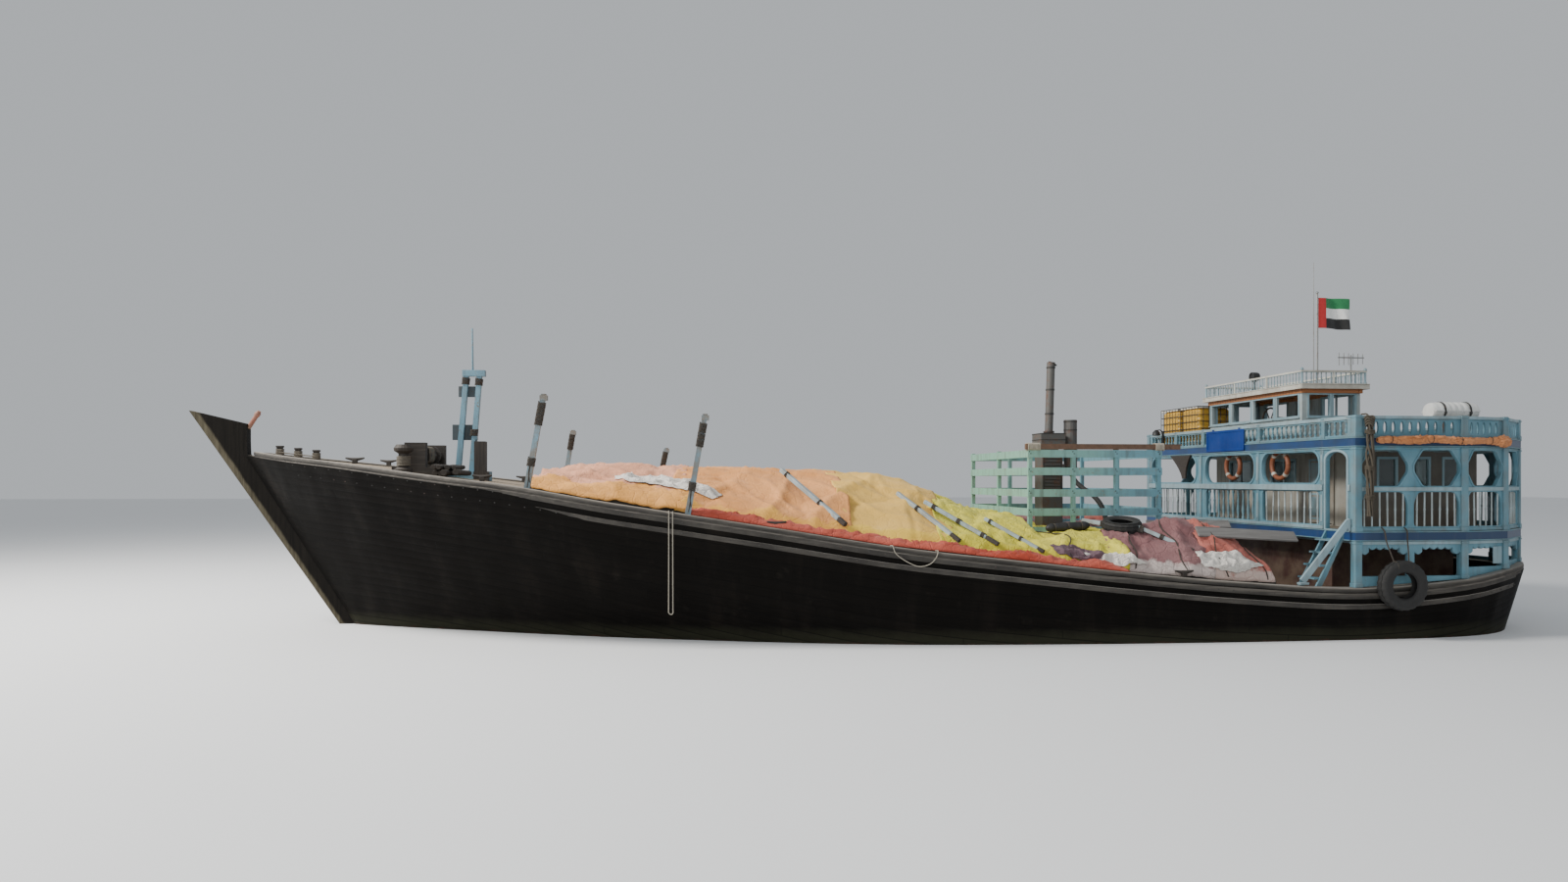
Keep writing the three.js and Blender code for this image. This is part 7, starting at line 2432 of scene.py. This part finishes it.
class DHOW_OT_pen_details(bpy.types.Operator):
    """Bolt heads and the wrapped beam ends of the pen"""

    bl_idname = "dhow.pen_details"
    bl_label = "Pen details"

    def execute(self, context):
        bolts, wraps = Shape(), Shape()
        aft, fore, half = -6.77, -3.73, 2.15
        for side in (1, -1):
            for i in range(4):
                x = aft + (fore - aft) * i / 3
                for z in (2.16, 2.58, 3.01, 3.50, 3.90):
                    head = Shape().turned([(0.013, 0.0), (0.013, 0.008), (0.006, 0.012)],
                                          (x, side * (half + 0.060), z), 8, 0, (0, side, 0))
                    bolts.join(head)
                    bolts.join(head, Matrix.Translation((0.03, 0, 0.045)))
        bolts.piece("pen_bolts", [finish_of("dark_steel")], slot="stack_steel")
        lashing(wraps, (-3.80, 2.15, 4.055), (1, 0, 0.001), 0.062, 11, 0.014, 2)
        lashing(wraps, (-6.77, 2.15, 4.055), (1, 0, 0.001), 0.062, 8, 0.014, 5)
        wraps.piece("pen_wraps", [finish_of("rope")], slot="rope")
        return {"FINISHED"}


class DHOW_OT_gallery_gear(bpy.types.Operator):
    """Sign board, life rings, lamp, stair rail and the rope bundle at the corner post"""

    bl_idname = "dhow.gallery_gear"
    bl_label = "Gallery gear"

    def execute(self, context):
        sign = Shape()
        place = wall_matrix((-9.81, -1.15), (-9.81, 0.55))
        sign.board(rounded(rectangle(0.0, 1.70, 4.06, 4.56), 0.02), [], 0.026, place, 0, 0.004)
        ring_board(sign, place, rounded(rectangle(-0.02, 1.72, 4.04, 4.58), 0.03),
                   rounded(rectangle(0.04, 1.66, 4.10, 4.52), 0.02), 0.018, 0.014, 1)
        for u in (0.25, 1.45):
            sign.box((u - 0.03, 4.50, -0.05), (u + 0.03, 4.62, -0.010), 1, place)
        sign.piece("sign_board", [finish_of("sign"), finish_of("sign")], slot="navy_paint", smooth=30)
        plate = Shape()
        place = wall_matrix(GALLERY_PLAN[1], GALLERY_PLAN[2])
        plate.board(rounded(rectangle(0.86, 1.13, 1.52, 1.885), 0.02), [], 0.016,
                    place @ Matrix.Translation((0, 0, 0.046)), 0, 0.004)
        plate.piece("name_plate", [finish_of("pale_blue")], slot="blue_paint", smooth=30)
        rings, cords = Shape(), Shape()
        for y in (-0.30, 1.68):
            centre = Vector((-10.03, y, 3.66))
            rings.tube(circle(centre, (0, 0.315, 0), (0, 0, 0.315), 36), 0.055, 14)
            for k in range(4):
                a = math.pi / 4 + k * math.pi / 2
                at = centre + Vector((0, 0.315 * math.cos(a), 0.315 * math.sin(a)))
                tangent = Vector((0, -math.sin(a), math.cos(a)))
                rings.turned([(0.060, -0.035), (0.061, 0.035)], tuple(at), 14, 1, tuple(tangent))
            hang = [centre + Vector((0, 0, 0.30)), centre + Vector((0.01, 0, 0.34))]
            cords.tube(hang, 0.008, 6)
        rings.piece("life_rings", [finish_of("ring"), finish_of("white")], slot="awning_orange", smooth=50)
        cords.piece("ring_hangers", [finish_of("dark_rope")], slot="rope")
        lamp = Shape()
        lamp.box((-9.85, -3.62, 4.36), (-9.80, -3.56, 4.72))
        lamp.tube([(-9.82, -3.59, 4.70), (-9.72, -3.59, 4.76), (-9.62, -3.59, 4.74)], 0.016, 8)
        lamp.turned([(0.02, -0.10), (0.09, -0.17), (0.115, -0.16), (0.10, -0.07), (0.03, 0.0)],
                    (-9.62, -3.59, 4.76), 16)
        lamp.piece("deck_lamp", [finish_of("lamp")], slot="stack_steel", smooth=40)
        stair = Shape()
        cap = hull_top(-8.74) + 0.102
        stair.beam((-8.74, 4.44, cap + 0.07), (-9.775, 4.44, 2.44), 0.055, 0.14, 0, (1, 0, 0.5))
        stair.beam((-9.775, 4.44, 2.235), (-9.775, 4.44, 2.50), 0.06, 0.06, 0, (1, 0, 0))
        stair.box((-8.86, 4.38, cap), (-8.66, 4.50, cap + 0.05))
        stair.piece("stair_handrail", [finish_of("pale_blue")], bevel=0.008, slot="blue_paint")
        self.make_bundle()
        self.make_bracket()
        return {"FINISHED"}

    def make_bundle(self):
        """A long hank of rope hung over the rail at the corner post and tied to it."""
        bundle = Shape()
        for strand in range(5):
            turn = strand * 1.257
            path = []
            for k in range(60):
                t = k / 59
                z = 4.60 - 2.05 * t
                fat = 0.030 + 0.022 * math.sin(math.pi * t) ** 2
                a = turn + 5.5 * t + 0.5 * math.sin(9 * t + strand)
                path.append((-10.07 + fat * 1.5 * math.cos(a), 4.682 + fat * math.sin(a), z))
            bundle.tube(path, 0.021, 8, strands=3, lay=0.10)
        for k in range(4):
            centre = Vector((-10.07, 4.672, 4.60 - 0.05 * k))
            wide, deep = 0.10 - 0.01 * k, 0.045 + 0.004 * k
            ring = [centre + Vector((wide * math.cos(a), deep * math.sin(a), 0.03 * math.sin(2 * a)))
                    for a in (2 * math.pi * t / 20 for t in range(21))]
            bundle.tube(ring, 0.022, 8, strands=3, lay=0.10)
        for z in (4.30, 3.55, 2.95):
            lashing(bundle, (-10.07, 4.680, z), (0, 0.001, 1), 0.060, 4, 0.012, z)
        over_rail = ((4.64, 4.62), (4.58, 4.675), (4.50, 4.68), (4.42, 4.675), (4.41, 4.60))
        bundle.tube(soft_path([(-10.07, y, z) for y, z in over_rail], 0.02), 0.018, 8, strands=3, lay=0.10)
        bundle.piece("corner_rope_bundle", [finish_of("hose")], slot="rope", smooth=60)

    def make_bracket(self):
        """A bracket under the upper deck that narrows down to a pillar's waist. Its dark timber finish is
        painted shade: it stands for a blue bracket in shadow.
        """
        neck, low, high = 0.09, 3.34, 3.985
        steps = [k / 12 for k in range(13)]
        outline = [(neck + 0.28 * t**2.2, low + (high - low) * t) for t in steps]
        outline += [(-neck - 0.66 * t**1.5, low + (high - low) * t) for t in reversed(steps)]
        place = wall_matrix((-9.795, -2.33), (-9.795, -1.33))
        s = Shape().board(outline, [], 0.05, place, 0, 0.008)
        # Dark timber finish: painted shade over a blue bracket
        s.piece("gallery_bracket", [finish_of("dark_wood")], slot="oiled_wood", smooth=30)


class DHOW_OT_hull_fastenings(bpy.types.Operator):
    """Bolt heads along the wales"""

    bl_idname = "dhow.hull_fastenings"
    bl_label = "Hull fastenings"

    def execute(self, context):
        bolts = Shape()
        stations = [s for _, s in fair_sections(0.08)]
        for i in range(87):
            x = -14.2 + 0.31 * i
            section = min(stations, key=lambda s: abs(s.x_top - x))
            slope = math.atan2(top_breadth(min(x + 0.3, 13.0)) - top_breadth(x), 0.3)
            axis = (-math.sin(slope), math.cos(slope), 0)
            for drop in (0.065, 0.285):
                z = section.z_top - drop
                at = (section_x(section, z), half_breadth(section, z) + 0.083, z)
                bolts.turned([(0.014, -0.004), (0.014, 0.004), (0.006, 0.008)], at, 7, 0, axis)
        bolts.mirror()
        bolts.piece("wale_bolts", [finish_of("dark_steel")], slot="stack_steel")
        return {"FINISHED"}


CLASSES = [HullSettings, ClothSettings, HouseSettings, StageSettings, DHOW_OT_stage,
           DHOW_OT_solid_finishes, DHOW_OT_free_ropes, DHOW_OT_planking, DHOW_OT_rails, DHOW_OT_covers,
           DHOW_OT_gallery, DHOW_OT_screens, DHOW_OT_upper_rail, DHOW_OT_deck_edges, DHOW_OT_houses,
           DHOW_OT_roof, DHOW_OT_awning, DHOW_OT_flag, DHOW_OT_tanks, DHOW_OT_raft, DHOW_OT_tyre,
           DHOW_OT_post_lashings, DHOW_OT_bow_gear, DHOW_OT_hold_gear, DHOW_OT_stack_details,
           DHOW_OT_pen_details, DHOW_OT_gallery_gear, DHOW_OT_hull_fastenings]


class DHOW_PT_panel(bpy.types.Panel):
    """Lists the boat's pieces in the sidebar"""

    bl_label = "Motor dhow"
    bl_idname = "DHOW_PT_panel"
    bl_space_type = "VIEW_3D"
    bl_region_type = "UI"
    bl_category = "Dhow"

    def draw(self, context):
        for cls in CLASSES:
            if issubclass(cls, bpy.types.Operator):
                self.layout.operator(cls.bl_idname)


SETTINGS = {"dhow_hull": HullSettings, "dhow_cloth": ClothSettings, "dhow_house": HouseSettings,
            "dhow_stage": StageSettings}


def register():
    for cls in [*CLASSES, DHOW_PT_panel]:
        bpy.utils.register_class(cls)
    for name, group in SETTINGS.items():
        setattr(bpy.types.Scene, name, PointerProperty(type=group))


def unregister():
    for name in SETTINGS:
        delattr(bpy.types.Scene, name)
    for cls in [DHOW_PT_panel, *reversed(CLASSES)]:
        bpy.utils.unregister_class(cls)


def main():
    register()
    for cls in CLASSES:
        if issubclass(cls, bpy.types.Operator):
            group, call = cls.bl_idname.split(".")
            getattr(getattr(bpy.ops, group), call)()


if __name__ == "__main__":
    main()
